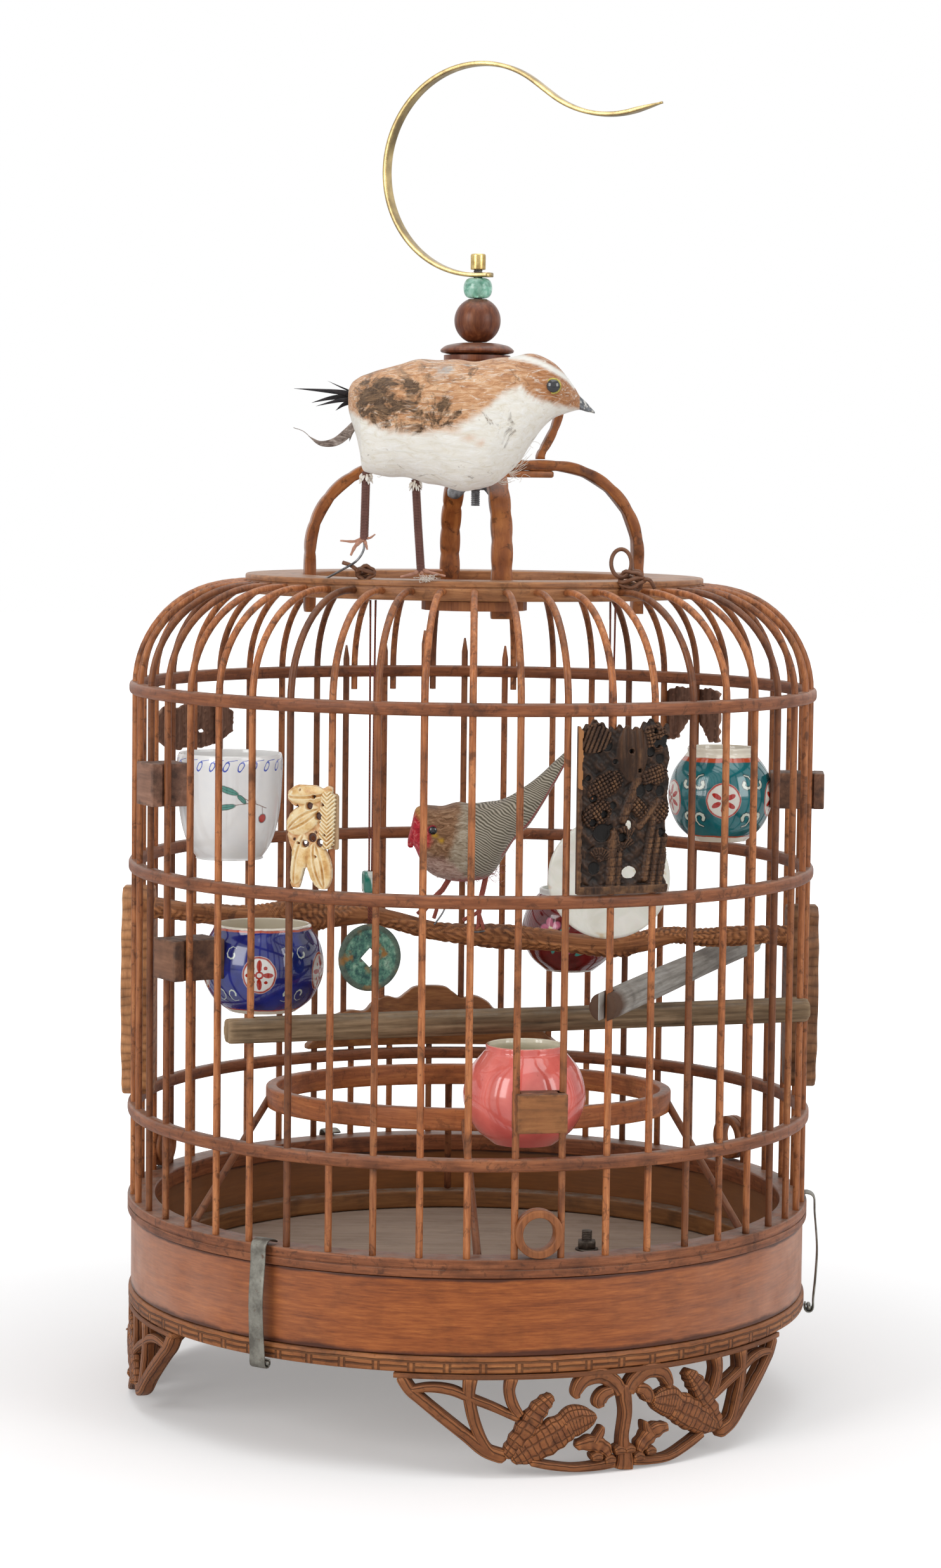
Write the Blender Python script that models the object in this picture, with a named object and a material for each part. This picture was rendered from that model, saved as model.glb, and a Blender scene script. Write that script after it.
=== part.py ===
import math

import bmesh
import bpy
from mathutils import Matrix, Vector

# Fits: pieces that touch in the real cage stand this far apart.
GAP = 0.0003

# Ribs: split bamboo rods on one circle, drilled through the hoops.
RIB_COUNT = 48
RIB_SIDES = 5
RIB_LINE = 0.1475
RIB_RADIUS = 0.0015
HOLE_HALF = RIB_RADIUS + GAP
SOCKET_DEPTH = 0.005
SHOULDER_START = 0.314
SHOULDER_RADIUS = 0.044
SHOULDER_STEPS = 4
DOOR_CELLS = (23, 24, 25, 26, 27)
CARRIERS = 4

# Base: drum wall between a bottom rim and a wide sill, with a floor board and a ledge inside.
DRUM_SEGMENTS = 36
SILL_SKIN = 0.0007
SILL_WIDTH = 0.0120
SILL_TALL = 0.0077
WALL_SET_BACK = 0.0016
WALL_THICK = 0.0060
WALL_TALL = 0.0320
RIM_LOW = 0.0433
RIM_TALL = 0.0067
RIM_SET_BACK = 0.0005
RIM_WIDTH = 0.0135
RIM_ROUND = 0.0016
FLOOR_THICK = 0.0052
LEDGE_WIDTH = 0.0088
LEDGE_TALL = 0.0082
RIM_HIGH = RIM_LOW + RIM_TALL
SILL_LOW = RIM_HIGH + GAP + WALL_TALL + GAP
SILL_TOP = SILL_LOW + SILL_TALL
SILL_OUTER = RIB_LINE + HOLE_HALF + SILL_SKIN
SILL_INNER = SILL_OUTER - SILL_WIDTH
RIM_OUTER = SILL_OUTER - RIM_SET_BACK
RIM_INNER = RIM_OUTER - RIM_WIDTH
WALL_OUTER = SILL_OUTER - WALL_SET_BACK
WALL_INNER = WALL_OUTER - WALL_THICK
FLOOR_OUTER = WALL_INNER - 2 * GAP
FLOOR_HIGH = RIM_HIGH + GAP + FLOOR_THICK
LEDGE_HIGH = FLOOR_HIGH + GAP + LEDGE_TALL
LEDGE_INNER = FLOOR_OUTER - LEDGE_WIDTH

# Hoops the ribs pass through.
HOOP_SKIN = 0.0011
HOOP_FACE = 0.0013
HOOP_HEIGHT = 0.0055
HOOP_UNDER_SHOULDER = 0.0014
LOWER_HOOP_MIDDLE = 0.1286
MIDDLE_HOOP_MIDDLE = 0.2352
UPPER_HOOP_MIDDLE = SHOULDER_START - HOOP_UNDER_SHOULDER
HOOP_INNER = RIB_LINE - HOLE_HALF - HOOP_SKIN
HOOP_OUTER = RIB_LINE + HOLE_HALF + HOOP_FACE

# Top ring and the board under it.
TOP_RING_UNDER = 0.0038
TOP_RING_OVER = 0.0045
TOP_RING_WIDTH = 0.0247
TOP_RING_MARGIN = 0.0035
RING_BOARD_THICK = 0.0039
TOP_RING_LOW = SHOULDER_START + SHOULDER_RADIUS - TOP_RING_UNDER
TOP_RING_HIGH = SHOULDER_START + SHOULDER_RADIUS + TOP_RING_OVER
TOP_RING_OUTER = RIB_LINE - SHOULDER_RADIUS - TOP_RING_MARGIN
TOP_RING_INNER = TOP_RING_OUTER - TOP_RING_WIDTH
RING_BOARD_LOW = TOP_RING_LOW - GAP - RING_BOARD_THICK
RING_BOARD_WIDTH = 0.0440
RING_BOARD_MARGIN = 0.0025
RING_BOARD_REACH = TOP_RING_OUTER - RING_BOARD_MARGIN
RING_BOARD_STEPS = 8

# Sliding door: a carved board on bars that run through two hoops.
DOOR_HEADING = -172.5
DOOR_SHIFT = 1.6
DOOR_THICK = 0.0049
DOOR_INNER = RIB_LINE - DOOR_THICK / 2
DOOR_OUTER = RIB_LINE + DOOR_THICK / 2
LOWER_STUB_RISE = 0.0012
LOWER_STUB_TOP = LOWER_HOOP_MIDDLE + HOOP_HEIGHT / 2 + LOWER_STUB_RISE
UPPER_STUB_DROP = 0.0086
UPPER_STUB_LOW = UPPER_HOOP_MIDDLE - UPPER_STUB_DROP
DOOR_BOARD_HEIGHT = 0.0282
DOOR_BAR_ROOT = 0.0080
DOOR_BAR_BEYOND = 0.0124
DOOR_BAR_TOP = UPPER_HOOP_MIDDLE + DOOR_BAR_BEYOND
DOOR_BAR_STEP = 0.0035
DOOR_HALF_SPAN = 24
DOOR_OUTLINE_SHARES = (
    (-1.0, 0.08), (-0.90, 0.26), (-0.79, 0.50), (-0.65, 0.62), (-0.52, 0.60), (-0.45, 0.74),
    (-0.35, 0.84), (-0.25, 0.80), (-0.18, 0.90), (-0.10, 1.0), (0.10, 1.0), (0.18, 0.90),
    (0.25, 0.80), (0.35, 0.84), (0.45, 0.74), (0.52, 0.60), (0.65, 0.62), (0.79, 0.50),
    (0.90, 0.26), (1.0, 0.08),
)

# Feet: carved openwork plates under the rim.
FOOT_HEADINGS = (("right_foot", 26.25), ("left_foot", -93.75), ("back_foot", 146.25))
FOOT_HALF_SPAN = 37.75
FOOT_SET_BACK = 0.0001
FOOT_THICK = 0.0064
FOOT_OUTER = RIM_OUTER - FOOT_SET_BACK
FOOT_INNER = FOOT_OUTER - FOOT_THICK
FOOT_HEIGHT = RIM_LOW - GAP
FOOT_CUT_MARGIN = 0.0020
FOOT_OUTLINE_SHARES = (
    (-1.0, 0.93), (-0.90, 0.74), (-0.74, 0.47), (-0.58, 0.22), (-0.45, 0.14), (-0.28, 0.06),
    (-0.10, 0.0), (0.10, 0.0), (0.28, 0.06), (0.45, 0.14), (0.58, 0.22), (0.74, 0.47),
    (0.90, 0.74), (1.0, 0.93),
)
FOOT_WINDOW_SHARES = (
    ((0.62, 0.72, 0.74), (0.72, 0.62, 0.84), (0.84, 0.76, 0.86)),
    ((0.46, 0.34, 0.36), (0.53, 0.27, 0.50), (0.60, 0.30, 0.56), (0.66, 0.47, 0.50)),
    ((0.38, 0.66, 0.68), (0.46, 0.56, 0.84), (0.54, 0.64, 0.76)),
    ((0.14, 0.70, 0.72), (0.20, 0.64, 0.88), (0.28, 0.70, 0.80)),
    ((0.10, 0.30, 0.34), (0.18, 0.22, 0.48), (0.28, 0.26, 0.40)),
)

# Spring clips that hold the cage down on its base.
CLIP_HEADINGS = (("left_clip", -33.75), ("right_clip", 86.25), ("back_clip", -153.75))
CLIP_WIDTH = 0.0080
CLIP_THICK = 0.0009
CLIP_OFFSET = 0.0018
CLIP_UNDER_RIM = 0.0015
CLIP_OVER_SILL = 0.0025
CLIP_LIP = 0.0062
CLIP_PIVOT_LINE = SILL_OUTER + CLIP_OFFSET
CLIP_PIVOT_HEIGHT = RIM_LOW - CLIP_UNDER_RIM
CLIP_RISE = SILL_TOP + CLIP_OVER_SILL - CLIP_PIVOT_HEIGHT
CLIP_BOW = 0.0032
CLIP_CURL = 0.0019
CLIP_PATH_SHARES = ((0.0, 0.975), (0.3, 0.992), (0.8, 1.0))
CLIP_BOW_SHARES = ((0.45, 0.96), (0.60, 0.82), (1.0, 0.52), (0.85, 0.26), (0.62, 0.08))

# Small turned rings standing on the sill between two ribs.
RIB_RING_HEADINGS = (("front_rib_ring", 11.25), ("left_rib_ring", -108.75), ("right_rib_ring", 123.75))
RIB_RING_RADIUS = 0.0100
RIB_RING_BORE = 0.00675
RIB_RING_THICK = 0.0070
RIB_RING_SEGMENTS = 16

# Stage ring inside the cage, tilted, on four struts.
STAGE_THICK = 0.0050
STAGE_CLEAR = 0.0033
PINK_POT_INSET = 0.0028
PINK_POT_RADIUS = 0.0252
STAGE_RADIUS = RIB_LINE - RIB_RADIUS - PINK_POT_INSET - 2 * PINK_POT_RADIUS - STAGE_CLEAR
STAGE_TALL = 0.0095
STAGE_MIDDLE = 0.1323
STAGE_TILT = 2.9
STAGE_SEGMENTS = 32
STRUT_RADIUS = 0.00175
STRUT_SIDES = 6
STRUT_FOOT_LINE = SILL_INNER - 2 * GAP - STRUT_RADIUS
STRUT_FOOT_HEIGHT = (SILL_LOW + SILL_TOP) / 2
STRUT_BACK_INSET = 0.0020
STRUT_BACK_LINE = LEDGE_INNER + STRUT_BACK_INSET
STRUT_BACK_HEIGHT = LEDGE_HIGH + STRUT_RADIUS
STRUT_HEADINGS = ((-82.5, -59.5), (82.5, 59.5), (-1.0, 2.0))
STRUT_BACK_HEADINGS = (-174.0, -176.0)

# Perches, slotted over a rib at each end.
LONG_PERCH_RADIUS = 0.0055
LONG_PERCH_HEIGHT = 0.1780
LONG_PERCH_HEADINGS = (-37.5, 75.0)
LONG_PERCH_BEYOND = (0.0100, 0.0030)
SHORT_PERCH_RADIUS = 0.0060
SHORT_PERCH_HEIGHT = 0.1930
SHORT_PERCH_HEADINGS = (22.5, 120.0)
SHORT_PERCH_BEYOND = (0.0090, 0.0060)
PERCH_SIDES = 8

# Branch perch between two side plates.
BRANCH_SIDES = 10
BRANCH_LINE = -0.0080
BRANCH_HEIGHT = 0.2060
BRANCH_RADIUS = 0.0055
BRANCH_SWAY = 0.0080
BRANCH_SHARES = (
    (-1.0, 0.85, 1.0), (-0.86, 0.55, 0.85), (-0.72, 0.30, 0.75), (-0.62, 0.60, 0.95),
    (-0.50, 0.95, 1.15), (-0.40, 0.90, 1.05), (-0.28, 0.75, 0.85), (-0.12, 0.15, 0.90),
    (0.06, -0.15, 1.05), (0.24, -0.40, 0.85), (0.42, -0.60, 0.95), (0.54, -0.40, 0.85),
    (0.64, -0.10, 0.80), (0.74, -0.10, 0.80), (0.86, 0.05, 0.90), (1.0, -0.10, 1.0),
)
PLATE_WITHIN = 0.0085
PLATE_BEYOND = 0.0055
PLATE_INNER = RIB_LINE - PLATE_WITHIN
PLATE_OUTER = RIB_LINE + PLATE_BEYOND
BRANCH_REACH = PLATE_INNER - GAP
PLATE_HALF_WIDTH = 0.0130
LEFT_PLATE_LOW = 0.1320
LEFT_PLATE_HIGH = 0.2240
RIGHT_PLATE_LOW = 0.1390
RIGHT_PLATE_HIGH = 0.2190
PLATE_SHARES = (
    (0.30, 0.0), (0.62, 0.05), (0.55, 0.12), (0.92, 0.22), (0.80, 0.33), (1.0, 0.44), (1.0, 0.56),
    (0.80, 0.67), (0.92, 0.78), (0.55, 0.88), (0.62, 0.95), (0.30, 1.0),
)

# Cups and the grooved blocks that wedge them between two ribs.
CUP_SEGMENTS = 14
BLOCK_HALF_WIDTH = 0.0093
WIDE_BLOCK_HALF_WIDTH = 0.0104
BLOCK_BEYOND = 0.0065
BLOCK_END = RIB_LINE + BLOCK_BEYOND
WHITE_CUP_HEADING = -63.75
WHITE_CUP_INSET = 0.0078
WHITE_CUP_RADIUS = 0.0232
WHITE_CUP_LINE = RIB_LINE - RIB_RADIUS - WHITE_CUP_INSET - WHITE_CUP_RADIUS
WHITE_CUP_LOW = 0.2420
WHITE_CUP_HEIGHT = 0.0450
WHITE_BLOCK_LOW = 0.2656
WHITE_BLOCK_HIGH = 0.2837
BLUE_BOWL_HEADING = -56.25
BLUE_BOWL_INSET = 0.0140
BLUE_BOWL_RADIUS = 0.0260
BLUE_BOWL_LINE = RIB_LINE - RIB_RADIUS - BLUE_BOWL_INSET - BLUE_BOWL_RADIUS
BLUE_BOWL_LOW = 0.1780
BLUE_BOWL_HEIGHT = 0.0370
BLUE_BLOCK_LOW = 0.1940
BLUE_BLOCK_HIGH = 0.2110
TEAL_POT_HEADING = 86.25
TEAL_POT_INSET = 0.0142
TEAL_POT_RADIUS = 0.0228
TEAL_POT_LINE = RIB_LINE - RIB_RADIUS - TEAL_POT_INSET - TEAL_POT_RADIUS
TEAL_POT_LOW = 0.2480
TEAL_POT_HEIGHT = 0.0410
TEAL_BLOCK_LOW = 0.2630
TEAL_BLOCK_HIGH = 0.2785
RED_POT_HEADING = 153.75
RED_POT_INSET = 0.0187
RED_POT_RADIUS = 0.0223
RED_POT_LINE = RIB_LINE - RIB_RADIUS - RED_POT_INSET - RED_POT_RADIUS
RED_POT_LOW = 0.1765
RED_POT_HEIGHT = 0.0385
RED_BLOCK_LOW = 0.1900
RED_BLOCK_HIGH = 0.2050
PINK_POT_HEADING = 11.25
PINK_POT_LINE = RIB_LINE - RIB_RADIUS - PINK_POT_INSET - PINK_POT_RADIUS
PINK_POT_LOW = 0.1325
PINK_POT_HEIGHT = 0.0410
PINK_BLOCK_LOW = 0.1424
PINK_BLOCK_HIGH = 0.1582
POT_SHARES = (
    (0.0, 0.0), (0.50, 0.0), (0.80, 0.15), (0.97, 0.35), (1.0, 0.52), (0.90, 0.72), (0.68, 0.90),
    (0.63, 1.0), (0.55, 1.0), (0.60, 0.88), (0.82, 0.70), (0.91, 0.50), (0.70, 0.20), (0.0, 0.10),
)
BOWL_SHARES = (
    (0.0, 0.0), (0.55, 0.0), (0.80, 0.14), (0.96, 0.36), (1.0, 0.56), (0.93, 0.78), (0.79, 1.0), (0.73, 1.0),
    (0.84, 0.78), (0.90, 0.56), (0.74, 0.22), (0.0, 0.10),
)
CUP_SHARES = (
    (0.0, 0.0), (0.64, 0.0), (0.66, 0.05), (0.80, 0.40), (0.92, 0.80), (1.0, 1.0), (0.93, 1.0),
    (0.83, 0.78), (0.60, 0.12), (0.0, 0.08),
)

# Plaques tied outside the ribs.
PLAQUE_INNER = RIB_LINE + RIB_RADIUS + GAP
PLAQUE_THICK = 0.0032
PLAQUE_OUTER = PLAQUE_INNER + PLAQUE_THICK
IVORY_HEADING = -25.5
IVORY_HALF_SPAN = 4.6
IVORY_LOW = 0.2385
IVORY_HEIGHT = 0.0425
IVORY_SHARES = ((-1.0, 0.04, 0.86), (-0.6, 0.0, 0.97), (0.0, 0.02, 1.0), (0.6, 0.0, 0.95), (1.0, 0.05, 0.80))
DARK_HEADING = 24.2
DARK_HALF_SPAN = 8.0
DARK_LOW = 0.2385
DARK_HEIGHT = 0.0705
DARK_SHARES = ((-1.0, 0.0, 0.90), (-0.6, 0.0, 0.98), (0.0, 0.02, 1.0), (0.6, 0.0, 0.97), (1.0, 0.03, 0.93))
LEFT_PLAQUE_HEADING = -120.0
LEFT_PLAQUE_HALF_SPAN = 12.0
LEFT_PLAQUE_LOW = 0.2790
LEFT_PLAQUE_HEIGHT = 0.0230
LEFT_PLAQUE_SHARES = (
    (-1.0, 0.30, 0.70), (-0.7, 0.08, 0.95), (-0.3, 0.0, 0.85), (0.0, 0.05, 1.0), (0.3, 0.0, 0.85),
    (0.7, 0.08, 0.95), (1.0, 0.30, 0.70),
)
RIGHT_PLAQUE_HEADING = 136.4
RIGHT_PLAQUE_HALF_SPAN = 6.2
RIGHT_PLAQUE_LOW = 0.2830
RIGHT_PLAQUE_HEIGHT = 0.0260
RIGHT_PLAQUE_SHARES = (
    (-1.0, 0.0, 0.92), (-0.6, 0.02, 1.0), (-0.2, 0.38, 0.96), (0.2, 0.40, 0.97), (0.6, 0.04, 1.0),
    (1.0, 0.0, 0.90),
)

# Pendants on cords from the top ring.
HANG_HEIGHT = TOP_RING_LOW - GAP
CORD_RADIUS = 0.0006
CORD_STEP = 0.0035
CORD_BORE = CORD_RADIUS + GAP
COIN_X = -0.0420
COIN_Y = -0.0850
COIN_MIDDLE = 0.2044
COIN_RADIUS = 0.0141
COIN_THICK = 0.0020
COIN_HOLE_HALF = 0.0033
COIN_TURN = 26
COIN_SEGMENTS = 20
COIN_BEAD_RADIUS = 0.0042
COIN_BEAD_LOW = 0.2315
COIN_BEAD_HIGH = 0.2410
COIN_BEAD_SEGMENTS = 10
DISC_X = 0.0580
DISC_Y = -0.0735
DISC_MIDDLE = 0.2377
DISC_RADIUS = 0.02575
DISC_THICK = 0.0030
DISC_SEGMENTS = 24

# Crown: two lower arches, two upper bows, a cap and the hook.
CROWN_TURN = 9
ARCH_WIDTH = 0.0090
ARCH_THICK = 0.0050
ARCH_BELOW_BOARD = 0.0040
ARCH_STRAIGHT = 0.0095
ARCH_RISE = 0.0480
ARCH_LINE = TOP_RING_INNER - GAP - ARCH_THICK / 2
ARCH_LOW = RING_BOARD_LOW - ARCH_BELOW_BOARD
ARCH_WAIST = TOP_RING_HIGH + ARCH_STRAIGHT
ARCH_TOP = TOP_RING_HIGH + ARCH_RISE
ARCH_FLAT = 0.0340
ARCH_STEPS = 6
BACKING_THICK = 0.0030
BOW_WIDTH = 0.0070
BOW_THICK = 0.0036
BOW_LINE = 0.0285
BOW_BULGE = 0.0115
BOW_FOOT = 0.0020
BOW_RISE = 0.0424
BOW_TOP = ARCH_TOP + BOW_RISE
BOW_TOP_HALF = 0.0120
BOW_STEPS = 6
BOLT_RADIUS = 0.0020
BOLT_BELOW_ARCH = 0.0179
BOLT_LOW = ARCH_TOP - BOLT_BELOW_ARCH
BOLT_HEAD_RADIUS = 0.0033
BOLT_SLOT = 0.0009
BOLT_SLOT_DEPTH = 0.0018
BOLT_SEGMENTS = 16
BORE_RADIUS = BOLT_RADIUS + GAP
CAP_PLATE_RADIUS = 0.0145
CAP_PLATE_LOW = BOW_TOP + BOW_THICK / 2 + GAP
CAP_PLATE_THICK = 0.0030
CAP_PLATE_HIGH = CAP_PLATE_LOW + CAP_PLATE_THICK
CAP_DISC_RADIUS = 0.01615
CAP_DISC_THICK = 0.0051
CAP_DISC_HIGH = CAP_PLATE_HIGH + GAP + CAP_DISC_THICK
BALL_RADIUS = 0.0101
BALL_REACH = 0.0093
BALL_MIDDLE = CAP_DISC_HIGH + GAP + BALL_REACH
BALL_STEPS = 6
BEAD_RADIUS = 0.0063
BEAD_TALL = 0.0088
BEAD_LOW = BALL_MIDDLE + BALL_REACH + GAP
BEAD_HIGH = BEAD_LOW + BEAD_TALL
BOLT_HEAD_RISE = 0.0104
BOLT_HEAD_HIGH = BEAD_HIGH + BOLT_HEAD_RISE
ROUND_SEGMENTS = 16
WING_HUB_RADIUS = 0.0050
WING_HUB_DROP = 0.0005
WING_HUB_TALL = 0.0050
WING_HUB_HIGH = ARCH_TOP - ARCH_THICK / 2 - BACKING_THICK - WING_HUB_DROP
WING_HUB_LOW = WING_HUB_HIGH - WING_HUB_TALL
WING_REACH = 0.0120
WING_DROP = 0.0055
WING_THICK = 0.0016
HOOK_TURN = -27
HOOK_WIDTH = 0.0060
HOOK_THICK = 0.0020
HOOK_RADIUS = 0.0454
HOOK_FOOT = 0.0060
HOOK_BEND = 216
HOOK_STRAIGHT = 0.0100
HOOK_TAIL_RADIUS = 0.0480
HOOK_TAIL_BEND = 49
HOOK_TIP = 0.0130
HOOK_STEPS = 12
HOOK_TAIL_STEPS = 4

# Floor bolt with its nut.
FLOOR_BOLT_X = 0.0547
FLOOR_BOLT_Y = 0.0394
NUT_SIDES = 6
FLOOR_NUT_RADIUS = 0.0045
FLOOR_NUT_TALL = 0.0042
FLOOR_NUT_HIGH = FLOOR_HIGH + GAP + FLOOR_NUT_TALL
FLOOR_BOLT_RADIUS = 0.0024
FLOOR_BOLT_BEYOND = 0.0045
FLOOR_BOLT_HIGH = FLOOR_NUT_HIGH + FLOOR_BOLT_BEYOND

# Model birds.
TOP_BIRD_X = 0.0
TOP_BIRD_INSET = 0.0095
TOP_BIRD_RAISED = 0.0371
TOP_BIRD_Y = TOP_BIRD_INSET - TOP_RING_OUTER
TOP_BIRD_LOW = TOP_RING_HIGH + TOP_BIRD_RAISED
TOP_BIRD_HEIGHT = 0.0563
TOP_BIRD_LENGTH = 0.1246
TOP_BIRD_TAIL = -0.0755
TOP_BIRD_WIDTH = 0.0210
TOP_BIRD_SHARES = (
    (0.0, 0.715, 0.725, 0.06), (0.10, 0.69, 0.75, 0.12), (0.186, 0.60, 0.74, 0.30), (0.225, 0.22, 0.81, 0.62),
    (0.30, 0.10, 0.87, 0.85), (0.42, 0.05, 0.94, 1.0), (0.53, 0.01, 0.95, 1.0), (0.61, 0.0, 0.945, 0.95),
    (0.69, 0.07, 0.97, 0.82), (0.765, 0.24, 1.0, 0.62), (0.83, 0.44, 0.98, 0.48), (0.885, 0.56, 0.90, 0.38),
    (0.935, 0.60, 0.74, 0.16), (1.0, 0.575, 0.60, 0.03),
)
PERCH_LEG_RISE = 0.0056
PERCH_LEG_REACH = 0.0169
PERCH_LEG_LOW = BRANCH_HEIGHT + PERCH_LEG_RISE
PERCH_BIRD_Y = BRANCH_LINE
PERCH_BIRD_LOW = PERCH_LEG_LOW + PERCH_LEG_REACH
PERCH_BIRD_HEIGHT = 0.0600
PERCH_BIRD_LENGTH = 0.0710
PERCH_BIRD_TAIL = 0.0430
PERCH_BIRD_WIDTH = 0.0140
PERCH_BIRD_SHARES = (
    (0.0, 0.95, 0.99, 0.10), (0.14, 0.62, 0.84, 0.30), (0.25, 0.22, 0.66, 0.70), (0.39, 0.02, 0.57, 0.95),
    (0.53, 0.0, 0.55, 1.0), (0.67, 0.20, 0.62, 0.85), (0.80, 0.42, 0.745, 0.66), (0.88, 0.44, 0.70, 0.55),
    (0.94, 0.44, 0.58, 0.30), (1.0, 0.385, 0.40, 0.05),
)
BIRD_SIDES = 10
LEG_RADIUS = 0.0014
LEG_SIDES = 6
LEG_INSET = 0.0100
TOP_LEG_X = -0.0230
HUNG_LEG_X = -0.0460
HUNG_LEG_REACH = 0.0196
HUNG_LEG_LOW = TOP_BIRD_LOW - HUNG_LEG_REACH
WIRE_X = -0.0600
WIRE_RADIUS = 0.0006
WIRE_INSET = 0.0240
WIRE_END_Y = WIRE_INSET - TOP_RING_OUTER
PERCH_LEG_X = 0.0060
PERCH_LEG_SPREAD = 0.0050

# Finishes: colour, roughness, metallic.
BAMBOO = ((0.34, 0.15, 0.06), 0.50, 0.0)
DARK_BAMBOO = ((0.22, 0.09, 0.04), 0.50, 0.0)
DUSTY_WOOD = ((0.36, 0.30, 0.24), 0.80, 0.0)
GREY_PERCH = ((0.34, 0.32, 0.24), 0.75, 0.0)
PALE_PERCH = ((0.52, 0.50, 0.46), 0.70, 0.0)
RED_WOOD = ((0.30, 0.10, 0.05), 0.45, 0.0)
BRASS = ((0.55, 0.42, 0.16), 0.35, 1.0)
STEEL = ((0.35, 0.36, 0.37), 0.45, 1.0)
GREEN_GLASS = ((0.38, 0.68, 0.52), 0.15, 0.0)
PINK_GLAZE = ((0.72, 0.22, 0.18), 0.15, 0.0)
TEAL_GLAZE = ((0.06, 0.40, 0.38), 0.20, 0.0)
BLUE_GLAZE = ((0.02, 0.05, 0.30), 0.15, 0.0)
RED_GLAZE = ((0.20, 0.02, 0.03), 0.15, 0.0)
WHITE_GLAZE = ((0.75, 0.76, 0.74), 0.15, 0.0)
IVORY = ((0.72, 0.60, 0.38), 0.40, 0.0)
PATINA = ((0.22, 0.30, 0.24), 0.60, 0.6)
SHELL = ((0.70, 0.68, 0.60), 0.25, 0.0)
CORD = ((0.30, 0.12, 0.07), 0.85, 0.0)
BUFF_FEATHER = ((0.68, 0.45, 0.28), 0.85, 0.0)
GREY_FEATHER = ((0.30, 0.26, 0.22), 0.85, 0.0)


def clear_scene():
    for item in list(bpy.data.objects):
        bpy.data.objects.remove(item, do_unlink=True)


def polar(radius, degrees, height):
    turn = math.radians(degrees)
    return Vector((radius * math.sin(turn), -radius * math.cos(turn), height))


def combine(shells):
    vertices, faces = [], []
    for points, sides in shells:
        start = len(vertices)
        vertices.extend(points)
        faces.extend(tuple(start + index for index in side) for side in sides)
    return vertices, faces


def moved(shell, matrix):
    return [matrix @ Vector(point) for point in shell[0]], shell[1]


def turned(profile, segments):
    """Solid of revolution about Z from (radius, height) points; a zero radius is a pole."""
    vertices, rings = [], []
    for radius, height in profile:
        count = segments if radius > 0 else 1
        rings.append([len(vertices) + step % count for step in range(segments)])
        vertices.extend(polar(radius, 360 * step / segments, height) for step in range(count))
    faces = []
    for low, high in zip(rings, rings[1:] + rings[:1]):
        for step in range(segments):
            after = (step + 1) % segments
            corners = (low[step], low[after], high[after], high[step])
            face = tuple(dict.fromkeys(corners))
            if len(face) > 2:
                faces.append(face)
    return vertices, faces


def loop_faces(loops, count, capped=True):
    """Faces between equal loops of vertices laid one after another, with caps at both ends."""
    faces = []
    for row in range(loops - 1):
        for step in range(count):
            after = (step + 1) % count
            low, high = row * count, (row + 1) * count
            faces.append((low + step, low + after, high + after, high + step))
    if capped:
        faces.append(tuple(range(count)))
        faces.append(tuple((loops - 1) * count + step for step in range(count)))
    return faces


def curved_plate(columns, inner, outer, heading):
    """Plate bent round Z; each column is (degrees, low, high)."""
    vertices = []
    for offset, low, high in columns:
        for radius, height in ((inner, low), (outer, low), (outer, high), (inner, high)):
            vertices.append(polar(radius, heading + offset, height))
    return vertices, loop_faces(len(columns), 4)


def prism(outline, low, high):
    """Upright block on a plan outline of (x, y)."""
    vertices = [Vector((x, y, height)) for height in (low, high) for x, y in outline]
    return vertices, loop_faces(2, len(outline))


def box(half_x, half_y, low, high):
    outline = ((-half_x, -half_y), (half_x, -half_y), (half_x, half_y), (-half_x, half_y))
    return prism(outline, low, high)


def sweep(points, radius, sides, axis):
    """Rod along a flat path; axis is the direction square to the path's plane."""
    points = [Vector(point) for point in points]
    vertices = []
    for index, point in enumerate(points):
        before = points[max(index - 1, 0)]
        after = points[min(index + 1, len(points) - 1)]
        across = axis.cross((after - before).normalized())
        for side in range(sides):
            turn = 2 * math.pi * side / sides
            vertices.append(point + radius * (math.cos(turn) * across + math.sin(turn) * axis))
    return vertices, loop_faces(len(points), sides)


def ribbon(path, width, thickness):
    """Flat strip on a path of (x, z), its width along Y."""
    vertices = []
    for index, (x, z) in enumerate(path):
        before = path[max(index - 1, 0)]
        after = path[min(index + 1, len(path) - 1)]
        along = Vector((after[0] - before[0], after[1] - before[1])).normalized()
        rise = Vector((-along.y, along.x)) * thickness / 2
        for side, edge in ((1, -1), (1, 1), (-1, 1), (-1, -1)):
            vertices.append(Vector((x + side * rise.x, edge * width / 2, z + side * rise.y)))
    return vertices, loop_faces(len(path), 4)


def loft(stations, sides):
    """Body along X; each station is (x, y, z, half width, half height)."""
    vertices = []
    for x, y, z, half_width, half_height in stations:
        for side in range(sides):
            turn = 2 * math.pi * side / sides
            vertices.append(Vector((x, y + half_width * math.sin(turn), z + half_height * math.cos(turn))))
    return vertices, loop_faces(len(stations), sides)


def solid(name, shell, finish=None, rounded=False):
    mesh = bpy.data.meshes.new(name)
    mesh.from_pydata([tuple(point) for point in shell[0]], [], shell[1])
    work = bmesh.new()
    work.from_mesh(mesh)
    bmesh.ops.recalc_face_normals(work, faces=work.faces)
    work.to_mesh(mesh)
    work.free()
    if rounded:
        mesh.shade_smooth()
        mesh.set_sharp_from_angle(angle=math.radians(40))
    item = bpy.data.objects.new(name, mesh)
    bpy.context.collection.objects.link(item)
    if finish:
        dress(item, finish)
    return item


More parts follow.
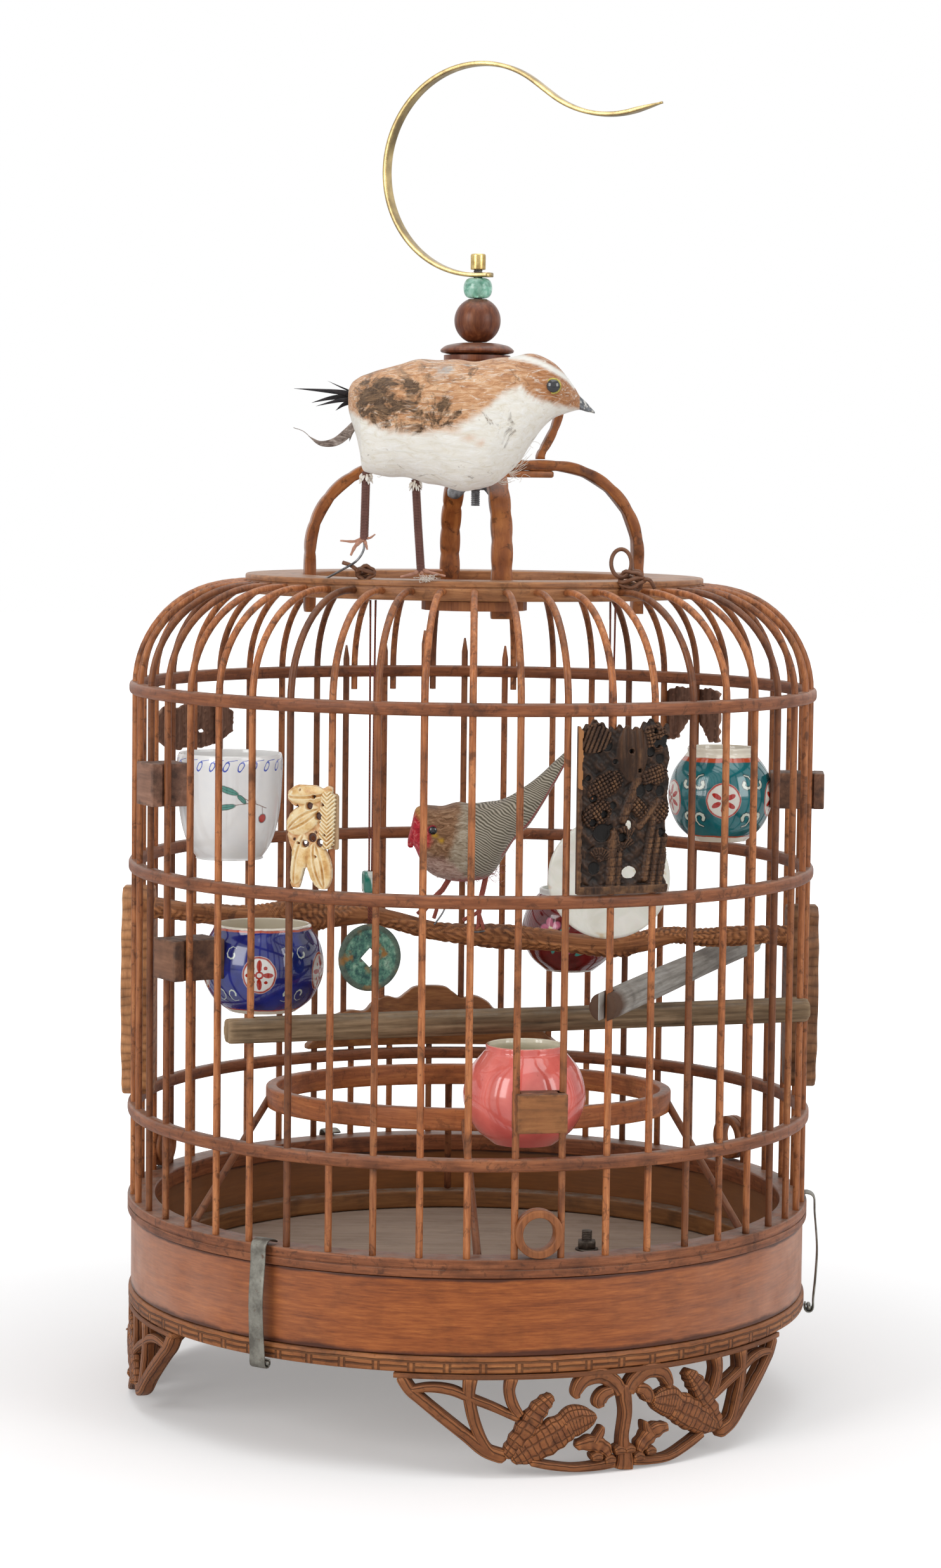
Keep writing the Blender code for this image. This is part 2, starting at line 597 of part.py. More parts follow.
def dress(item, finish):
    colour, roughness, metallic = finish
    material = bpy.data.materials.new(item.name)
    material.use_nodes = True
    shader = material.node_tree.nodes["Principled BSDF"]
    shader.inputs["Base Color"].default_value = (*colour, 1)
    shader.inputs["Roughness"].default_value = roughness
    shader.inputs["Metallic"].default_value = metallic
    item.data.materials.append(material)


def combine_with(item, shell, operation, label):
    tool = solid(item.name + "_" + label, shell)
    tool.hide_render = True
    tool.display_type = "WIRE"
    step = item.modifiers.new(label, "BOOLEAN")
    step.object = tool
    step.operation = operation
    step.solver = "EXACT"


def cut(item, shell, label):
    combine_with(item, shell, "DIFFERENCE", label)


def add(item, shell, label):
    combine_with(item, shell, "UNION", label)


def pivot(name, location, items):
    empty = bpy.data.objects.new(name, None)
    bpy.context.collection.objects.link(empty)
    empty.location = location
    bpy.context.view_layer.update()
    for item in items:
        item.parent = empty
        item.matrix_parent_inverse = empty.matrix_world.inverted()


def cell_frame(cell, offset=0):
    turn = math.radians(360 * cell / RIB_COUNT + offset)
    return Vector((math.sin(turn), -math.cos(turn), 0)), Vector((math.cos(turn), math.sin(turn), 0))


def hoop_walls(inner, outer, low, high):
    """Corner points on every border between two ribs."""
    vertices = []
    for cell in range(RIB_COUNT):
        border = 360 * (cell - 1 / 2) / RIB_COUNT
        for radius, height in ((inner, low), (outer, low), (outer, high), (inner, high)):
            vertices.append(polar(radius, border, height))
    return vertices


def drilled_hoop(inner, outer, low, high, holes, floor=None):
    """Hoop with a square hole per rib; holes gives a shift in degrees or None; a floor makes sockets."""
    vertices, faces = hoop_walls(inner, outer, low, high), []
    up = Vector((0, 0, 1))
    for cell in range(RIB_COUNT):
        a, b = 4 * cell, 4 * ((cell + 1) % RIB_COUNT)
        faces += [(a + 1, b + 1, b + 2, a + 2), (a + 3, b + 3, b, a)]
        if holes[cell] is None:
            faces += [(a, b, b + 1, a + 1), (a + 2, b + 2, b + 3, a + 3)]
            continue
        away, along = cell_frame(cell, holes[cell])
        start = len(vertices)
        for height in (high, low if floor is None else floor):
            for radius, side in ((-1, -1), (1, -1), (1, 1), (-1, 1)):
                centre = away * (RIB_LINE + radius * HOLE_HALF) + along * side * HOLE_HALF
                vertices.append(centre + up * height)
        top, under = start, start + 4
        faces += ring_faces((a + 3, a + 2, b + 2, b + 3), top)
        faces += [(top + k, top + (k + 1) % 4, under + (k + 1) % 4, under + k) for k in range(4)]
        if floor is None:
            faces += ring_faces((a, a + 1, b + 1, b), under)
        else:
            faces += [(a, b, b + 1, a + 1), (under, under + 1, under + 2, under + 3)]
    return vertices, faces


def ring_faces(border, start):
    return [(border[k], border[(k + 1) % 4], start + (k + 1) % 4, start + k) for k in range(4)]


def socket_ring(inner, outer, low, high, middle):
    """Top ring whose outer wall has a square socket for every rib."""
    vertices, faces = hoop_walls(inner, outer, low, high), []
    wall = outer * math.cos(math.pi / RIB_COUNT)
    for cell in range(RIB_COUNT):
        a, b = 4 * cell, 4 * ((cell + 1) % RIB_COUNT)
        faces += [(a, b, b + 1, a + 1), (a + 2, b + 2, b + 3, a + 3), (a + 3, b + 3, b, a)]
        away, along = cell_frame(cell)
        start = len(vertices)
        for radius in (wall, wall - SOCKET_DEPTH):
            for side, rise in ((-1, -1), (-1, 1), (1, 1), (1, -1)):
                point = away * radius + along * side * HOLE_HALF
                vertices.append(point + Vector((0, 0, middle + rise * HOLE_HALF)))
        faces += ring_faces((a + 1, a + 2, b + 2, b + 1), start)
        faces += [(start + k, start + (k + 1) % 4, start + 4 + (k + 1) % 4, start + 4 + k) for k in range(4)]
        faces.append((start + 4, start + 5, start + 6, start + 7))
    return vertices, faces


def shoulder_path():
    path = []
    for step in range(SHOULDER_STEPS + 1):
        turn = math.pi / 2 * step / SHOULDER_STEPS
        radius = RIB_LINE - SHOULDER_RADIUS * (1 - math.cos(turn))
        path.append((radius, SHOULDER_START + SHOULDER_RADIUS * math.sin(turn)))
    path.append((TOP_RING_OUTER - SOCKET_DEPTH + GAP, SHOULDER_START + SHOULDER_RADIUS))
    return path


def rib(cell, path):
    away, along = cell_frame(cell)
    points = [away * radius + Vector((0, 0, height)) for radius, height in path]
    return sweep(points, RIB_RADIUS, RIB_SIDES, along)


def carried_ribs(carrier, root):
    path = [(RIB_LINE, root)] + shoulder_path()
    cells = [cell for cell in range(RIB_COUNT) if cell % CARRIERS == carrier and cell not in DOOR_CELLS]
    return [rib(cell, path) for cell in cells]


def hole_shifts(carrier, door_shift):
    shifts = []
    for cell in range(RIB_COUNT):
        if cell in DOOR_CELLS:
            shifts.append(door_shift)
        else:
            shifts.append(None if cell % CARRIERS == carrier else 0)
    return shifts


def hoop(name, middle, carrier, door_shift, extra):
    low, high = middle - HOOP_HEIGHT / 2, middle + HOOP_HEIGHT / 2
    holes = hole_shifts(carrier, door_shift)
    item = solid(name, drilled_hoop(HOOP_INNER, HOOP_OUTER, low, high, holes), BAMBOO)
    add(item, combine(carried_ribs(carrier, SILL_TOP - SOCKET_DEPTH + GAP) + extra), "ribs")


def rib_cage():
    upper = [rib(cell, [(RIB_LINE, UPPER_STUB_LOW)] + shoulder_path()) for cell in DOOR_CELLS]
    stub = [(RIB_LINE, SILL_TOP - SOCKET_DEPTH + GAP), (RIB_LINE, LOWER_STUB_TOP)]
    lower = [rib(cell, stub) for cell in DOOR_CELLS]
    hoop("upper_hoop", UPPER_HOOP_MIDDLE, 0, DOOR_SHIFT, upper)
    hoop("middle_hoop", MIDDLE_HOOP_MIDDLE, 1, DOOR_SHIFT, [])
    hoop("lower_hoop", LOWER_HOOP_MIDDLE, 2, None, lower)
    holes = hole_shifts(3, 0)
    shell = drilled_hoop(SILL_INNER, SILL_OUTER, SILL_LOW, SILL_TOP, holes, SILL_TOP - SOCKET_DEPTH)
    sill = solid("sill_hoop", shell, BAMBOO)
    add(sill, combine(carried_ribs(3, SILL_TOP - SOCKET_DEPTH)), "ribs")
    middle = SHOULDER_START + SHOULDER_RADIUS
    solid("top_ring", socket_ring(TOP_RING_INNER, TOP_RING_OUTER, TOP_RING_LOW, TOP_RING_HIGH, middle), BAMBOO)


def base():
    low, high = RIM_LOW, RIM_HIGH
    rim = ((RIM_INNER, low), (RIM_OUTER - RIM_ROUND, low), (RIM_OUTER, low + RIM_ROUND),
           (RIM_OUTER, high - RIM_ROUND), (RIM_OUTER - RIM_ROUND, high), (RIM_INNER, high))
    solid("bottom_rim", turned(rim, DRUM_SEGMENTS), BAMBOO, True)
    low, high = RIM_HIGH + GAP, SILL_LOW - GAP
    wall = ((WALL_INNER, low), (WALL_OUTER, low), (WALL_OUTER, high), (WALL_INNER, high))
    solid("drum_wall", turned(wall, DRUM_SEGMENTS), BAMBOO, True)
    edge = FLOOR_OUTER
    floor = ((0, low), (edge, low), (edge, FLOOR_HIGH), (0, FLOOR_HIGH))
    solid("floor_board", turned(floor, DRUM_SEGMENTS), DUSTY_WOOD, True)
    low = FLOOR_HIGH + GAP
    ledge = ((LEDGE_INNER, low), (edge, low), (edge, LEDGE_HIGH), (LEDGE_INNER, LEDGE_HIGH))
    solid("inner_ledge", turned(ledge, DRUM_SEGMENTS), BAMBOO, True)
    nut = ((0, low), (FLOOR_NUT_RADIUS, low), (FLOOR_NUT_RADIUS, FLOOR_NUT_HIGH),
           (FLOOR_BOLT_RADIUS, FLOOR_NUT_HIGH), (FLOOR_BOLT_RADIUS, FLOOR_BOLT_HIGH), (0, FLOOR_BOLT_HIGH))
    place = Matrix.Translation((FLOOR_BOLT_X, FLOOR_BOLT_Y, 0))
    solid("floor_bolt", moved(turned(nut, NUT_SIDES), place), STEEL)


def share_columns(shares, half_span, low, height):
    return [(offset * half_span, low + foot * height, low + head * height) for offset, foot, head in shares]


def foot(name, heading):
    columns = [(share * FOOT_HALF_SPAN, low * FOOT_HEIGHT, FOOT_HEIGHT) for share, low in FOOT_OUTLINE_SHARES]
    item = solid(name, curved_plate(columns, FOOT_INNER, FOOT_OUTER, heading), DARK_BAMBOO)
    inner, outer = FOOT_INNER - FOOT_CUT_MARGIN, FOOT_OUTER + FOOT_CUT_MARGIN
    windows = []
    for shares in FOOT_WINDOW_SHARES:
        for side in (-1, 1):
            mirrored = [(side * offset, low, high) for offset, low, high in shares]
            columns = share_columns(mirrored, FOOT_HALF_SPAN, 0, FOOT_HEIGHT)
            windows.append(curved_plate(columns, inner, outer, heading))
    cut(item, combine(windows), "windows")


def sliding_door():
    low = LOWER_STUB_TOP + GAP
    columns = [(share * DOOR_HALF_SPAN, low, low + rise * DOOR_BOARD_HEIGHT) for share, rise in DOOR_OUTLINE_SHARES]
    door = solid("sliding_door", curved_plate(columns, DOOR_INNER, DOOR_OUTER, DOOR_HEADING), RED_WOOD)
    bars, guides = [], []
    for index, cell in enumerate(DOOR_CELLS):
        away, along = cell_frame(cell, DOOR_SHIFT)
        top = DOOR_BAR_TOP + DOOR_BAR_STEP * min(index, len(DOOR_CELLS) - 1 - index)
        ends = [away * RIB_LINE + Vector((0, 0, height)) for height in (low + DOOR_BAR_ROOT, top)]
        bars.append(sweep(ends, RIB_RADIUS, RIB_SIDES, along))
    for cell in (DOOR_CELLS[0] - 1, DOOR_CELLS[-1] + 1):
        turn = Matrix.Rotation(math.radians(360 * cell / RIB_COUNT), 4, "Z")
        place = turn @ Matrix.Translation((0, -RIB_LINE, 0))
        guides.append(moved(box(HOLE_HALF, HOLE_HALF, SILL_TOP, MIDDLE_HOOP_MIDDLE), place))
    add(door, combine(bars), "bars")
    cut(door, combine(guides), "guides")
    pivot("door_runner", polar(RIB_LINE, DOOR_HEADING, low), [door])


def clip(name, heading):
    away = [(-CLIP_LIP + share * CLIP_LIP, rise * CLIP_RISE) for share, rise in CLIP_PATH_SHARES]
    bowed = [(share * CLIP_BOW, rise * CLIP_RISE) for share, rise in CLIP_BOW_SHARES]
    curl = []
    for step in range(5):
        turn = math.radians(-55 * step)
        curl.append((CLIP_CURL * math.cos(turn), CLIP_CURL * math.sin(turn)))
    shell = ribbon(away + bowed + curl, CLIP_WIDTH, CLIP_THICK)
    turn = Matrix.Rotation(math.radians(heading - 90), 4, "Z")
    place = turn @ Matrix.Translation((CLIP_PIVOT_LINE, 0, CLIP_PIVOT_HEIGHT))
    item = solid(name, moved(shell, place), STEEL)
    pivot(name + "_pivot", polar(CLIP_PIVOT_LINE, heading, CLIP_PIVOT_HEIGHT), [item])


def rib_ring(name, heading):
    half = RIB_RING_THICK / 2
    profile = ((RIB_RING_BORE, -half), (RIB_RING_RADIUS, -half), (RIB_RING_RADIUS, half), (RIB_RING_BORE, half))
    turn = Matrix.Rotation(math.radians(heading), 4, "Z")
    raised = Matrix.Translation((0, -RIB_LINE, SILL_TOP + GAP + RIB_RING_RADIUS))
    upright = Matrix.Rotation(math.pi / 2, 4, "X")
    item = solid(name, moved(turned(profile, RIB_RING_SEGMENTS), turn @ raised @ upright), BAMBOO, True)
    cut(item, combine(side_grooves(heading, SILL_LOW, SILL_TOP + 3 * RIB_RING_RADIUS)), "grooves")


def side_grooves(heading, low, high):
    grooves = []
    for side in (-1, 1):
        turn = Matrix.Rotation(math.radians(heading + side * 180 / RIB_COUNT), 4, "Z")
        grooves.append(moved(box(HOLE_HALF, HOLE_HALF, low, high), turn @ Matrix.Translation((0, -RIB_LINE, 0))))
    return grooves


def stage_ring():
    half = STAGE_TALL / 2
    inner = STAGE_RADIUS - STAGE_THICK
    profile = ((inner, -half), (STAGE_RADIUS, -half), (STAGE_RADIUS, half), (inner, half))
    tilt = Matrix.Translation((0, 0, STAGE_MIDDLE)) @ Matrix.Rotation(math.radians(-STAGE_TILT), 4, "X")
    item = solid("stage_ring", moved(turned(profile, STAGE_SEGMENTS), tilt), BAMBOO, True)
    struts = []
    for start, end in STRUT_HEADINGS:
        foot_point = polar(STRUT_FOOT_LINE, end, STRUT_FOOT_HEIGHT)
        struts.append(strut(tilt @ polar(STAGE_RADIUS - STRUT_RADIUS, start, 0), foot_point))
    start, end = STRUT_BACK_HEADINGS
    foot_point = polar(STRUT_BACK_LINE, end, STRUT_BACK_HEIGHT)
    struts.append(strut(tilt @ polar(STAGE_RADIUS - STRUT_RADIUS, start, 0), foot_point))
    add(item, combine(struts), "struts")


def strut(start, end):
    along = end - start
    return sweep((start, end), STRUT_RADIUS, STRUT_SIDES, along.cross(Vector((0, 0, 1))).normalized())


def perch(name, radius, height, headings, beyond, finish):
    start, end = polar(RIB_LINE, headings[0], height), polar(RIB_LINE, headings[1], height)
    along = (end - start).normalized()
    axis = Vector((0, 0, 1))
    ends = (start - along * beyond[0], end + along * beyond[1])
    item = solid(name, sweep(ends, radius, PERCH_SIDES, axis), finish)
    slots = []
    facing = math.atan2(along.y, along.x)
    for point, reach, side in ((start, beyond[0], -1), (end, beyond[1], 1)):
        outline = ((-HOLE_HALF, -HOLE_HALF), (2 * reach, -HOLE_HALF), (2 * reach, HOLE_HALF), (-HOLE_HALF, HOLE_HALF))
        shell = prism(outline, -2 * radius, 2 * radius)
        turn = Matrix.Rotation(facing if side > 0 else facing + math.pi, 4, "Z")
        slots.append(moved(shell, Matrix.Translation(point) @ turn))
    cut(item, combine(slots), "slots")


def branch_perch():
    stations = []
    for along, rise, thick in BRANCH_SHARES:
        radius = thick * BRANCH_RADIUS
        stations.append((along * BRANCH_REACH, BRANCH_LINE, BRANCH_HEIGHT + rise * BRANCH_SWAY, radius, radius))
    solid("branch_perch", loft(stations, BRANCH_SIDES), RED_WOOD, True)


def side_plate(name, side, low, high):
    outline = [(width * PLATE_HALF_WIDTH, low + rise * (high - low)) for width, rise in PLATE_SHARES]
    outline += [(-y, z) for y, z in reversed(outline)]
    vertices = [Vector((side * x, y, z)) for x in (PLATE_INNER, PLATE_OUTER) for y, z in outline]
    item = solid(name, (vertices, loop_faces(2, len(outline))), RED_WOOD)
    channel = moved(box(HOLE_HALF, HOLE_HALF, SILL_TOP, SHOULDER_START), Matrix.Translation((side * RIB_LINE, 0, 0)))
    cut(item, channel, "channel")


def vessel(name, heading, line, radius, low, height, shares, finish):
    profile = [(share * radius, low + rise * height) for share, rise in shares]
    place = Matrix.Translation(polar(line, heading, 0)) @ Matrix.Rotation(math.radians(heading), 4, "Z")
    solid(name, moved(turned(profile, CUP_SEGMENTS), place), finish, True)


def vessel_reach(radius, low, height, shares, foot_z, head_z):
    """Largest outside radius of a cup between two heights."""
    outside = shares[:[rise for share, rise in shares].index(1.0) + 1]
    reach = 0
    for (near, start), (far, end) in zip(outside, outside[1:]):
        for z in (low + start * height, low + end * height, foot_z, head_z):
            place = (z - low) / height
            if foot_z <= z <= head_z and start <= place <= end and end > start:
                reach = max(reach, radius * (near + (far - near) * (place - start) / (end - start)))
    return reach


def block(name, heading, start, half_width, low, high, finish):
    neck = RIB_LINE * math.sin(math.pi / RIB_COUNT) - HOLE_HALF
    near, far = RIB_LINE - HOLE_HALF, RIB_LINE + HOLE_HALF
    edge = ((half_width, -start), (half_width, -near), (neck, -near), (neck, -far), (half_width, -far),
            (half_width, -BLOCK_END))
    outline = list(edge) + [(-x, y) for x, y in reversed(edge)]
    turn = Matrix.Rotation(math.radians(heading), 4, "Z")
    solid(name, moved(prism(outline, low, high), turn), finish)


def cups():
    rows = (
        ("white_cup", WHITE_CUP_HEADING, WHITE_CUP_LINE, WHITE_CUP_RADIUS, WHITE_CUP_LOW, WHITE_CUP_HEIGHT,
         CUP_SHARES, WHITE_GLAZE, "white_cup_block", BLOCK_HALF_WIDTH, WHITE_BLOCK_LOW, WHITE_BLOCK_HIGH),
        ("blue_bowl", BLUE_BOWL_HEADING, BLUE_BOWL_LINE, BLUE_BOWL_RADIUS, BLUE_BOWL_LOW, BLUE_BOWL_HEIGHT,
         BOWL_SHARES, BLUE_GLAZE, "blue_bowl_block", BLOCK_HALF_WIDTH, BLUE_BLOCK_LOW, BLUE_BLOCK_HIGH),
        ("teal_pot", TEAL_POT_HEADING, TEAL_POT_LINE, TEAL_POT_RADIUS, TEAL_POT_LOW, TEAL_POT_HEIGHT,
         POT_SHARES, TEAL_GLAZE, "teal_pot_block", BLOCK_HALF_WIDTH, TEAL_BLOCK_LOW, TEAL_BLOCK_HIGH),
        ("red_pot", RED_POT_HEADING, RED_POT_LINE, RED_POT_RADIUS, RED_POT_LOW, RED_POT_HEIGHT,
         POT_SHARES, RED_GLAZE, "red_pot_block", BLOCK_HALF_WIDTH, RED_BLOCK_LOW, RED_BLOCK_HIGH),
        ("pink_pot", PINK_POT_HEADING, PINK_POT_LINE, PINK_POT_RADIUS, PINK_POT_LOW, PINK_POT_HEIGHT,
         POT_SHARES, PINK_GLAZE, "pink_pot_block", WIDE_BLOCK_HALF_WIDTH, PINK_BLOCK_LOW, PINK_BLOCK_HIGH),
    )
    for name, heading, line, radius, low, height, shares, glaze, block_name, half_width, foot_z, head_z in rows:
        vessel(name, heading, line, radius, low, height, shares, glaze)
        start = line + vessel_reach(radius, low, height, shares, foot_z, head_z) + GAP
        block(block_name, heading, start, half_width, foot_z, head_z, DARK_BAMBOO)


def plaque(name, heading, half_span, low, height, shares, finish):
    columns = share_columns(shares, half_span, low, height)
    solid(name, curved_plate(columns, PLAQUE_INNER, PLAQUE_OUTER, heading), finish)


def plaques():
    plaque("ivory_plaque", IVORY_HEADING, IVORY_HALF_SPAN, IVORY_LOW, IVORY_HEIGHT, IVORY_SHARES, IVORY)
    plaque("dark_plaque", DARK_HEADING, DARK_HALF_SPAN, DARK_LOW, DARK_HEIGHT, DARK_SHARES, RED_WOOD)
    plaque("left_plaque", LEFT_PLAQUE_HEADING, LEFT_PLAQUE_HALF_SPAN, LEFT_PLAQUE_LOW, LEFT_PLAQUE_HEIGHT,
           LEFT_PLAQUE_SHARES, RED_WOOD)
    plaque("right_plaque", RIGHT_PLAQUE_HEADING, RIGHT_PLAQUE_HALF_SPAN, RIGHT_PLAQUE_LOW, RIGHT_PLAQUE_HEIGHT,
           RIGHT_PLAQUE_SHARES, RED_WOOD)


def cord(name, x, y, low, high):
    curve = bpy.data.curves.new(name, "CURVE")
    curve.dimensions = "3D"
    curve.bevel_depth = CORD_RADIUS
    curve.bevel_resolution = 2
    curve.use_fill_caps = True
    line = curve.splines.new("POLY")
    count = max(2, math.ceil((high - low) / CORD_STEP) + 1)
    line.points.add(count - 1)
    for index, point in enumerate(line.points):
        point.co = (x, y, low + (high - low) * index / (count - 1), 1)
    item = bpy.data.objects.new(name, curve)
    bpy.context.collection.objects.link(item)
    dress(item, CORD)
    return item


def coin_pendant():
    half = COIN_THICK / 2
    profile = ((0, -half), (COIN_RADIUS, -half), (COIN_RADIUS, half), (0, half))
    stand = Matrix.Translation((COIN_X, COIN_Y, COIN_MIDDLE)) @ Matrix.Rotation(math.radians(COIN_TURN), 4, "Z")
    upright = stand @ Matrix.Rotation(math.pi / 2, 4, "X")
    coin = solid("coin", moved(turned(profile, COIN_SEGMENTS), upright), PATINA, True)
    cut(coin, moved(box(COIN_HOLE_HALF, COIN_HOLE_HALF, -COIN_THICK, COIN_THICK), upright), "hole")
    middle, rise = (COIN_BEAD_LOW + COIN_BEAD_HIGH) / 2, (COIN_BEAD_HIGH - COIN_BEAD_LOW) / 2
    waist = COIN_BEAD_RADIUS * math.cos(math.pi / 4)
    profile = ((CORD_BORE, middle - rise), (waist, middle - rise), (COIN_BEAD_RADIUS, middle - rise / 2),
               (COIN_BEAD_RADIUS, middle + rise / 2), (waist, middle + rise), (CORD_BORE, middle + rise))
    place = Matrix.Translation((COIN_X, COIN_Y, 0))
    bead = solid("coin_bead", moved(turned(profile, COIN_BEAD_SEGMENTS), place), RED_WOOD, True)
    line = cord("coin_cord", COIN_X, COIN_Y, COIN_MIDDLE + COIN_RADIUS + GAP, HANG_HEIGHT)
    pivot("coin_hanger", (COIN_X, COIN_Y, HANG_HEIGHT), [coin, bead, line])


def disc_pendant():
    half = DISC_THICK / 2
    rim = DISC_RADIUS - half
    profile = ((0, -half), (rim, -half), (DISC_RADIUS, 0), (rim, half), (0, half))
    upright = Matrix.Translation((DISC_X, DISC_Y, DISC_MIDDLE)) @ Matrix.Rotation(math.pi / 2, 4, "X")
    disc = solid("shell_disc", moved(turned(profile, DISC_SEGMENTS), upright), SHELL, True)
    line = cord("disc_cord", DISC_X, DISC_Y, DISC_MIDDLE + DISC_RADIUS + GAP, HANG_HEIGHT)
    pivot("disc_hanger", (DISC_X, DISC_Y, HANG_HEIGHT), [disc, line])


def crossed(name, path, width, thick, turn, finish):
    item = solid(name, moved(ribbon(path, width, thick), Matrix.Rotation(math.radians(turn), 4, "Z")), finish)
    reach = 2 * thick
    bore = turned(((0, path_top(path) - reach), (BORE_RADIUS, path_top(path) - reach),
                   (BORE_RADIUS, path_top(path) + reach), (0, path_top(path) + reach)), BOLT_SEGMENTS)
    return item, bore


def path_top(path):
    return max(z for x, z in path)


def lap(item, turn, width, low, high, bore):
    half = width / 2 + GAP
    notch = moved(box(half, half, low, high), Matrix.Rotation(math.radians(turn), 4, "Z"))
    cut(item, notch, "lap")
    cut(item, bore, "bore")


def arch_path():
    path = [(-ARCH_LINE, ARCH_LOW), (-ARCH_LINE, ARCH_WAIST)]
    for step in range(1, ARCH_STEPS + 1):
        turn = math.pi / 2 * step / ARCH_STEPS
        x = -ARCH_LINE + (ARCH_LINE - ARCH_FLAT) * (1 - math.cos(turn))
        path.append((x, ARCH_WAIST + (ARCH_TOP - ARCH_WAIST) * math.sin(turn)))
    return path + [(-x, z) for x, z in reversed(path)]


def bow_path():
    foot_z = ARCH_TOP + ARCH_THICK / 2 + GAP
    path = [(-BOW_LINE, foot_z)]
    foot_z += BOW_FOOT
    for step in range(BOW_STEPS + 1):
        share = step / BOW_STEPS
        x = BOW_LINE + (BOW_TOP_HALF - BOW_LINE) * share * share + BOW_BULGE * math.sin(math.pi * share)
        path.append((-x, foot_z + (BOW_TOP - foot_z) * math.sin(math.pi / 2 * share)))
    return path + [(-x, z) for x, z in reversed(path)]


def crown():
    low, middle = ARCH_TOP - ARCH_THICK / 2 - BACKING_THICK, ARCH_TOP - BACKING_THICK / 2
    backing = box(ARCH_FLAT, ARCH_WIDTH / 2 - GAP, low, ARCH_TOP - ARCH_THICK / 4)
    over = 2 * ARCH_THICK
    for name, turn, lows in (("side_arch", CROWN_TURN, (low - over, middle + GAP)),
                             ("front_arch", CROWN_TURN + 90, (middle, ARCH_TOP + over))):
        item, bore = crossed(name, arch_path(), ARCH_WIDTH, ARCH_THICK, turn, BAMBOO)
        add(item, moved(backing, Matrix.Rotation(math.radians(turn), 4, "Z")), "backing")
        lap(item, turn, ARCH_WIDTH, *lows, bore)
    over = 2 * BOW_THICK
    for name, turn, lows in (("side_bow", CROWN_TURN, (BOW_TOP - over, BOW_TOP + GAP)),
                             ("front_bow", CROWN_TURN + 90, (BOW_TOP, BOW_TOP + over))):
        item, bore = crossed(name, bow_path(), BOW_WIDTH, BOW_THICK, turn, BAMBOO)
        lap(item, turn, BOW_WIDTH, *lows, bore)


def ring_board():
    half = RING_BOARD_WIDTH / 2
    outline = []
    for side in (-1, 1):
        for step in range(RING_BOARD_STEPS + 1):
            turn = math.pi * step / RING_BOARD_STEPS
            outline.append((-side * half * math.cos(turn),
                            side * (RING_BOARD_REACH - half + half * math.sin(turn))))
    item = solid("ring_board", prism(outline, RING_BOARD_LOW, TOP_RING_LOW - GAP), BAMBOO)
    slots = []
    for turn in (CROWN_TURN + 90, CROWN_TURN - 90):
        place = Matrix.Rotation(math.radians(turn), 4, "Z") @ Matrix.Translation((ARCH_LINE, 0, 0))
        slots.append(moved(box(ARCH_THICK / 2 + GAP, ARCH_WIDTH / 2 + GAP, ARCH_LOW, TOP_RING_HIGH), place))
    cut(item, combine(slots), "slots")


def bored(name, profile, finish, low, high):
    """Turned piece on the bolt; the profile gives its outside from bottom to top."""
    loop = list(profile) + [(BORE_RADIUS, high), (BORE_RADIUS, low)]
    solid(name, turned(loop, ROUND_SEGMENTS), finish, True)


def cap_stack():
    low, high = CAP_PLATE_LOW, CAP_PLATE_HIGH
    bored("cap_plate", ((CAP_PLATE_RADIUS, low), (CAP_PLATE_RADIUS, high)), DARK_BAMBOO, low, high)
    low, high = CAP_PLATE_HIGH + GAP, CAP_DISC_HIGH
    rise = high - low
    bored("cap_disc", ((CAP_DISC_RADIUS - rise / 4, low), (CAP_DISC_RADIUS, low + rise / 4),
                       (CAP_DISC_RADIUS * 3 / 4, low + rise * 3 / 4), (CAP_DISC_RADIUS / 2, high)), RED_WOOD, low, high)
    low, high = CAP_DISC_HIGH + GAP, BEAD_LOW - GAP
    profile = []
    for step in range(BALL_STEPS + 1):
        z = low + (high - low) * (1 - math.cos(math.pi * step / BALL_STEPS)) / 2
        profile.append((math.sqrt(max(BALL_RADIUS ** 2 - (z - BALL_MIDDLE) ** 2, (2 * BORE_RADIUS) ** 2)), z))
    bored("wood_ball", profile, RED_WOOD, low, high)
    low, high = BEAD_LOW, BEAD_HIGH
    rise = high - low
    bored("glass_bead", ((BEAD_RADIUS * 3 / 4, low), (BEAD_RADIUS, low + rise / 4), (BEAD_RADIUS, high - rise / 4),
                         (BEAD_RADIUS * 3 / 4, high)), GREEN_GLASS, low, high)


def hook_path(height):
    """Foot under the bolt head, a large bend over the top, then a reversed tail."""
    path = [(HOOK_FOOT, height)]
    x, z, facing = 0, height, math.pi
    path.append((x, z))
    for length, bend, steps in ((None, HOOK_BEND, HOOK_STEPS), (HOOK_STRAIGHT, 0, 1),
                                (None, -HOOK_TAIL_BEND, HOOK_TAIL_STEPS), (HOOK_TIP, 0, 1)):
        radius = HOOK_RADIUS if bend > 0 else HOOK_TAIL_RADIUS
        for step in range(steps):
            piece = math.radians(bend) / steps
            chord = length if length else 2 * radius * math.sin(abs(piece) / 2)
            facing -= piece / 2
            x, z = x + chord * math.cos(facing), z + chord * math.sin(facing)
            facing -= piece / 2
            path.append((x, z))
    return path


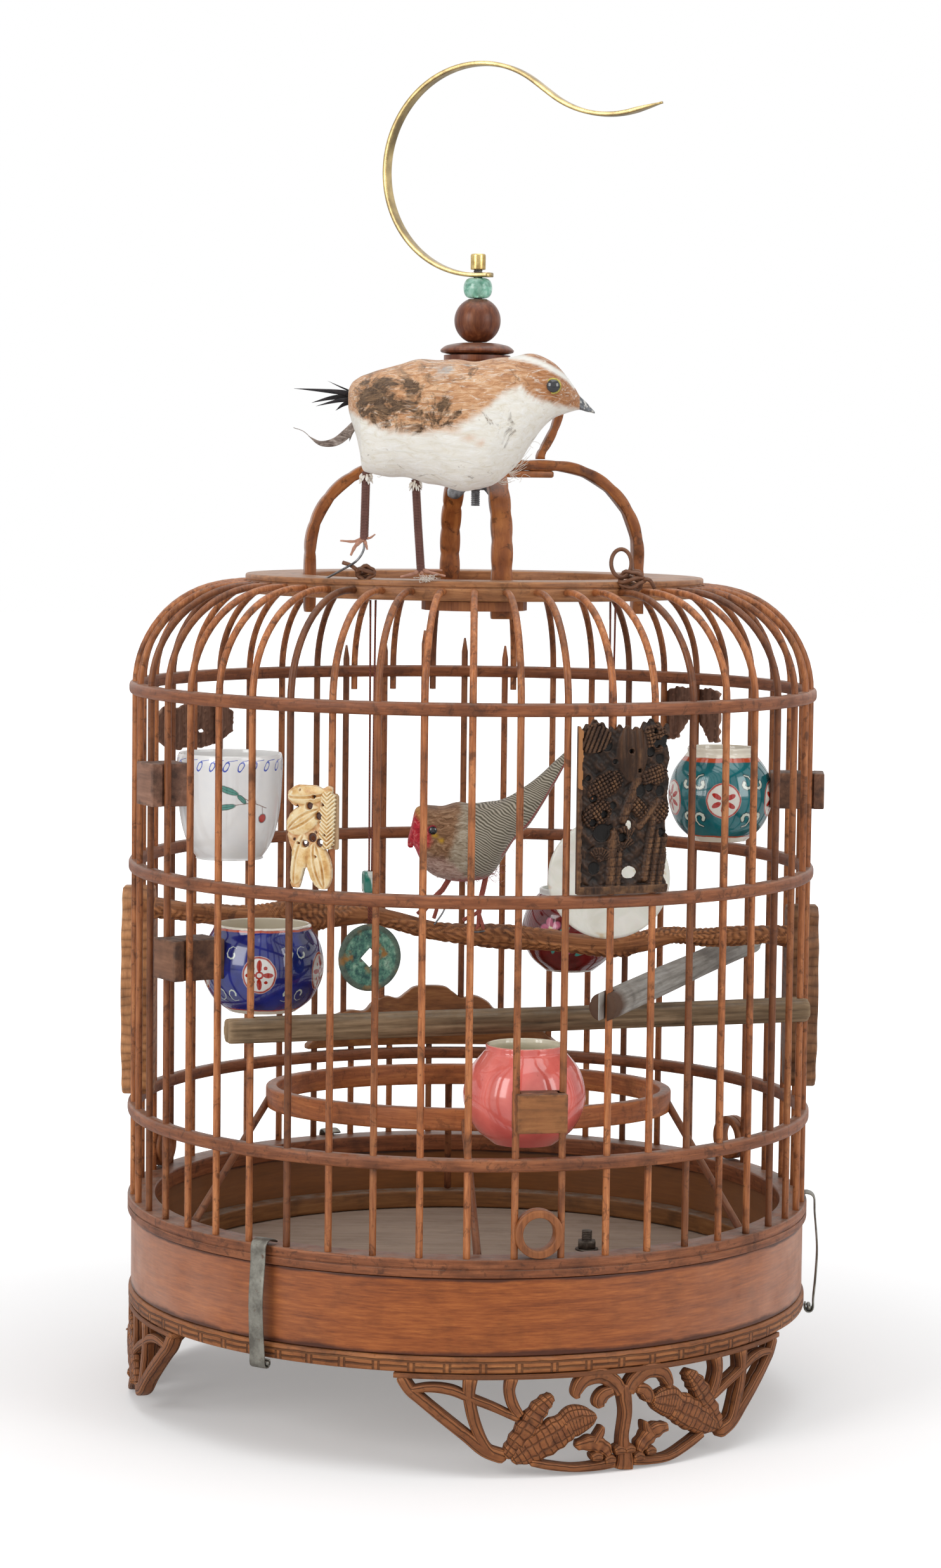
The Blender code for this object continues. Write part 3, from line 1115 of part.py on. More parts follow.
def hook():
    low = BEAD_HIGH + GAP
    turn = Matrix.Rotation(math.radians(HOOK_TURN), 4, "Z")
    item = solid("hook", moved(ribbon(hook_path(low + HOOK_THICK / 2), HOOK_WIDTH, HOOK_THICK), turn), BRASS)
    head_low = low + HOOK_THICK + GAP
    bore = turned(((0, low - HOOK_THICK), (BORE_RADIUS, low - HOOK_THICK), (BORE_RADIUS, head_low - GAP / 2),
                   (BOLT_HEAD_RADIUS + GAP, head_low - GAP / 2), (BOLT_HEAD_RADIUS + GAP, BOLT_HEAD_HIGH),
                   (0, BOLT_HEAD_HIGH)), BOLT_SEGMENTS)
    cut(item, bore, "bore")
    profile = ((0, BOLT_LOW), (BOLT_RADIUS, BOLT_LOW), (BOLT_RADIUS, head_low), (BOLT_HEAD_RADIUS, head_low),
               (BOLT_HEAD_RADIUS, BOLT_HEAD_HIGH), (0, BOLT_HEAD_HIGH))
    bolt = solid("hook_bolt", turned(profile, BOLT_SEGMENTS), BRASS, True)
    slot = box(2 * BOLT_HEAD_RADIUS, BOLT_SLOT / 2, BOLT_HEAD_HIGH - BOLT_SLOT_DEPTH, BOLT_HEAD_HIGH + BOLT_SLOT_DEPTH)
    cut(bolt, slot, "slot")


def wing_nut():
    profile = ((WING_HUB_RADIUS * 3 / 4, WING_HUB_LOW), (WING_HUB_RADIUS, WING_HUB_HIGH))
    loop = list(profile) + [(BORE_RADIUS, WING_HUB_HIGH), (BORE_RADIUS, WING_HUB_LOW)]
    item = solid("wing_nut", turned(loop, BOLT_SEGMENTS), STEEL, True)
    wings = []
    root = WING_HUB_RADIUS * 3 / 4
    for side in (-1, 1):
        outline = ((root, WING_HUB_HIGH - GAP), (WING_REACH, WING_HUB_LOW), (WING_REACH, WING_HUB_LOW - WING_DROP),
                   (WING_REACH * 3 / 4, WING_HUB_LOW - WING_DROP), (root, WING_HUB_LOW + GAP))
        vertices = [Vector((side * x, y, z)) for y in (-WING_THICK / 2, WING_THICK / 2) for x, z in outline]
        wings.append((vertices, loop_faces(2, len(outline))))
    add(item, combine(wings), "wings")


def bird_shell(shares, tail, length, low, height, width, y):
    stations = []
    for along, foot_share, head_share, wide in shares:
        middle = low + (foot_share + head_share) / 2 * height
        half_height = (head_share - foot_share) / 2 * height
        stations.append((tail + along * length, y, middle, wide * width, half_height))
    return loft(stations, BIRD_SIDES)


def top_bird():
    shell = bird_shell(TOP_BIRD_SHARES, TOP_BIRD_TAIL, TOP_BIRD_LENGTH, TOP_BIRD_LOW, TOP_BIRD_HEIGHT,
                       TOP_BIRD_WIDTH, TOP_BIRD_Y)
    item = solid("top_bird", shell, BUFF_FEATHER, True)
    axis = Vector((0, 1, 0))
    root = TOP_BIRD_LOW + LEG_INSET
    stand = sweep(((TOP_LEG_X, TOP_BIRD_Y, TOP_RING_HIGH + GAP), (TOP_LEG_X, TOP_BIRD_Y, root)),
                  LEG_RADIUS, LEG_SIDES, axis)
    hung = sweep(((HUNG_LEG_X, TOP_BIRD_Y, HUNG_LEG_LOW), (HUNG_LEG_X, TOP_BIRD_Y, root + LEG_INSET)),
                 LEG_RADIUS, LEG_SIDES, axis)
    start = Vector((HUNG_LEG_X, TOP_BIRD_Y, HUNG_LEG_LOW + LEG_RADIUS))
    end = Vector((WIRE_X, WIRE_END_Y, TOP_RING_HIGH + GAP + WIRE_RADIUS))
    wire = sweep((start, end), WIRE_RADIUS, LEG_SIDES, (end - start).cross(axis).normalized())
    add(item, stand, "leg")
    add(item, hung, "hung_leg")
    add(item, wire, "wire")


def perch_bird():
    shell = bird_shell(PERCH_BIRD_SHARES, PERCH_BIRD_TAIL, -PERCH_BIRD_LENGTH, PERCH_BIRD_LOW, PERCH_BIRD_HEIGHT,
                       PERCH_BIRD_WIDTH, PERCH_BIRD_Y)
    item = solid("perch_bird", shell, GREY_FEATHER, True)
    for side in (-1, 1):
        x = PERCH_LEG_X + side * PERCH_LEG_SPREAD
        leg = sweep(((x, PERCH_BIRD_Y, PERCH_LEG_LOW), (x, PERCH_BIRD_Y, PERCH_BIRD_LOW + LEG_INSET)),
                    LEG_RADIUS, LEG_SIDES, Vector((0, 1, 0)))
        add(item, leg, "leg_" + ("left" if side < 0 else "right"))


clear_scene()
base()
rib_cage()
for foot_name, foot_heading in FOOT_HEADINGS:
    foot(foot_name, foot_heading)
for clip_name, clip_heading in CLIP_HEADINGS:
    clip(clip_name, clip_heading)
for ring_name, ring_heading in RIB_RING_HEADINGS:
    rib_ring(ring_name, ring_heading)
sliding_door()
ring_board()
crown()
cap_stack()
wing_nut()
hook()
stage_ring()
perch("long_perch", LONG_PERCH_RADIUS, LONG_PERCH_HEIGHT, LONG_PERCH_HEADINGS, LONG_PERCH_BEYOND, GREY_PERCH)
perch("short_perch", SHORT_PERCH_RADIUS, SHORT_PERCH_HEIGHT, SHORT_PERCH_HEADINGS, SHORT_PERCH_BEYOND, PALE_PERCH)
branch_perch()
side_plate("left_plate", -1, LEFT_PLATE_LOW, LEFT_PLATE_HIGH)
side_plate("right_plate", 1, RIGHT_PLATE_LOW, RIGHT_PLATE_HIGH)
cups()
plaques()
coin_pendant()
disc_pendant()
top_bird()
perch_bird()
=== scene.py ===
import math

import bmesh
import bpy
import numpy as np
from mathutils import Matrix, Vector


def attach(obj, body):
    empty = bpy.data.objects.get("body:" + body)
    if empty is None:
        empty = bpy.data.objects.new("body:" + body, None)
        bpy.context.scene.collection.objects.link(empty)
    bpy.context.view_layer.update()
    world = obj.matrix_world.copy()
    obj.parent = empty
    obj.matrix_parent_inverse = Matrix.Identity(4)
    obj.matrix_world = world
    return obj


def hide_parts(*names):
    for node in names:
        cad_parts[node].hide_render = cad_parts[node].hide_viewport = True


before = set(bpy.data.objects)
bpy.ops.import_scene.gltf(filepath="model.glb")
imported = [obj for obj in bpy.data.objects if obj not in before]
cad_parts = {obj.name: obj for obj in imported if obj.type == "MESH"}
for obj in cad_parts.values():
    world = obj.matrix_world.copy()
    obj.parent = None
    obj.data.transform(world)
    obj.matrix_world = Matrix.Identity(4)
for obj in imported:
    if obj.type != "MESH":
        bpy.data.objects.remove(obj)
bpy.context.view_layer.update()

# The photograph: one long lens a little above the middle of the cage, tipped down and rolled slightly,
# with two soft boxes in front and a large one overhead. The floor and backdrop are plain white paper.
camera = bpy.data.objects.new("camera", bpy.data.cameras.new("camera"))
bpy.context.collection.objects.link(camera)
bpy.context.scene.camera = camera
film_tall, focal_pixels, picture_tall = 36, 5875, 2473
camera.data.sensor_fit = "VERTICAL"
camera.data.sensor_height = film_tall
camera.data.lens = film_tall * focal_pixels / picture_tall
tilt, roll = math.radians(4.74), math.radians(0.68)
across, over = Vector((1, 0, 0)), Vector((0, math.sin(tilt), math.cos(tilt)))
right = math.cos(roll) * across + math.sin(roll) * over
above = math.cos(roll) * over - math.sin(roll) * across
turn = Matrix((right, above, right.cross(above))).transposed().to_4x4()
camera.matrix_world = Matrix.Translation((-0.00066, -1.632, 0.406)) @ turn
bpy.context.scene.view_settings.view_transform = "Standard"


def soft_box(name, place, target, size, watts):
    """A rectangular lamp at a place, facing its target."""
    lamp = bpy.data.lights.new(name, "AREA")
    lamp.shape, lamp.size, lamp.size_y, lamp.energy = "RECTANGLE", size[0], size[1], watts
    item = bpy.data.objects.new(name, lamp)
    bpy.context.collection.objects.link(item)
    item.location = place
    item.rotation_euler = (Vector(target) - Vector(place)).to_track_quat("-Z", "Y").to_euler()


soft_box("left_box", (-1.5, -1.5, 1.0), (0, 0, 0.25), (0.9, 1.3), 17)
soft_box("right_box", (1.6, -1.3, 0.9), (0, 0, 0.25), (0.8, 1.2), 11)
soft_box("top_box", (0.1, -0.2, 1.9), (0, 0, 0.2), (1.6, 1.6), 13)


def plug(value, socket):
    """Links a value that is a socket, and sets one that is a number, colour or vector."""
    if isinstance(value, bpy.types.NodeSocket):
        socket.id_data.links.new(value, socket)
    elif hasattr(value, "__len__") and len(value) < len(socket.default_value):
        socket.default_value = (*value, 1)
    else:
        socket.default_value = value


def wire(item, **values):
    """Plugs each value into the socket of that name, with its spaces written as underscores."""
    for name, value in values.items():
        plug(value, item.inputs[name.replace("_", " ")])


def node(tree, kind, **values):
    """A new shader node; each value goes to a property or a socket by name."""
    item = tree.nodes.new("ShaderNode" + kind)
    for name, value in values.items():
        if hasattr(item, name) and name not in item.inputs:
            setattr(item, name, value)
        else:
            wire(item, **{name: value})
    return item


def calc(tree, operation, *values, clamp=False):
    """One step of arithmetic between sockets and numbers."""
    item = node(tree, "Math", operation=operation, use_clamp=clamp)
    for value, socket in zip(values, item.inputs):
        plug(value, socket)
    return item.outputs[0]


def spot(tree):
    """Where a point lies on the object."""
    return node(tree, "TexCoord").outputs["Object"]


world = bpy.data.worlds.new("paper_light")
bpy.context.scene.world = world
world.use_nodes = True
sky = world.node_tree
sky.nodes.clear()
rays = node(sky, "LightPath").outputs
seen = calc(sky, "MAXIMUM", calc(sky, "MAXIMUM", rays["Is Camera Ray"], rays["Is Transmission Ray"]),
            rays["Is Glossy Ray"])
strength = node(sky, "MapRange", Value=seen, To_Min=0.42, To_Max=1.0)
glow = node(sky, "Background", Color=(1, 1, 1), Strength=strength.outputs[0])
node(sky, "OutputWorld", Surface=glow.outputs[0])

floor_mesh = bpy.data.meshes.new("paper_floor")
floor_mesh.from_pydata([(-6, -3, 0), (6, -3, 0), (6, 9, 0), (-6, 9, 0)], [], [(0, 1, 2, 3)])
paper = bpy.data.objects.new("paper_floor", floor_mesh)
bpy.context.collection.objects.link(paper)
paper_white = bpy.data.materials.new("paper_white")
paper_white.use_nodes = True
tree = paper_white.node_tree
tree.nodes.clear()
matte = node(tree, "BsdfDiffuse", Color=(0.88, 0.88, 0.885)).outputs[0]
distance = node(tree, "VectorMath", operation="LENGTH", Vector=spot(tree))
fade = node(tree, "MapRange", interpolation_type="SMOOTHSTEP", Value=distance.outputs["Value"],
            From_Min=0.15, From_Max=1.1, To_Min=0.26, To_Max=1.1)
lit = node(tree, "Emission", Color=(1, 1, 1), Strength=fade.outputs[0]).outputs[0]
both, pick = node(tree, "AddShader"), node(tree, "MixShader")
plug(matte, both.inputs[0])
plug(lit, both.inputs[1])
for place, value in enumerate((node(tree, "LightPath").outputs["Is Camera Ray"], matte, both.outputs[0])):
    plug(value, pick.inputs[place])
node(tree, "OutputMaterial", Surface=pick.outputs[0])
floor_mesh.materials.append(paper_white)


# Drum of the base: one long strip of smooth bamboo bent round and lapped, standing on a carved rim and
# closed below by a floor board. It is oiled orange brown, with fine level grain and darker lower edge.
def surface(name, grid, around=True, closed=False, caps=False):
    """A mesh over a grid of points, rows by columns; the columns join round, and the last row joins the
    first if closed. UV gives the share of the columns and of the rows."""
    rows, columns = grid.shape[:2]
    index = np.arange(rows * columns).reshape(rows, columns)
    beside, over = np.roll(index, -1, 1), np.roll(index, -1, 0)
    both = np.roll(beside, -1, 0)
    keep = (slice(None) if closed else slice(-1), slice(None) if around else slice(-1))
    quads = np.stack([part[keep] for part in (index, beside, both, over)], -1).reshape(-1, 4)
    u = np.arange(columns) / (columns if around else columns - 1)
    v = np.arange(rows) / (rows if closed else rows - 1)
    wide, tall = u[1] - u[0], v[1] - v[0]
    uv = np.stack(np.meshgrid(u, v), -1)[keep][:, :, None, :]
    uv = (uv + np.array([(0, 0), (wide, 0), (wide, tall), (0, tall)])).reshape(-1, 2)
    faces = quads.tolist()
    if caps:
        faces += [index[0].tolist(), index[-1].tolist()]
        uv = np.concatenate([uv, np.stack([u, 0 * u], -1), np.stack([u, 0 * u + 1], -1)])
    return mesh_from(name, grid.reshape(-1, 3), faces, uv)


def mesh_from(name, points, faces, uv=None, tone=None):
    """A smooth closed mesh facing out, its doubles merged, with an optional UV map and tone attribute."""
    mesh = bpy.data.meshes.new(name)
    mesh.from_pydata(np.asarray(points).tolist(), [], faces)
    if uv is not None:
        mesh.uv_layers.new(name="UVMap").data.foreach_set("uv", np.asarray(uv, dtype=np.float32).ravel())
    if tone is not None:
        mesh.attributes.new("tone", "FLOAT", "POINT").data.foreach_set(
            "value", np.asarray(tone, dtype=np.float32))
    work = bmesh.new()
    work.from_mesh(mesh)
    bmesh.ops.remove_doubles(work, verts=work.verts, dist=1e-6)
    bmesh.ops.recalc_face_normals(work, faces=work.faces)
    work.to_mesh(mesh)
    work.free()
    mesh.shade_smooth()
    item = bpy.data.objects.new(name, mesh)
    bpy.context.collection.objects.link(item)
    return item


def fit(item, finish, body, slot, *nodes):
    """The piece gets its finish, rides its CAD body and stands for the CAD nodes named."""
    item.data.materials.clear()
    item.data.materials.append(finish)
    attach(item, body)
    if nodes:
        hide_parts(*nodes)
    return item


def round_corners(corners, radius, steps=4):
    """Outline with each corner replaced by a quadratic curve that starts and ends radius away from it."""
    corners = np.asarray(corners, float)
    before, after = np.roll(corners, 1, 0) - corners, np.roll(corners, -1, 0) - corners
    reach = np.broadcast_to(radius, len(corners))[:, None]
    start = corners + before / np.linalg.norm(before, axis=1)[:, None] * reach
    end = corners + after / np.linalg.norm(after, axis=1)[:, None] * reach
    t = np.linspace(0, 1, steps + 1)[None, :, None]
    curve = (1 - t) ** 2 * start[:, None] + 2 * t * (1 - t) * corners[:, None] + t ** 2 * end[:, None]
    return curve.reshape(-1, 2)


def spun(profile, steps, wave=None):
    """Grid of a profile of (radius, height) carried round Z; wave(angle, profile) may move its points."""
    angle = np.arange(steps) / steps * 2 * np.pi
    r, z = np.asarray(profile, float).T
    r, z = np.broadcast_to(r[:, None], (len(r), steps)), np.broadcast_to(z[:, None], (len(z), steps))
    if wave:
        r, z = wave(np.broadcast_to(angle, r.shape), r, z)
    return np.stack([r * np.sin(angle), -r * np.cos(angle), z], -1)


def times(tree, *values, clamp=False):
    """The product of two values."""
    return calc(tree, "MULTIPLY", *values, clamp=clamp)


def past(tree, value, start, gain):
    """How far a value is past a start, times a gain, kept from 0 to 1."""
    return times(tree, calc(tree, "SUBTRACT", value, start, clamp=True), gain, clamp=True)


def reach_of(tree, x, y):
    """How far a point (x, y) is from the middle."""
    return calc(tree, "SQRT", calc(tree, "MULTIPLY_ADD", x, x, times(tree, y, y)))


def mask(tree, label):
    """A share that was worked out for each point of the mesh."""
    return node(tree, "Attribute", attribute_name=label).outputs["Fac"]


def xyz_of(tree, vector=None):
    """The three measures of a vector, which is the place on the object if none is given."""
    return node(tree, "SeparateXYZ", Vector=vector or spot(tree)).outputs


def ramp(tree, value, *stops):
    """Colours or greys along a value, as (place, colour) pairs."""
    item = node(tree, "ValToRGB", Fac=value)
    band = item.color_ramp
    while len(band.elements) < len(stops):
        band.elements.new(0.5)
    for element, (place, colour) in zip(band.elements, stops):
        element.position, element.color = place, (*colour, 1)
    return item.outputs["Color"]


def mix(tree, factor, first, second):
    """Two colours mixed by a factor."""
    item = node(tree, "Mix", data_type="RGBA")
    for place, value in ((0, factor), (6, first), (7, second)):
        plug(value, item.inputs[place])
    return item.outputs[2]


def noise(tree, vector, scale, detail=4.0, rough=0.55, w=None, distort=0.0):
    """Cloudy grey at a scale, different at each w if one is given."""
    item = node(tree, "TexNoise", Vector=vector, Scale=scale, Detail=detail, Roughness=rough,
                Distortion=distort)
    if w is not None:
        item.noise_dimensions = "4D"
        wire(item, W=w)
    return item.outputs["Fac"]


def bumped(tree, height, strength, depth):
    """The normal of a surface that rises by a height."""
    return node(tree, "Bump", Height=height, Strength=strength, Distance=depth).outputs[0]


def new_group(name, inputs, outputs):
    """An empty node group: its tree, its named number inputs, and the node its results go to."""
    group = bpy.data.node_groups.new(name, "ShaderNodeTree")
    for label, value in inputs:
        socket = group.interface.new_socket(name=label, in_out="INPUT", socket_type="NodeSocketFloat")
        socket.default_value = value
    for label in outputs:
        group.interface.new_socket(name=label, in_out="OUTPUT", socket_type="NodeSocketFloat")
    return group, group.nodes.new("NodeGroupInput").outputs, group.nodes.new("NodeGroupOutput")


# Grain that runs round the cage, up it, along X, or along a bent piece, whose UV goes round it and along
# it: the coordinates are squeezed across the grain, so a streak is twelve times as long as it is wide.
grain_group, given, result = new_group(
    "wood_grain", [("Around", 0.0), ("Across", 0.0), ("Upward", 0.0), ("Traced", 0.0), ("Girth", 0.02),
                   ("Length", 0.2), ("Fine", 1.0)], ("Grain", "Mottle", "Pore"))
tree, squeeze_by = grain_group, 12.0
places = node(tree, "TexCoord").outputs
x, y, z = xyz_of(tree, places["Object"])
u, v, _ = xyz_of(tree, places["UV"])
turn = times(tree, u, 2 * math.pi)
girth = times(tree, given["Girth"], squeeze_by / (2 * math.pi))
straight, traced = node(tree, "CombineXYZ"), node(tree, "CombineXYZ")
for place, value, crossing in ((0, x, "Upward"), (1, y, "Upward"), (2, z, "Around")):
    squeeze = calc(tree, "MULTIPLY_ADD", given[crossing], squeeze_by - 1, 1.0)
    if place:
        squeeze = calc(tree, "MULTIPLY_ADD", given["Across"], squeeze_by - 1, squeeze)
    plug(times(tree, value, squeeze), straight.inputs[place])
for place, value in enumerate((times(tree, calc(tree, "COSINE", turn), girth),
                               times(tree, calc(tree, "SINE", turn), girth),
                               times(tree, v, given["Length"]))):
    plug(value, traced.inputs[place])
either = node(tree, "Mix", data_type="VECTOR")
for place, value in ((0, given["Traced"]), (4, straight.outputs[0]), (5, traced.outputs[0])):
    plug(value, either.inputs[place])
placed = node(tree, "VectorMath", operation="SCALE", Vector=either.outputs[1], Scale=given["Fine"]).outputs[0]
deep = times(tree, times(tree, reach_of(tree, x, y), squeeze_by), given["Around"])
fibre, streak = noise(tree, placed, 55.0, 6.0, 0.65, deep), noise(tree, placed, 14.0, 3.0, 0.5, deep)
wire(result, Grain=calc(tree, "MULTIPLY_ADD", fibre, 0.62, times(tree, streak, 0.38)),
     Mottle=noise(tree, places["Object"], 62.0, 5.0, 0.6), Pore=noise(tree, placed, 160.0, 2.0, 0.5, deep))

# Dust that lies on whatever faces up, thicker in patches.
dust_group, given, result = new_group("settled_dust", [("Amount", 0.5)], ("Mask",))
tree = dust_group
facing = xyz_of(tree, node(tree, "NewGeometry").outputs["Normal"])[2]
patches = noise(tree, spot(tree), 130.0, 6.0, 0.7)
loose = times(tree, past(tree, facing, 0.45, 1.9), past(tree, patches, 0.32, 3.0))
wire(result, Mask=times(tree, loose, given["Amount"]))


def new_finish(name):
    """A new material with its node tree and its shader."""
    finish = bpy.data.materials.new(name)
    finish.use_nodes = True
    return finish, *opened(finish)


def opened(finish):
    """The node tree and the shader of a material."""
    return finish.node_tree, finish.node_tree.nodes["Principled BSDF"]


def base_colour(finish):
    """The node tree and the shader of a material, and what feeds its colour so far."""
    tree, shader = opened(finish)
    return tree, shader, shader.inputs["Base Color"].links[0].from_socket


def bamboo(name, dark, middle, light, run="Around", fine=1.0, dust=0.4, rough=0.42, stain=0.5, bump=0.25,
           grey=(0.30, 0.265, 0.225), worn=0.0, toned=False, girth=0.02, length=0.2, specks=0.0):
    """Oiled wood: three browns along the grain, darker stains, black specks, grey dust on top and grain in
    the relief."""
    finish, tree, shader = new_finish(name)
    grain = node(tree, "Group", node_tree=grain_group, Girth=girth, Length=length, Fine=fine, **{run: 1.0})
    fibre, mottle, pore = grain.outputs
    edge = node(tree, "NewGeometry").outputs["Pointiness"]
    layers = [(past(tree, mottle, 0.52, 5.0), stain, dark, 0.22),
              (past(tree, 0.40, pore, 2.2), 1, dark, 0.35)]
    if specks:
        speck = noise(tree, spot(tree), 210.0, 5.0, 0.7, None, 0.6)
        layers.append((past(tree, speck, 0.545, 11.0), specks, dark, 0.20))
    if toned:
        layers.append((mask(tree, "tone"), 0.75, dark, 0.45))
    if worn:
        layers += [(past(tree, edge, 0.505, 14.0), worn, light, 1.35),
                   (past(tree, 0.495, edge, 12.0), min(1.0, 1.3 * worn), dark, 0.18)]
    wood = ramp(tree, fibre, (0.34, dark), (0.50, middle), (0.66, light))
    for where, amount, tone, shade in layers:
        where = where if amount == 1 else times(tree, where, amount)
        wood = mix(tree, where, wood, [min(1.0, shade * part) for part in tone])
    if dust:
        wood = mix(tree, node(tree, "Group", node_tree=dust_group, Amount=dust).outputs[0], wood, grey)
    height = calc(tree, "MULTIPLY_ADD", fibre, 0.7, times(tree, pore, 0.3))
    wire(shader, Base_Color=wood, Specular_IOR_Level=0.35, Normal=bumped(tree, height, bump, 0.0006),
         Roughness=calc(tree, "MULTIPLY_ADD", mottle, 0.30, rough - 0.12))
    return finish


def height_in(tree, low, high):
    """Object height as a share of the way from low to high."""
    return calc(tree, "DIVIDE", calc(tree, "SUBTRACT", xyz_of(tree)[2], low), high - low)


wall_low, wall_high, wall_inner, wall_outer = 0.0503, 0.0823, 0.1424, 0.1484
corners = [(wall_inner, wall_low), (wall_outer, wall_low), (wall_outer, wall_high), (wall_inner, wall_high)]
drum_wall = surface("drum_wall_strip", spun(round_corners(corners, 0.0006), 192), closed=True)
drum_finish = bamboo("oiled_drum", (0.163, 0.037, 0.008), (0.315, 0.083, 0.018), (0.473, 0.144, 0.033),
                     fine=1.6, dust=0.0, rough=0.36, stain=0.30, bump=0.12)
# Its left and right flanks are painted paler, a painted reflection with a little pale dust in it, and a dark
# line wanders along its top and its foot: painted shade under the sill at the top, a stain along the foot.
tree, shader, colour = base_colour(drum_finish)
waver = noise(tree, spot(tree), 38.0, 4.0, 0.6)
x, y, _ = xyz_of(tree)
# Painted reflection: the wall turns paler towards its flanks, as the sheen at a grazing view would, with a
# little pale dust.
flank = calc(tree, "POWER", calc(tree, "DIVIDE", calc(tree, "ABSOLUTE", x), wall_outer, clamp=True), 3.0)
wear_and_sheen = times(tree, flank, calc(tree, "MULTIPLY_ADD", waver, 0.9, 0.05), clamp=True)
colour = mix(tree, wear_and_sheen, colour, (0.62, 0.36, 0.26))
inner_face = calc(tree, "LESS_THAN", reach_of(tree, x, y), wall_inner + 0.001)
colour = mix(tree, times(tree, inner_face, 0.65), colour, (0.19, 0.085, 0.024))
# Painted shade along the top of the wall under the sill, and a stain along its foot, drawn as one dark
# wavering line.
level = height_in(tree, wall_low, wall_high)
from_edge = calc(tree, "MINIMUM", level, times(tree, calc(tree, "SUBTRACT", 1.0, level), 1.6))
shade_and_stain_line = times(tree, calc(tree, "SUBTRACT", times(tree, waver, 0.16), from_edge), 22.0, clamp=True)
wire(shader, Base_Color=mix(tree, times(tree, shade_and_stain_line, 0.85), colour, (0.045, 0.012, 0.007)))
fit(drum_wall, drum_finish, "cage", "bamboo", "drum_wall")


def ring_of(name, inner, outer, low, high, edge, steps):
    """A plain rectangle with its corners rounded, carried round Z; the corners on the axis stay sharp."""
    corners = [(inner, low), (outer, low), (outer, high), (inner, high)]
    reach = np.array([edge if inner else 0, edge, edge, edge if inner else 0])
    return surface(name, spun(round_corners(corners, reach), steps), closed=True)


floor_finish = bamboo("dusty_floor", (0.27, 0.197, 0.145), (0.385, 0.288, 0.218), (0.49, 0.376, 0.29),
                      run="Across", fine=0.6, dust=0.55, rough=0.85, stain=0.25, grey=(0.42, 0.33, 0.27))
fit(ring_of("floor_disc", 0.0, 0.1418, 0.0503, 0.0555, 0.0005, 128), floor_finish, "cage", "dusty_wood",
    "floor_board")
inner_finish = bamboo("inner_bamboo", (0.120, 0.045, 0.014), (0.225, 0.092, 0.027), (0.340, 0.155, 0.052),
                      fine=1.1, dust=0.8, rough=0.5, stain=0.5)
fit(ring_of("inner_ledge_hoop", 0.1330, 0.1418, 0.0558, 0.0640, 0.0012, 160), inner_finish, "cage", "bamboo",
    "inner_ledge")


# Bottom rim: a thick hoop below the drum with a plain bead along its top; under the bead its edge is
# lightly carved as a run of bamboo canes, with a level groove and a pair of nicks at every node.
rim_low, rim_high, rim_inner, rim_outer = 0.0433, 0.0500, 0.1360, 0.1495


def carve(tree, colour, shader, height, depth, dark, strength=1.0):
    """Sinks a drawn line into a finish: darker in the cut, with a bump from it."""
    bump = shader.inputs["Normal"].links[0].from_node
    cut = node(tree, "Bump", Height=height, Strength=strength, Distance=depth)
    wire(cut, Normal=bump.outputs[0])
    wire(shader, Normal=cut.outputs[0])
    shade = times(tree, calc(tree, "SUBTRACT", 1.0, height, clamp=True), dark)
    wire(shader, Base_Color=mix(tree, shade, colour, (0.028, 0.010, 0.004)))


def uv_of(tree):
    """The piece's own two measures, round it and along it."""
    return xyz_of(tree, node(tree, "TexCoord").outputs["UV"])


def running(tree, count):
    """The place round a hoop, from 0 to 1 in each of its repeats."""
    return calc(tree, "FRACT", times(tree, uv_of(tree)[0], count))


def stroke(tree, value, middle, half, soft):
    """1 away from a line at middle, 0 on it."""
    gap = calc(tree, "SUBTRACT", calc(tree, "ABSOLUTE", calc(tree, "SUBTRACT", value, middle)), half)
    return calc(tree, "DIVIDE", gap, soft, clamp=True)


def least(tree, *values):
    """The smallest of the values."""
    shade = values[0]
    for value in values[1:]:
        shade = calc(tree, "MINIMUM", shade, value)
    return shade


def most(tree, *values):
    """The largest of the values."""
    shade = values[0]
    for value in values[1:]:
        shade = calc(tree, "MAXIMUM", shade, value)
    return shade


rim = ring_of("bottom_rim_hoop", rim_inner, rim_outer, rim_low, rim_high, 0.0016, 288)
rim_finish = bamboo("carved_rim", (0.150, 0.045, 0.012), (0.310, 0.105, 0.030), (0.460, 0.185, 0.060),
                    fine=1.2, dust=0.2, rough=0.50, stain=0.5, specks=0.3)
tree, shader, colour = base_colour(rim_finish)
run = running(tree, 64)
level = height_in(tree, rim_low, rim_high)
waver = noise(tree, spot(tree), 90.0, 2.0)
level = calc(tree, "MULTIPLY_ADD", calc(tree, "SUBTRACT", waver, 0.5), 0.20, level)
middle = stroke(tree, run, 0.5, 0.10, 0.02)
key = least(tree, stroke(tree, level, 0.70, 0.02, 0.06),
            most(tree, stroke(tree, level, 0.34, 0.01, 0.08), calc(tree, "SUBTRACT", 1.0, middle)),
            most(tree, stroke(tree, run, 0.42, 0.008, 0.03), stroke(tree, level, 0.34, 0.24, 0.05)),
            most(tree, stroke(tree, run, 0.58, 0.008, 0.03), stroke(tree, level, 0.34, 0.24, 0.05)))
carve(tree, colour, shader, key, 0.0009, 0.48)
fit(rim, rim_finish, "cage", "bamboo", "bottom_rim")


# Sill: a wide hoop of two bent strips laid one on the other, on which the drum closes and out of which
# the ribs stand. The joint between the strips shows as a dark line, nicked here and there.
sill_low, sill_top, sill_inner, sill_outer = 0.0826, 0.0903, 0.1380, 0.1500
sill_joint = sill_low + 0.48 * (sill_top - sill_low)
joint_half, joint_deep = 0.00035, 0.0006


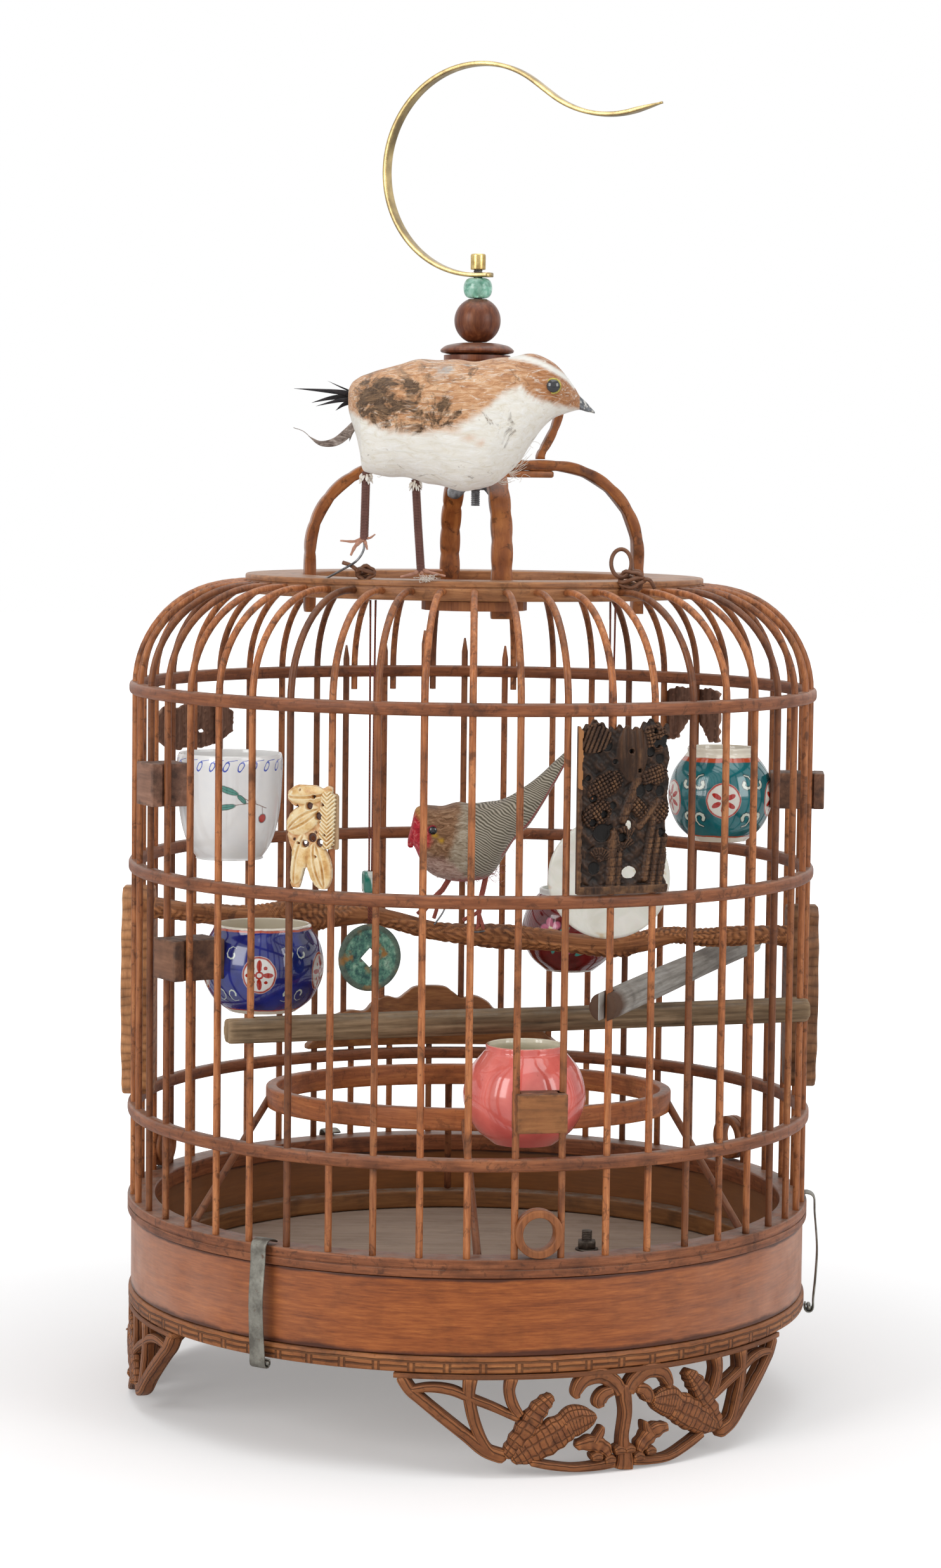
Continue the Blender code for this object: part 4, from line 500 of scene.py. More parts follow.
def lapped_hoop(low, joint, high, inner, outer, edge):
    """Profile of two strips on one another, each with rounded edges and a notch where they meet."""
    under = [(outer - joint_deep, joint - joint_half), (outer - joint_deep, joint + joint_half)]
    corners = [(inner, low), (outer, low), (outer, joint - joint_half), under[0], under[1],
               (outer, joint + joint_half), (outer, high), (inner, high)]
    return round_corners(corners, np.array([edge, edge, edge / 3, 0.0001, 0.0001, edge / 3, edge, edge]))


sill = surface("sill_hoop_strips",
               spun(lapped_hoop(sill_low, sill_joint, sill_top, sill_inner, sill_outer, 0.0009), 240),
               closed=True)
hoop_finish = bamboo("hoop_bamboo", (0.095, 0.026, 0.009), (0.225, 0.070, 0.025), (0.39, 0.140, 0.055),
                     fine=1.3, dust=0.5, rough=0.42, stain=0.55, worn=0.25, specks=0.55)
fit(sill, hoop_finish, "cage", "bamboo")


# Three thin hoops hold the ribs apart: each is drilled for every rib, sits a third of the way up, and has
# its edges rounded by a scraper. Ends are lapped and nailed where a dark dot shows.
hoop_middles = {"lower_hoop": 0.1286, "middle_hoop": 0.2352, "upper_hoop": 0.3126}
hoop_inner, hoop_outer, hoop_tall = 0.1446, 0.1502, 0.0055
for place, middle in hoop_middles.items():
    band = ring_of("bent_" + place, hoop_inner, hoop_outer, middle - hoop_tall / 2, middle + hoop_tall / 2,
                   0.0020, 240)
    fit(band, hoop_finish, "cage", "bamboo")


# Ribs: forty-eight round rods split from one cane, scraped and heated to bend over the shoulder into the
# top ring. Each has its own tone, and the five that the door replaces stop above and below it.
rib_line, rib_radius, shoulder_start, shoulder_radius = 0.1475, 0.0015, 0.3140, 0.0440
rib_foot, rib_entry, rib_count, rib_sides = 0.0856, 0.0953, 48, 12
door_cells, stub_top, stub_low = (23, 24, 25, 26, 27), 0.1325, 0.3040


def shoulder(foot, top=None):
    """Side line of a rib as (radius, height): upright, then a quarter circle in to the top ring."""
    if top:
        return np.stack([np.full(9, rib_line), np.linspace(foot, top, 9)], -1)
    rise = np.linspace(foot, shoulder_start, 25)
    turn = np.linspace(0, np.pi / 2, 17)[1:]
    line = [np.stack([np.full(25, rib_line), rise], -1),
            np.stack([rib_line - shoulder_radius * (1 - np.cos(turn)),
                      shoulder_start + shoulder_radius * np.sin(turn)], -1)]
    return np.concatenate(line + [np.array([[rib_entry, shoulder_start + shoulder_radius]])])


def tube(points, radius, sides=12, up=(0, 0, 1), flat=1.0, turn=0.0):
    """Grid of rings along a path: each ring stands square to the path, its first axis as near up as it
    can be. The radius may change along the path, and flat squeezes the ring across that axis."""
    points = np.asarray(points, float)
    along = np.gradient(points, axis=0)
    along /= np.linalg.norm(along, axis=1)[:, None]
    up = np.broadcast_to(np.asarray(up, float), points.shape)
    first = up - (up * along).sum(1)[:, None] * along
    first /= np.linalg.norm(first, axis=1)[:, None]
    second = np.cross(along, first)
    angle = np.arange(sides) / sides * 2 * np.pi + turn
    size = np.broadcast_to(np.asarray(radius, float), len(points))[:, None, None]
    ring = np.cos(angle)[None, :, None] * first[:, None] + flat * np.sin(angle)[None, :, None] * second[
        :, None]
    return points[:, None] + size * ring


def bundle(name, grids, tones=None):
    """One mesh of many capped tubes, each with UVs and an own tone."""
    points, faces, uv, tone, start = [], [], [], [], 0
    for place, grid in enumerate(grids):
        rows, columns = grid.shape[:2]
        index = start + np.arange(rows * columns).reshape(rows, columns)
        beside, over = np.roll(index, -1, 1), np.roll(index, -1, 0)
        quads = np.stack([index, beside, np.roll(beside, -1, 0), over], -1)[:-1].reshape(-1, 4)
        u, v = np.meshgrid(np.arange(columns) / columns, np.arange(rows) / (rows - 1))
        corner = np.array([(0, 0), (1 / columns, 0), (1 / columns, 1 / (rows - 1)), (0, 1 / (rows - 1))])
        uv.append((np.stack([u, v], -1)[:-1].reshape(-1, 1, 2) + corner).reshape(-1, 2))
        ring = np.arange(columns) / columns
        uv += [np.stack([ring, 0 * ring], -1), np.stack([ring, 0 * ring + 1], -1)]
        faces += quads.tolist() + [index[0].tolist(), index[-1].tolist()]
        points.append(grid.reshape(-1, 3))
        tone.append(np.full(rows * columns, 0 if tones is None else tones[place]))
        start += rows * columns
    return mesh_from(name, np.concatenate(points), faces, np.concatenate(uv), np.concatenate(tone))


def rib_lines(cell, line, angle_shift=0.0):
    """The side line of a rib stood at its cell, one of the forty-eight round the cage."""
    angle = np.radians(360 / rib_count * cell + angle_shift)
    return np.stack([line[:, 0] * np.sin(angle), -line[:, 0] * np.cos(angle), line[:, 1]], -1)


chance = np.random.default_rng(11)
rib_grids, rib_tones = [], []
for cell in range(rib_count):
    angle = np.radians(360 / rib_count * cell)
    side = (np.cos(angle), np.sin(angle), 0)
    spans = [shoulder(rib_foot, stub_top), shoulder(stub_low)] if cell in door_cells else [shoulder(rib_foot)]
    for span in spans:
        rib_grids.append(tube(rib_lines(cell, span), rib_radius, rib_sides, side))
        rib_tones.append(chance.uniform(0, 1) ** 1.6)
ribs = bundle("split_ribs", rib_grids, rib_tones)
rib_finish = bamboo("rib_bamboo", (0.175, 0.054, 0.019), (0.450, 0.153, 0.051), (0.70, 0.290, 0.110),
                    run="Upward", fine=1.4, dust=0.2, rough=0.36, stain=0.75, toned=True, bump=0.15,
                    specks=0.6)
fit(ribs, rib_finish, "cage", "bamboo", "upper_hoop", "middle_hoop", "lower_hoop", "sill_hoop")


# Top ring: two bent strips like the sill's, with every rib let into its edge. Two short withy knots stay
# tied round it, one with a loop.
ring_low, ring_high, ring_inner, ring_outer = 0.3542, 0.3625, 0.0753, 0.1000
ring_joint = ring_low + 0.66 * (ring_high - ring_low)
top_ring = surface("top_ring_strips",
                   spun(lapped_hoop(ring_low, ring_joint, ring_high, ring_inner, ring_outer, 0.0011), 200),
                   closed=True)
ring_finish = bamboo("ring_bamboo", (0.16, 0.057, 0.022), (0.33, 0.133, 0.05), (0.5, 0.233, 0.095), fine=1.3,
                     dust=0.45, rough=0.40, stain=0.45, worn=0.3, specks=0.4)
fit(top_ring, ring_finish, "cage", "bamboo", "top_ring")


def curve_through(points, steps):
    """Points of a smooth curve through the given ones, with steps between each two."""
    points = np.asarray(points, float)
    ends = np.concatenate([2 * points[:1] - points[1:2], points, 2 * points[-1:] - points[-2:-1]])
    a, b, c, d = ends[:-3, None], ends[1:-2, None], ends[2:-1, None], ends[3:, None]
    t = np.linspace(0, 1, steps, endpoint=False)[None, :, None]
    line = 0.5 * (2 * b + (c - a) * t + (2 * a - 5 * b + 4 * c - d) * t ** 2
                  + (3 * b - a - 3 * c + d) * t ** 3)
    return np.concatenate([line.reshape(-1, points.shape[1]), points[-1:]])


def knot(middle, size, chance, turns=4):
    """Withy wound into a knot: each turn is an ellipse tipped another way, run into the next."""
    angle = np.linspace(0, 2 * np.pi * turns, 26 * turns)
    tip = angle / 2.3 + chance
    line = np.stack([np.cos(angle), np.sin(angle) * np.cos(tip), np.sin(angle) * np.sin(tip)], -1)
    return np.asarray(middle) + line * np.asarray(size) * (1 + 0.12 * np.sin(5 * angle)[:, None])


withy_radius = 0.00085
right_knot, left_knot = np.array([0.0655, -0.0790, 0.3630]), np.array([-0.0452, -0.0862, 0.3651])
loop_angle = np.linspace(-0.45 * np.pi, 1.6 * np.pi, 34)
loop = right_knot + np.stack([-0.0045 + 0.0042 * np.cos(loop_angle), 0.001 * np.sin(loop_angle),
                              0.0072 + 0.0058 * np.sin(loop_angle)], -1)
withies = [tube(knot(right_knot, (0.0048, 0.0042, 0.0042), 0.4), withy_radius, 8),
           tube(loop, withy_radius, 8, (0, 1, 0)),
           tube(right_knot + curve_through([(0.003, 0, 0), (0.007, -0.003, 0.0005), (0.0095, -0.002, -0.003)],
                                           8), withy_radius, 8),
           tube(knot(left_knot, (0.0034, 0.0030, 0.0028), 1.1, 3), withy_radius, 8),
           tube(left_knot + curve_through([(-0.002, 0, 0), (-0.006, -0.001, 0.003), (-0.0095, 0, 0.0042)], 8),
                withy_radius, 8)]
knots = bundle("withy_knots", withies)
knot_finish = bamboo("withy_bark", (0.080, 0.030, 0.014), (0.165, 0.068, 0.033), (0.26, 0.12, 0.06),
                     run="Traced", fine=2.0, dust=0.15, rough=0.5, girth=0.005, length=0.06)
fit(knots, knot_finish, "cage", "dark_bamboo")


# Board under the top ring: one flat length of cane wide enough to carry the crown's bolt, with slots for
# the arches' ends. It keeps the solid's own form and gets a scraped face with grain along it.
board_finish = bamboo("board_bamboo", (0.158, 0.047, 0.014), (0.294, 0.098, 0.029), (0.42, 0.162, 0.052),
                      run="Upward", fine=0.8, dust=0.3, rough=0.45)
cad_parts["ring_board"].data.materials.clear()
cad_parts["ring_board"].data.materials.append(board_finish)


# Crown: two arches cross on a backing strip, and two lighter bows cross on those. All are cane bent by
# heat, with the nodes left in and the edges nicked by a knife into small waves.
crown_turn, arch_line, arch_low, arch_waist, arch_top, arch_flat = 9.0, 0.0725, 0.3460, 0.3720, 0.4105, 0.0340
arch_wide, arch_thick, backing_thick = 0.0090, 0.0050, 0.0030
bow_line, bow_bulge, bow_top, bow_top_half = 0.0285, 0.0115, 0.4529, 0.0120
bow_wide, bow_thick = 0.0070, 0.0036
bow_foot = arch_top + arch_thick / 2 + 0.0003


def rounded_bar(points, side, half_wide, half_thick, square=0.30, sides=28):
    """Grid of a bar bent along a path. Its section is a rounded rectangle: cosine and sine of the angle,
    each raised to a small power, times the half width along side and the half thickness across it."""
    points = np.asarray(points, float)
    along = np.gradient(points, axis=0)
    along /= np.linalg.norm(along, axis=1)[:, None]
    first = np.broadcast_to(np.asarray(side, float), points.shape)
    second = np.cross(along, first)
    angle = np.arange(sides) / sides * 2 * np.pi
    wide = np.sign(np.cos(angle)) * np.abs(np.cos(angle)) ** square
    thick = np.sign(np.sin(angle)) * np.abs(np.sin(angle)) ** square
    half_wide = np.broadcast_to(half_wide, len(points))[:, None, None]
    half_thick = np.broadcast_to(half_thick, len(points))[:, None, None]
    return (points[:, None] + half_wide * wide[None, :, None] * first[:, None]
            + half_thick * thick[None, :, None] * second[:, None])


def along_path(points, step):
    """The same path at even steps, and the distance along it."""
    points = np.asarray(points, float)
    run = np.concatenate([[0], np.cumsum(np.linalg.norm(np.diff(points, axis=0), axis=1))])
    even = np.linspace(0, run[-1], max(4, int(run[-1] / step)))
    return np.stack([np.interp(even, run, points[:, axis]) for axis in range(points.shape[1])], -1), even


def upright(points, turn):
    """A path of (x, z) stood in the plane through Z that is turned by so many degrees."""
    angle = np.radians(turn)
    return np.stack([points[:, 0] * np.cos(angle), points[:, 0] * np.sin(angle), points[:, 1]], -1)


def nicked(run, pitch, depth, phase=0.0):
    """1 less a small nick between each two waves along the edge."""
    return 1 - depth * (1 - np.abs(np.sin(np.pi * run / pitch + phase)) ** 0.5)


def arch_side():
    """Side line of an arch as (x, z): upright feet, quarter ovals in to a flat top."""
    turn = np.linspace(0, np.pi / 2, 24)
    curve = np.stack([-arch_line + (arch_line - arch_flat) * (1 - np.cos(turn)),
                      arch_waist + (arch_top - arch_waist) * np.sin(turn)], -1)
    half = np.concatenate([[(-arch_line, arch_low)], curve])
    return np.concatenate([half, half[::-1] * (-1, 1)])


def bow_side():
    """Side line of a bow: it swells by the sine of the way up, closes in by its square, and rounds over."""
    share = np.linspace(0, 1, 30)
    x = bow_line + (bow_top_half - bow_line) * share ** 2 + bow_bulge * np.sin(np.pi * share)
    foot = bow_foot + 0.0020
    half = np.concatenate([[(-bow_line, bow_foot)],
                           np.stack([-x, foot + (bow_top - foot) * np.sin(np.pi / 2 * share)], -1)])
    return np.concatenate([half, half[::-1] * (-1, 1)])


crown_finish = bamboo("crown_bamboo", (0.112, 0.030, 0.009), (0.265, 0.079, 0.020), (0.44, 0.160, 0.043),
                      run="Traced", fine=1.0, dust=0.25, rough=0.32, stain=0.45, worn=0.5, girth=0.026,
                      length=0.26, specks=0.65)
tree, shader, colour = base_colour(crown_finish)
rings = noise(tree, spot(tree), 70.0, 3.0, 0.6)
burnt = past(tree, rings, 0.56, 6.0)
wire(shader, Base_Color=mix(tree, times(tree, burnt, 0.7), colour, (0.055, 0.020, 0.009)))
for index, (name, turn) in enumerate((("side_arch", crown_turn), ("front_arch", crown_turn + 90))):
    line, run = along_path(arch_side(), 0.0016)
    across = (-np.sin(np.radians(turn)), np.cos(np.radians(turn)), 0)
    lift = 0.00008 * index
    bar = rounded_bar(upright(line, turn) + (0, 0, lift), across,
                      arch_wide / 2 * nicked(run, 0.0115, 0.14, 0.4),
                      arch_thick / 2 * nicked(run, 0.0130, 0.20, index))
    backing_z = arch_top - arch_thick / 2 - backing_thick / 2 + 0.0002 + lift
    ends = np.array([-1, -0.985, -0.97, 0.97, 0.985, 1]) * arch_flat
    strip = rounded_bar(upright(np.stack([ends, np.full(6, backing_z)], -1), turn), across,
                        arch_wide / 2 - 0.0004 - np.array([0.0008, 0.0002, 0, 0, 0.0002, 0.0008]),
                        backing_thick / 2 - np.array([0.0005, 0.0001, 0, 0, 0.0001, 0.0005]))
    arch = bundle(name + "_cane", [bar, strip])
    fit(arch, crown_finish, "cage", "bamboo", name)
for index, (name, turn) in enumerate((("side_bow", crown_turn), ("front_bow", crown_turn + 90))):
    line, run = along_path(bow_side(), 0.0014)
    across = (-np.sin(np.radians(turn)), np.cos(np.radians(turn)), 0)
    bar = rounded_bar(upright(line, turn) + (0, 0, 0.00008 * index), across,
                      bow_wide / 2 * nicked(run, 0.0095, 0.16, 0.4),
                      bow_thick / 2 * nicked(run, 0.0105, 0.26, index))
    bow = bundle(name + "_cane", [bar])
    fit(bow, crown_finish, "cage", "bamboo", name)


# Stack on the bolt: a dark square-edged plate, a turned cap, a turned ball and a green glass bead whose
# holes the bolt fills. The wood is darkened with oil and shines on its shoulders.
def turned_piece(name, profile, radius, finish, slot, *nodes, steps=64, body="cage"):
    """A closed profile spun on the bolt's axis, with its finish, body and nodes; its slot is not used."""
    piece = surface(name, spun(round_corners(profile, radius), steps), closed=True)
    return fit(piece, finish, body, slot, *nodes)


bolt_hole = 0.0021
stack_finish = bamboo("turned_red_wood", (0.061, 0.014, 0.006), (0.16, 0.043, 0.015), (0.286, 0.095, 0.035),
                      run="Upward", fine=0.9, dust=0.35, rough=0.30, stain=0.4)
turned_piece("cap_plate_disc",
             [(bolt_hole, 0.4550), (0.0140, 0.4550), (0.0145, 0.4556), (0.0145, 0.4580), (bolt_hole, 0.4580)],
             0.0003, stack_finish, "dark_bamboo", "cap_plate")
cap = [(bolt_hole, 0.4583), (0.0125, 0.4583), (0.01585, 0.4592), (0.01615, 0.4602), (0.0140, 0.4621),
       (0.0085, 0.4633), (0.0048, 0.4634), (bolt_hole, 0.4634)]
turned_piece("cap_disc_turned", cap, np.array([0.0001, 0.002, 0.0006, 0.0006, 0.0016, 0.002, 0.0012, 0.0001]),
             stack_finish, "red_wood", "cap_disc")
ball_low, ball_high, ball_middle, ball_radius = 0.4637, 0.4823, 0.4730, 0.0101
rise = np.linspace(ball_low, ball_high, 26)
ball_line = [(bolt_hole, ball_low)] + [
    (math.sqrt(ball_radius ** 2 - (z - ball_middle) ** 2), z) for z in rise]
ball = surface("turned_ball", spun(ball_line + [(bolt_hole, ball_high)], 64), closed=True)
fit(ball, stack_finish, "cage", "red_wood", "wood_ball")


def glass(name, colour, rough=0.06, clear=0.0, ior=1.5, coat=0.0):
    """Clear or opaque glass, or a glaze, of one colour."""
    finish, _, shader = new_finish(name)
    wire(shader, Base_Color=colour, Roughness=rough, Transmission_Weight=clear, IOR=ior, Coat_Weight=coat,
         Coat_Roughness=0.05)
    return finish


def bead_profile(radius, low, high, hole, dimple=0.0006):
    """Half oval with a dimpled hole at each end."""
    turn = np.linspace(-np.pi / 2, np.pi / 2, 24)
    middle, half = (low + high) / 2, (high - low) / 2
    r = hole + (radius - hole) * np.cos(turn) ** 0.62
    z = middle + half * np.sin(turn)
    z[0] += dimple
    z[-1] -= dimple
    return list(zip(r, z))


green = glass("green_glass", (0.30, 0.66, 0.50), 0.08, 0.55, 1.45, 0.5)
tree, shader = opened(green)
swirl = noise(tree, spot(tree), 260.0, 3.0, 0.5, None, 1.5)
milky = ramp(tree, swirl, (0.35, (0.16, 0.46, 0.33)), (0.55, (0.42, 0.78, 0.62)), (0.72, (0.66, 0.90, 0.78)))
wire(shader, Base_Color=milky)
bead = surface("green_bead", spun(bead_profile(0.0063, 0.4826, 0.4914, bolt_hole), 64), closed=True)
fit(bead, green, "cage", "green_glass", "glass_bead")


# Bolt and wing nut: the threaded brass bolt runs down through the stack and the crossed strips, and a
# cast wing nut of dull grey iron draws it tight from below.
bolt_radius, bolt_low, bolt_neck, head_radius, head_high = 0.0020, 0.3926, 0.4950, 0.0033, 0.5018
thread_pitch = 0.0008


def metal(name, light, dark, rough, spots=120.0, stain=0.5):
    """Bare metal: lighter and darker patches, duller where dark."""
    finish, tree, shader = new_finish(name)
    here = spot(tree)
    worn = noise(tree, here, spots, 6.0, 0.65)
    wire(shader, Base_Color=ramp(tree, worn, (0.38, dark), (0.62, light)),
         Roughness=calc(tree, "MULTIPLY_ADD", worn, -stain * 0.6, rough + stain * 0.3), Metallic=1.0)
    fine = noise(tree, here, 900.0, 3.0, 0.6)
    wire(shader, Normal=bumped(tree, fine, 0.12, 0.0003))
    return finish


brass = metal("old_brass", (0.78, 0.60, 0.26), (0.40, 0.27, 0.10), 0.26, 160.0, 0.4)
iron = metal("grey_iron", (0.33, 0.34, 0.35), (0.12, 0.12, 0.125), 0.48, 200.0, 0.4)


def threaded(radius, low, high, pitch, depth, sides=24):
    """Grid of a bolt whose radius goes in and out once in each pitch, a turn behind all round."""
    rise = np.linspace(low, high, int((high - low) / pitch * 7))
    angle = np.arange(sides) / sides * 2 * np.pi
    phase = 2 * np.pi * (rise[:, None] / pitch - angle[None] / (2 * np.pi))
    r = radius - depth * (0.5 - 0.5 * np.cos(phase)) ** 1.4
    return np.stack([r * np.sin(angle), -r * np.cos(angle), np.broadcast_to(rise[:, None], r.shape)], -1)


bolt = bundle("threaded_bolt", [threaded(bolt_radius, bolt_low, bolt_neck, thread_pitch, 0.00035)])
fit(bolt, iron, "cage", "brass", "hook_bolt")
head = surface("bolt_head", spun(round_corners(
    [(0.0, bolt_neck), (head_radius, bolt_neck), (head_radius, head_high), (0.0, head_high)],
    [0, 0.0004, 0.0008, 0]), 48), closed=True)
fit(head, brass, "cage", "brass")
slot_half = 0.0005
slot_bar = rounded_bar([(-head_radius, 0, head_high), (0, 0, head_high), (head_radius, 0, head_high)],
                       (0, 1, 0), slot_half, 0.0009, 0.2, 16)
slot_tool = bundle("bolt_slot_tool", [slot_bar * (1.2, 1, 1)])
slotting = head.modifiers.new("slot", "BOOLEAN")
slotting.object, slotting.operation, slotting.solver = slot_tool, "DIFFERENCE", "EXACT"
slot_tool.hide_render, slot_tool.display_type = True, "WIRE"


def wing(side):
    """One wing: a rounded leaf that leaves the hub level, leans down and widens to a round end."""
    share = np.linspace(0, 1, 18)
    line = np.stack([side * (0.0030 + 0.0090 * share), 0 * share, 0.4018 - 0.0050 * share ** 1.3], -1)
    tall = 0.0017 + 0.0017 * np.sin(np.pi * np.minimum(share * 0.75, 1)) ** 2
    tall = tall * np.sqrt(np.maximum(1 - np.maximum(share - 0.72, 0) ** 2 / 0.28 ** 2, 0.02))
    return rounded_bar(line, (0, 1, 0), 0.0010 - 0.0003 * share, tall, 0.8, 20)


hub = spun(round_corners([(bolt_hole + 0.0001, 0.3995), (0.0040, 0.3995), (0.0050, 0.4045),
                          (bolt_hole + 0.0001, 0.4045)], 0.0006), 40)
hub_piece = surface("nut_hub", hub, closed=True)
wings = bundle("nut_wings", [wing(-1), wing(1)])
fit(hub_piece, iron, "wing_nut_body", "steel", "wing_nut")
fit(wings, iron, "wing_nut_body", "steel")


# Hook: one flat bar of brass bent over a former, with a short foot under the bolt's head, a big open bend
# and a tail that turns back up. The edges are filed round and its face is scratched along.
hook_turn, hook_wide, hook_thick, hook_radius, hook_bend = -27.0, 0.0060, 0.0020, 0.0454, 216.0
hook_foot, hook_straight, tail_radius, tail_bend, hook_tip = 0.0060, 0.0100, 0.0480, 49.0, 0.0130
hook_start = 0.4927


def hook_line():
    """Foot, then an arc that turns right, a straight, an arc that turns left, and a straight tip."""
    heading, x, z = math.pi, 0.0, hook_start
    line = [(hook_foot, z), (hook_foot / 2, z), (x, z)]
    for length, bend in ((hook_radius * math.radians(hook_bend), hook_bend), (hook_straight, 0.0),
                         (tail_radius * math.radians(tail_bend), -tail_bend), (hook_tip, 0.0)):
        steps = max(6, int(length / 0.0016))
        for _ in range(steps):
            heading -= math.radians(bend) / steps / 2
            x, z = x + length / steps * math.cos(heading), z + length / steps * math.sin(heading)
            heading -= math.radians(bend) / steps / 2
            line.append((x, z))
    return np.array(line)


line, run = along_path(hook_line(), 0.0012)
left = run[-1] - run
hook_side = (-np.sin(np.radians(hook_turn)), np.cos(np.radians(hook_turn)), 0)
narrow = np.clip(left / 0.012, 0.0, 1.0) ** 0.5
hook_bar = rounded_bar(upright(line, hook_turn), hook_side,
                       hook_wide / 2 * np.maximum(0.30, narrow) * (1 - 0.12 * np.clip(run / 0.25, 0, 1)),
                       hook_thick / 2 * np.maximum(0.45, narrow), 0.35)
hook_piece = bundle("brass_hook", [hook_bar])
gold = metal("hook_brass", (0.60, 0.45, 0.20), (0.30, 0.22, 0.11), 0.30, 90.0, 0.35)
fit(hook_piece, gold, "hook_body", "brass", "hook")


# Sliding door: a low carved board of red wood with cloud heads along its top, hung on five long bars that
# run up through two hoops. Grooves at its ends ride the two ribs beside it.
door_heading, door_shift, door_half_span, door_low, door_tall = -172.5, 1.6, 24.0, 0.1328, 0.0282
door_inner, door_outer, bar_root, bar_top, bar_step = 0.14505, 0.14995, 0.0080, 0.3250, 0.0035
door_shares = [(-1.0, 0.08), (-0.90, 0.26), (-0.79, 0.50), (-0.65, 0.62), (-0.52, 0.60), (-0.45, 0.74),
               (-0.35, 0.84), (-0.25, 0.80), (-0.18, 0.90), (-0.10, 1.0), (0.10, 1.0), (0.18, 0.90),
               (0.25, 0.80), (0.35, 0.84), (0.45, 0.74), (0.52, 0.60), (0.65, 0.62), (0.79, 0.50),
               (0.90, 0.26), (1.0, 0.08)]


def bent_plate(angles, lows, highs, inner, outer, edge=0.0008, lift=None):
    """Grid of a board bent round the cage, station by station: each is a rounded rectangle between the two
    radii and the two heights. If lift is given, seven more points stand up the outer face; lift is never
    called."""
    rows = []
    for angle, low, high in zip(np.radians(angles), lows, highs):
        reach = min(edge, (high - low) * 0.3, (outer - inner) * 0.3)
        corners = [(inner, low), (outer, low)]
        corners += [(outer, low + (high - low) * step / 8) for step in range(1, 8)] if lift else []
        corners += [(outer, high), (inner, high)]
        loop = round_corners(corners, reach * np.array([1] + [1] + [0.02] * (len(corners) - 4) + [1] + [1]),
                             3)
        rows.append(np.stack([loop[:, 0] * np.sin(angle), -loop[:, 0] * np.cos(angle), loop[:, 1]], -1))
    return np.array(rows)


share, rise = curve_through(door_shares, 5).T
share = np.maximum.accumulate(share + np.arange(len(share)) * 1e-6)
board = bent_plate(door_heading + share * door_half_span, np.full(len(share), door_low),
                   door_low + rise * door_tall, door_inner, door_outer)
bars = []
for index, cell in enumerate(door_cells):
    top = bar_top + bar_step * min(index, 4 - index)
    line = np.stack([np.full(30, rib_line), np.linspace(door_low + bar_root, top, 30)], -1)
    angle = np.radians(360 / rib_count * cell + door_shift)
    bars.append(tube(rib_lines(cell, line, door_shift),
                     rib_radius * np.minimum(1, (top - line[:, 1] + 0.0004) / 0.0012), 12,
                     (np.cos(angle), np.sin(angle), 0)))
door_board = bundle("cloud_board", [board])
door_bars = bundle("door_bars", bars, [0.3, 0.7, 0.2, 0.5, 0.8])
board_red = bamboo("door_red_wood", (0.110, 0.038, 0.013), (0.26, 0.098, 0.032), (0.40, 0.175, 0.060),
                   run="Across", fine=1.1, dust=0.3, rough=0.36, stain=0.5, worn=0.3)
tree, shader, colour = base_colour(board_red)
bend = calc(tree, "SINE", times(tree, height_in(tree, door_low, door_low + door_tall), 9.0))
scroll = calc(tree, "ABSOLUTE", calc(tree, "SINE", calc(tree, "MULTIPLY_ADD", uv_of(tree)[1], 26.0, bend)))
x, y, _ = xyz_of(tree)
plain_inside = calc(tree, "LESS_THAN", reach_of(tree, x, y), (door_inner + door_outer) / 2)
carve(tree, colour, shader, most(tree, times(tree, scroll, 4.0, clamp=True), plain_inside), 0.0007, 0.65, 0.8)
fit(door_board, board_red, "door_body", "red_wood", "sliding_door")
fit(door_bars, rib_finish, "door_body", "bamboo")


# Stage ring: a hoop that stands inside the cage on four raking struts, for the bird to sing on. It leans a
# little to the back, as in the photograph, and its top is worn.
stage_radius, stage_thick, stage_tall, stage_middle, stage_tilt = 0.0895, 0.0050, 0.0095, 0.1323, 2.9
strut_radius, strut_foot, strut_foot_height = 0.00175, 0.13565, 0.08645
strut_places = [(-82.5, -59.5, strut_foot, strut_foot_height), (82.5, 59.5, strut_foot, strut_foot_height),
                (-1.0, 2.0, strut_foot, strut_foot_height), (-174.0, -176.0, 0.1350, 0.06575)]


def leaned(grid):
    """The stage's own frame to the cage's: turned about X, then raised."""
    turn = np.array(Matrix.Rotation(math.radians(-stage_tilt), 3, "X"))
    return grid @ turn.T + (0, 0, stage_middle)


stage_corners = [(stage_radius - stage_thick, -stage_tall / 2), (stage_radius, -stage_tall / 2),
                 (stage_radius, stage_tall / 2), (stage_radius - stage_thick, stage_tall / 2)]
stage = surface("stage_hoop", leaned(spun(round_corners(stage_corners, 0.0014), 160)), closed=True)
stage_finish = bamboo("stage_bamboo", (0.192, 0.049, 0.015), (0.384, 0.111, 0.032), (0.608, 0.215, 0.064),
                      fine=1.2, dust=0.55, rough=0.42, stain=0.55, worn=0.3, specks=0.4)
fit(stage, stage_finish, "cage", "bamboo", "stage_ring")
struts = []
for start, end, reach, height in strut_places:
    outward = np.array([np.sin(np.radians(start)), -np.cos(np.radians(start)), 0])
    top = leaned((stage_radius - strut_radius) * outward)
    foot = np.array([reach * np.sin(np.radians(end)), -reach * np.cos(np.radians(end)), height])
    share = np.linspace(0, 1, 16)[:, None]
    struts.append(tube(top + (foot - top) * share, strut_radius * (1 - 0.10 * np.sin(np.pi * share[:, 0])),
                       12))
strut_finish = bamboo("strut_bamboo", (0.121, 0.036, 0.014), (0.242, 0.084, 0.033), (0.374, 0.152, 0.066),
                      run="Traced", dust=0.3, girth=0.011, length=0.07, specks=0.6)
fit(bundle("stage_struts", struts), strut_finish, "cage", "bamboo")


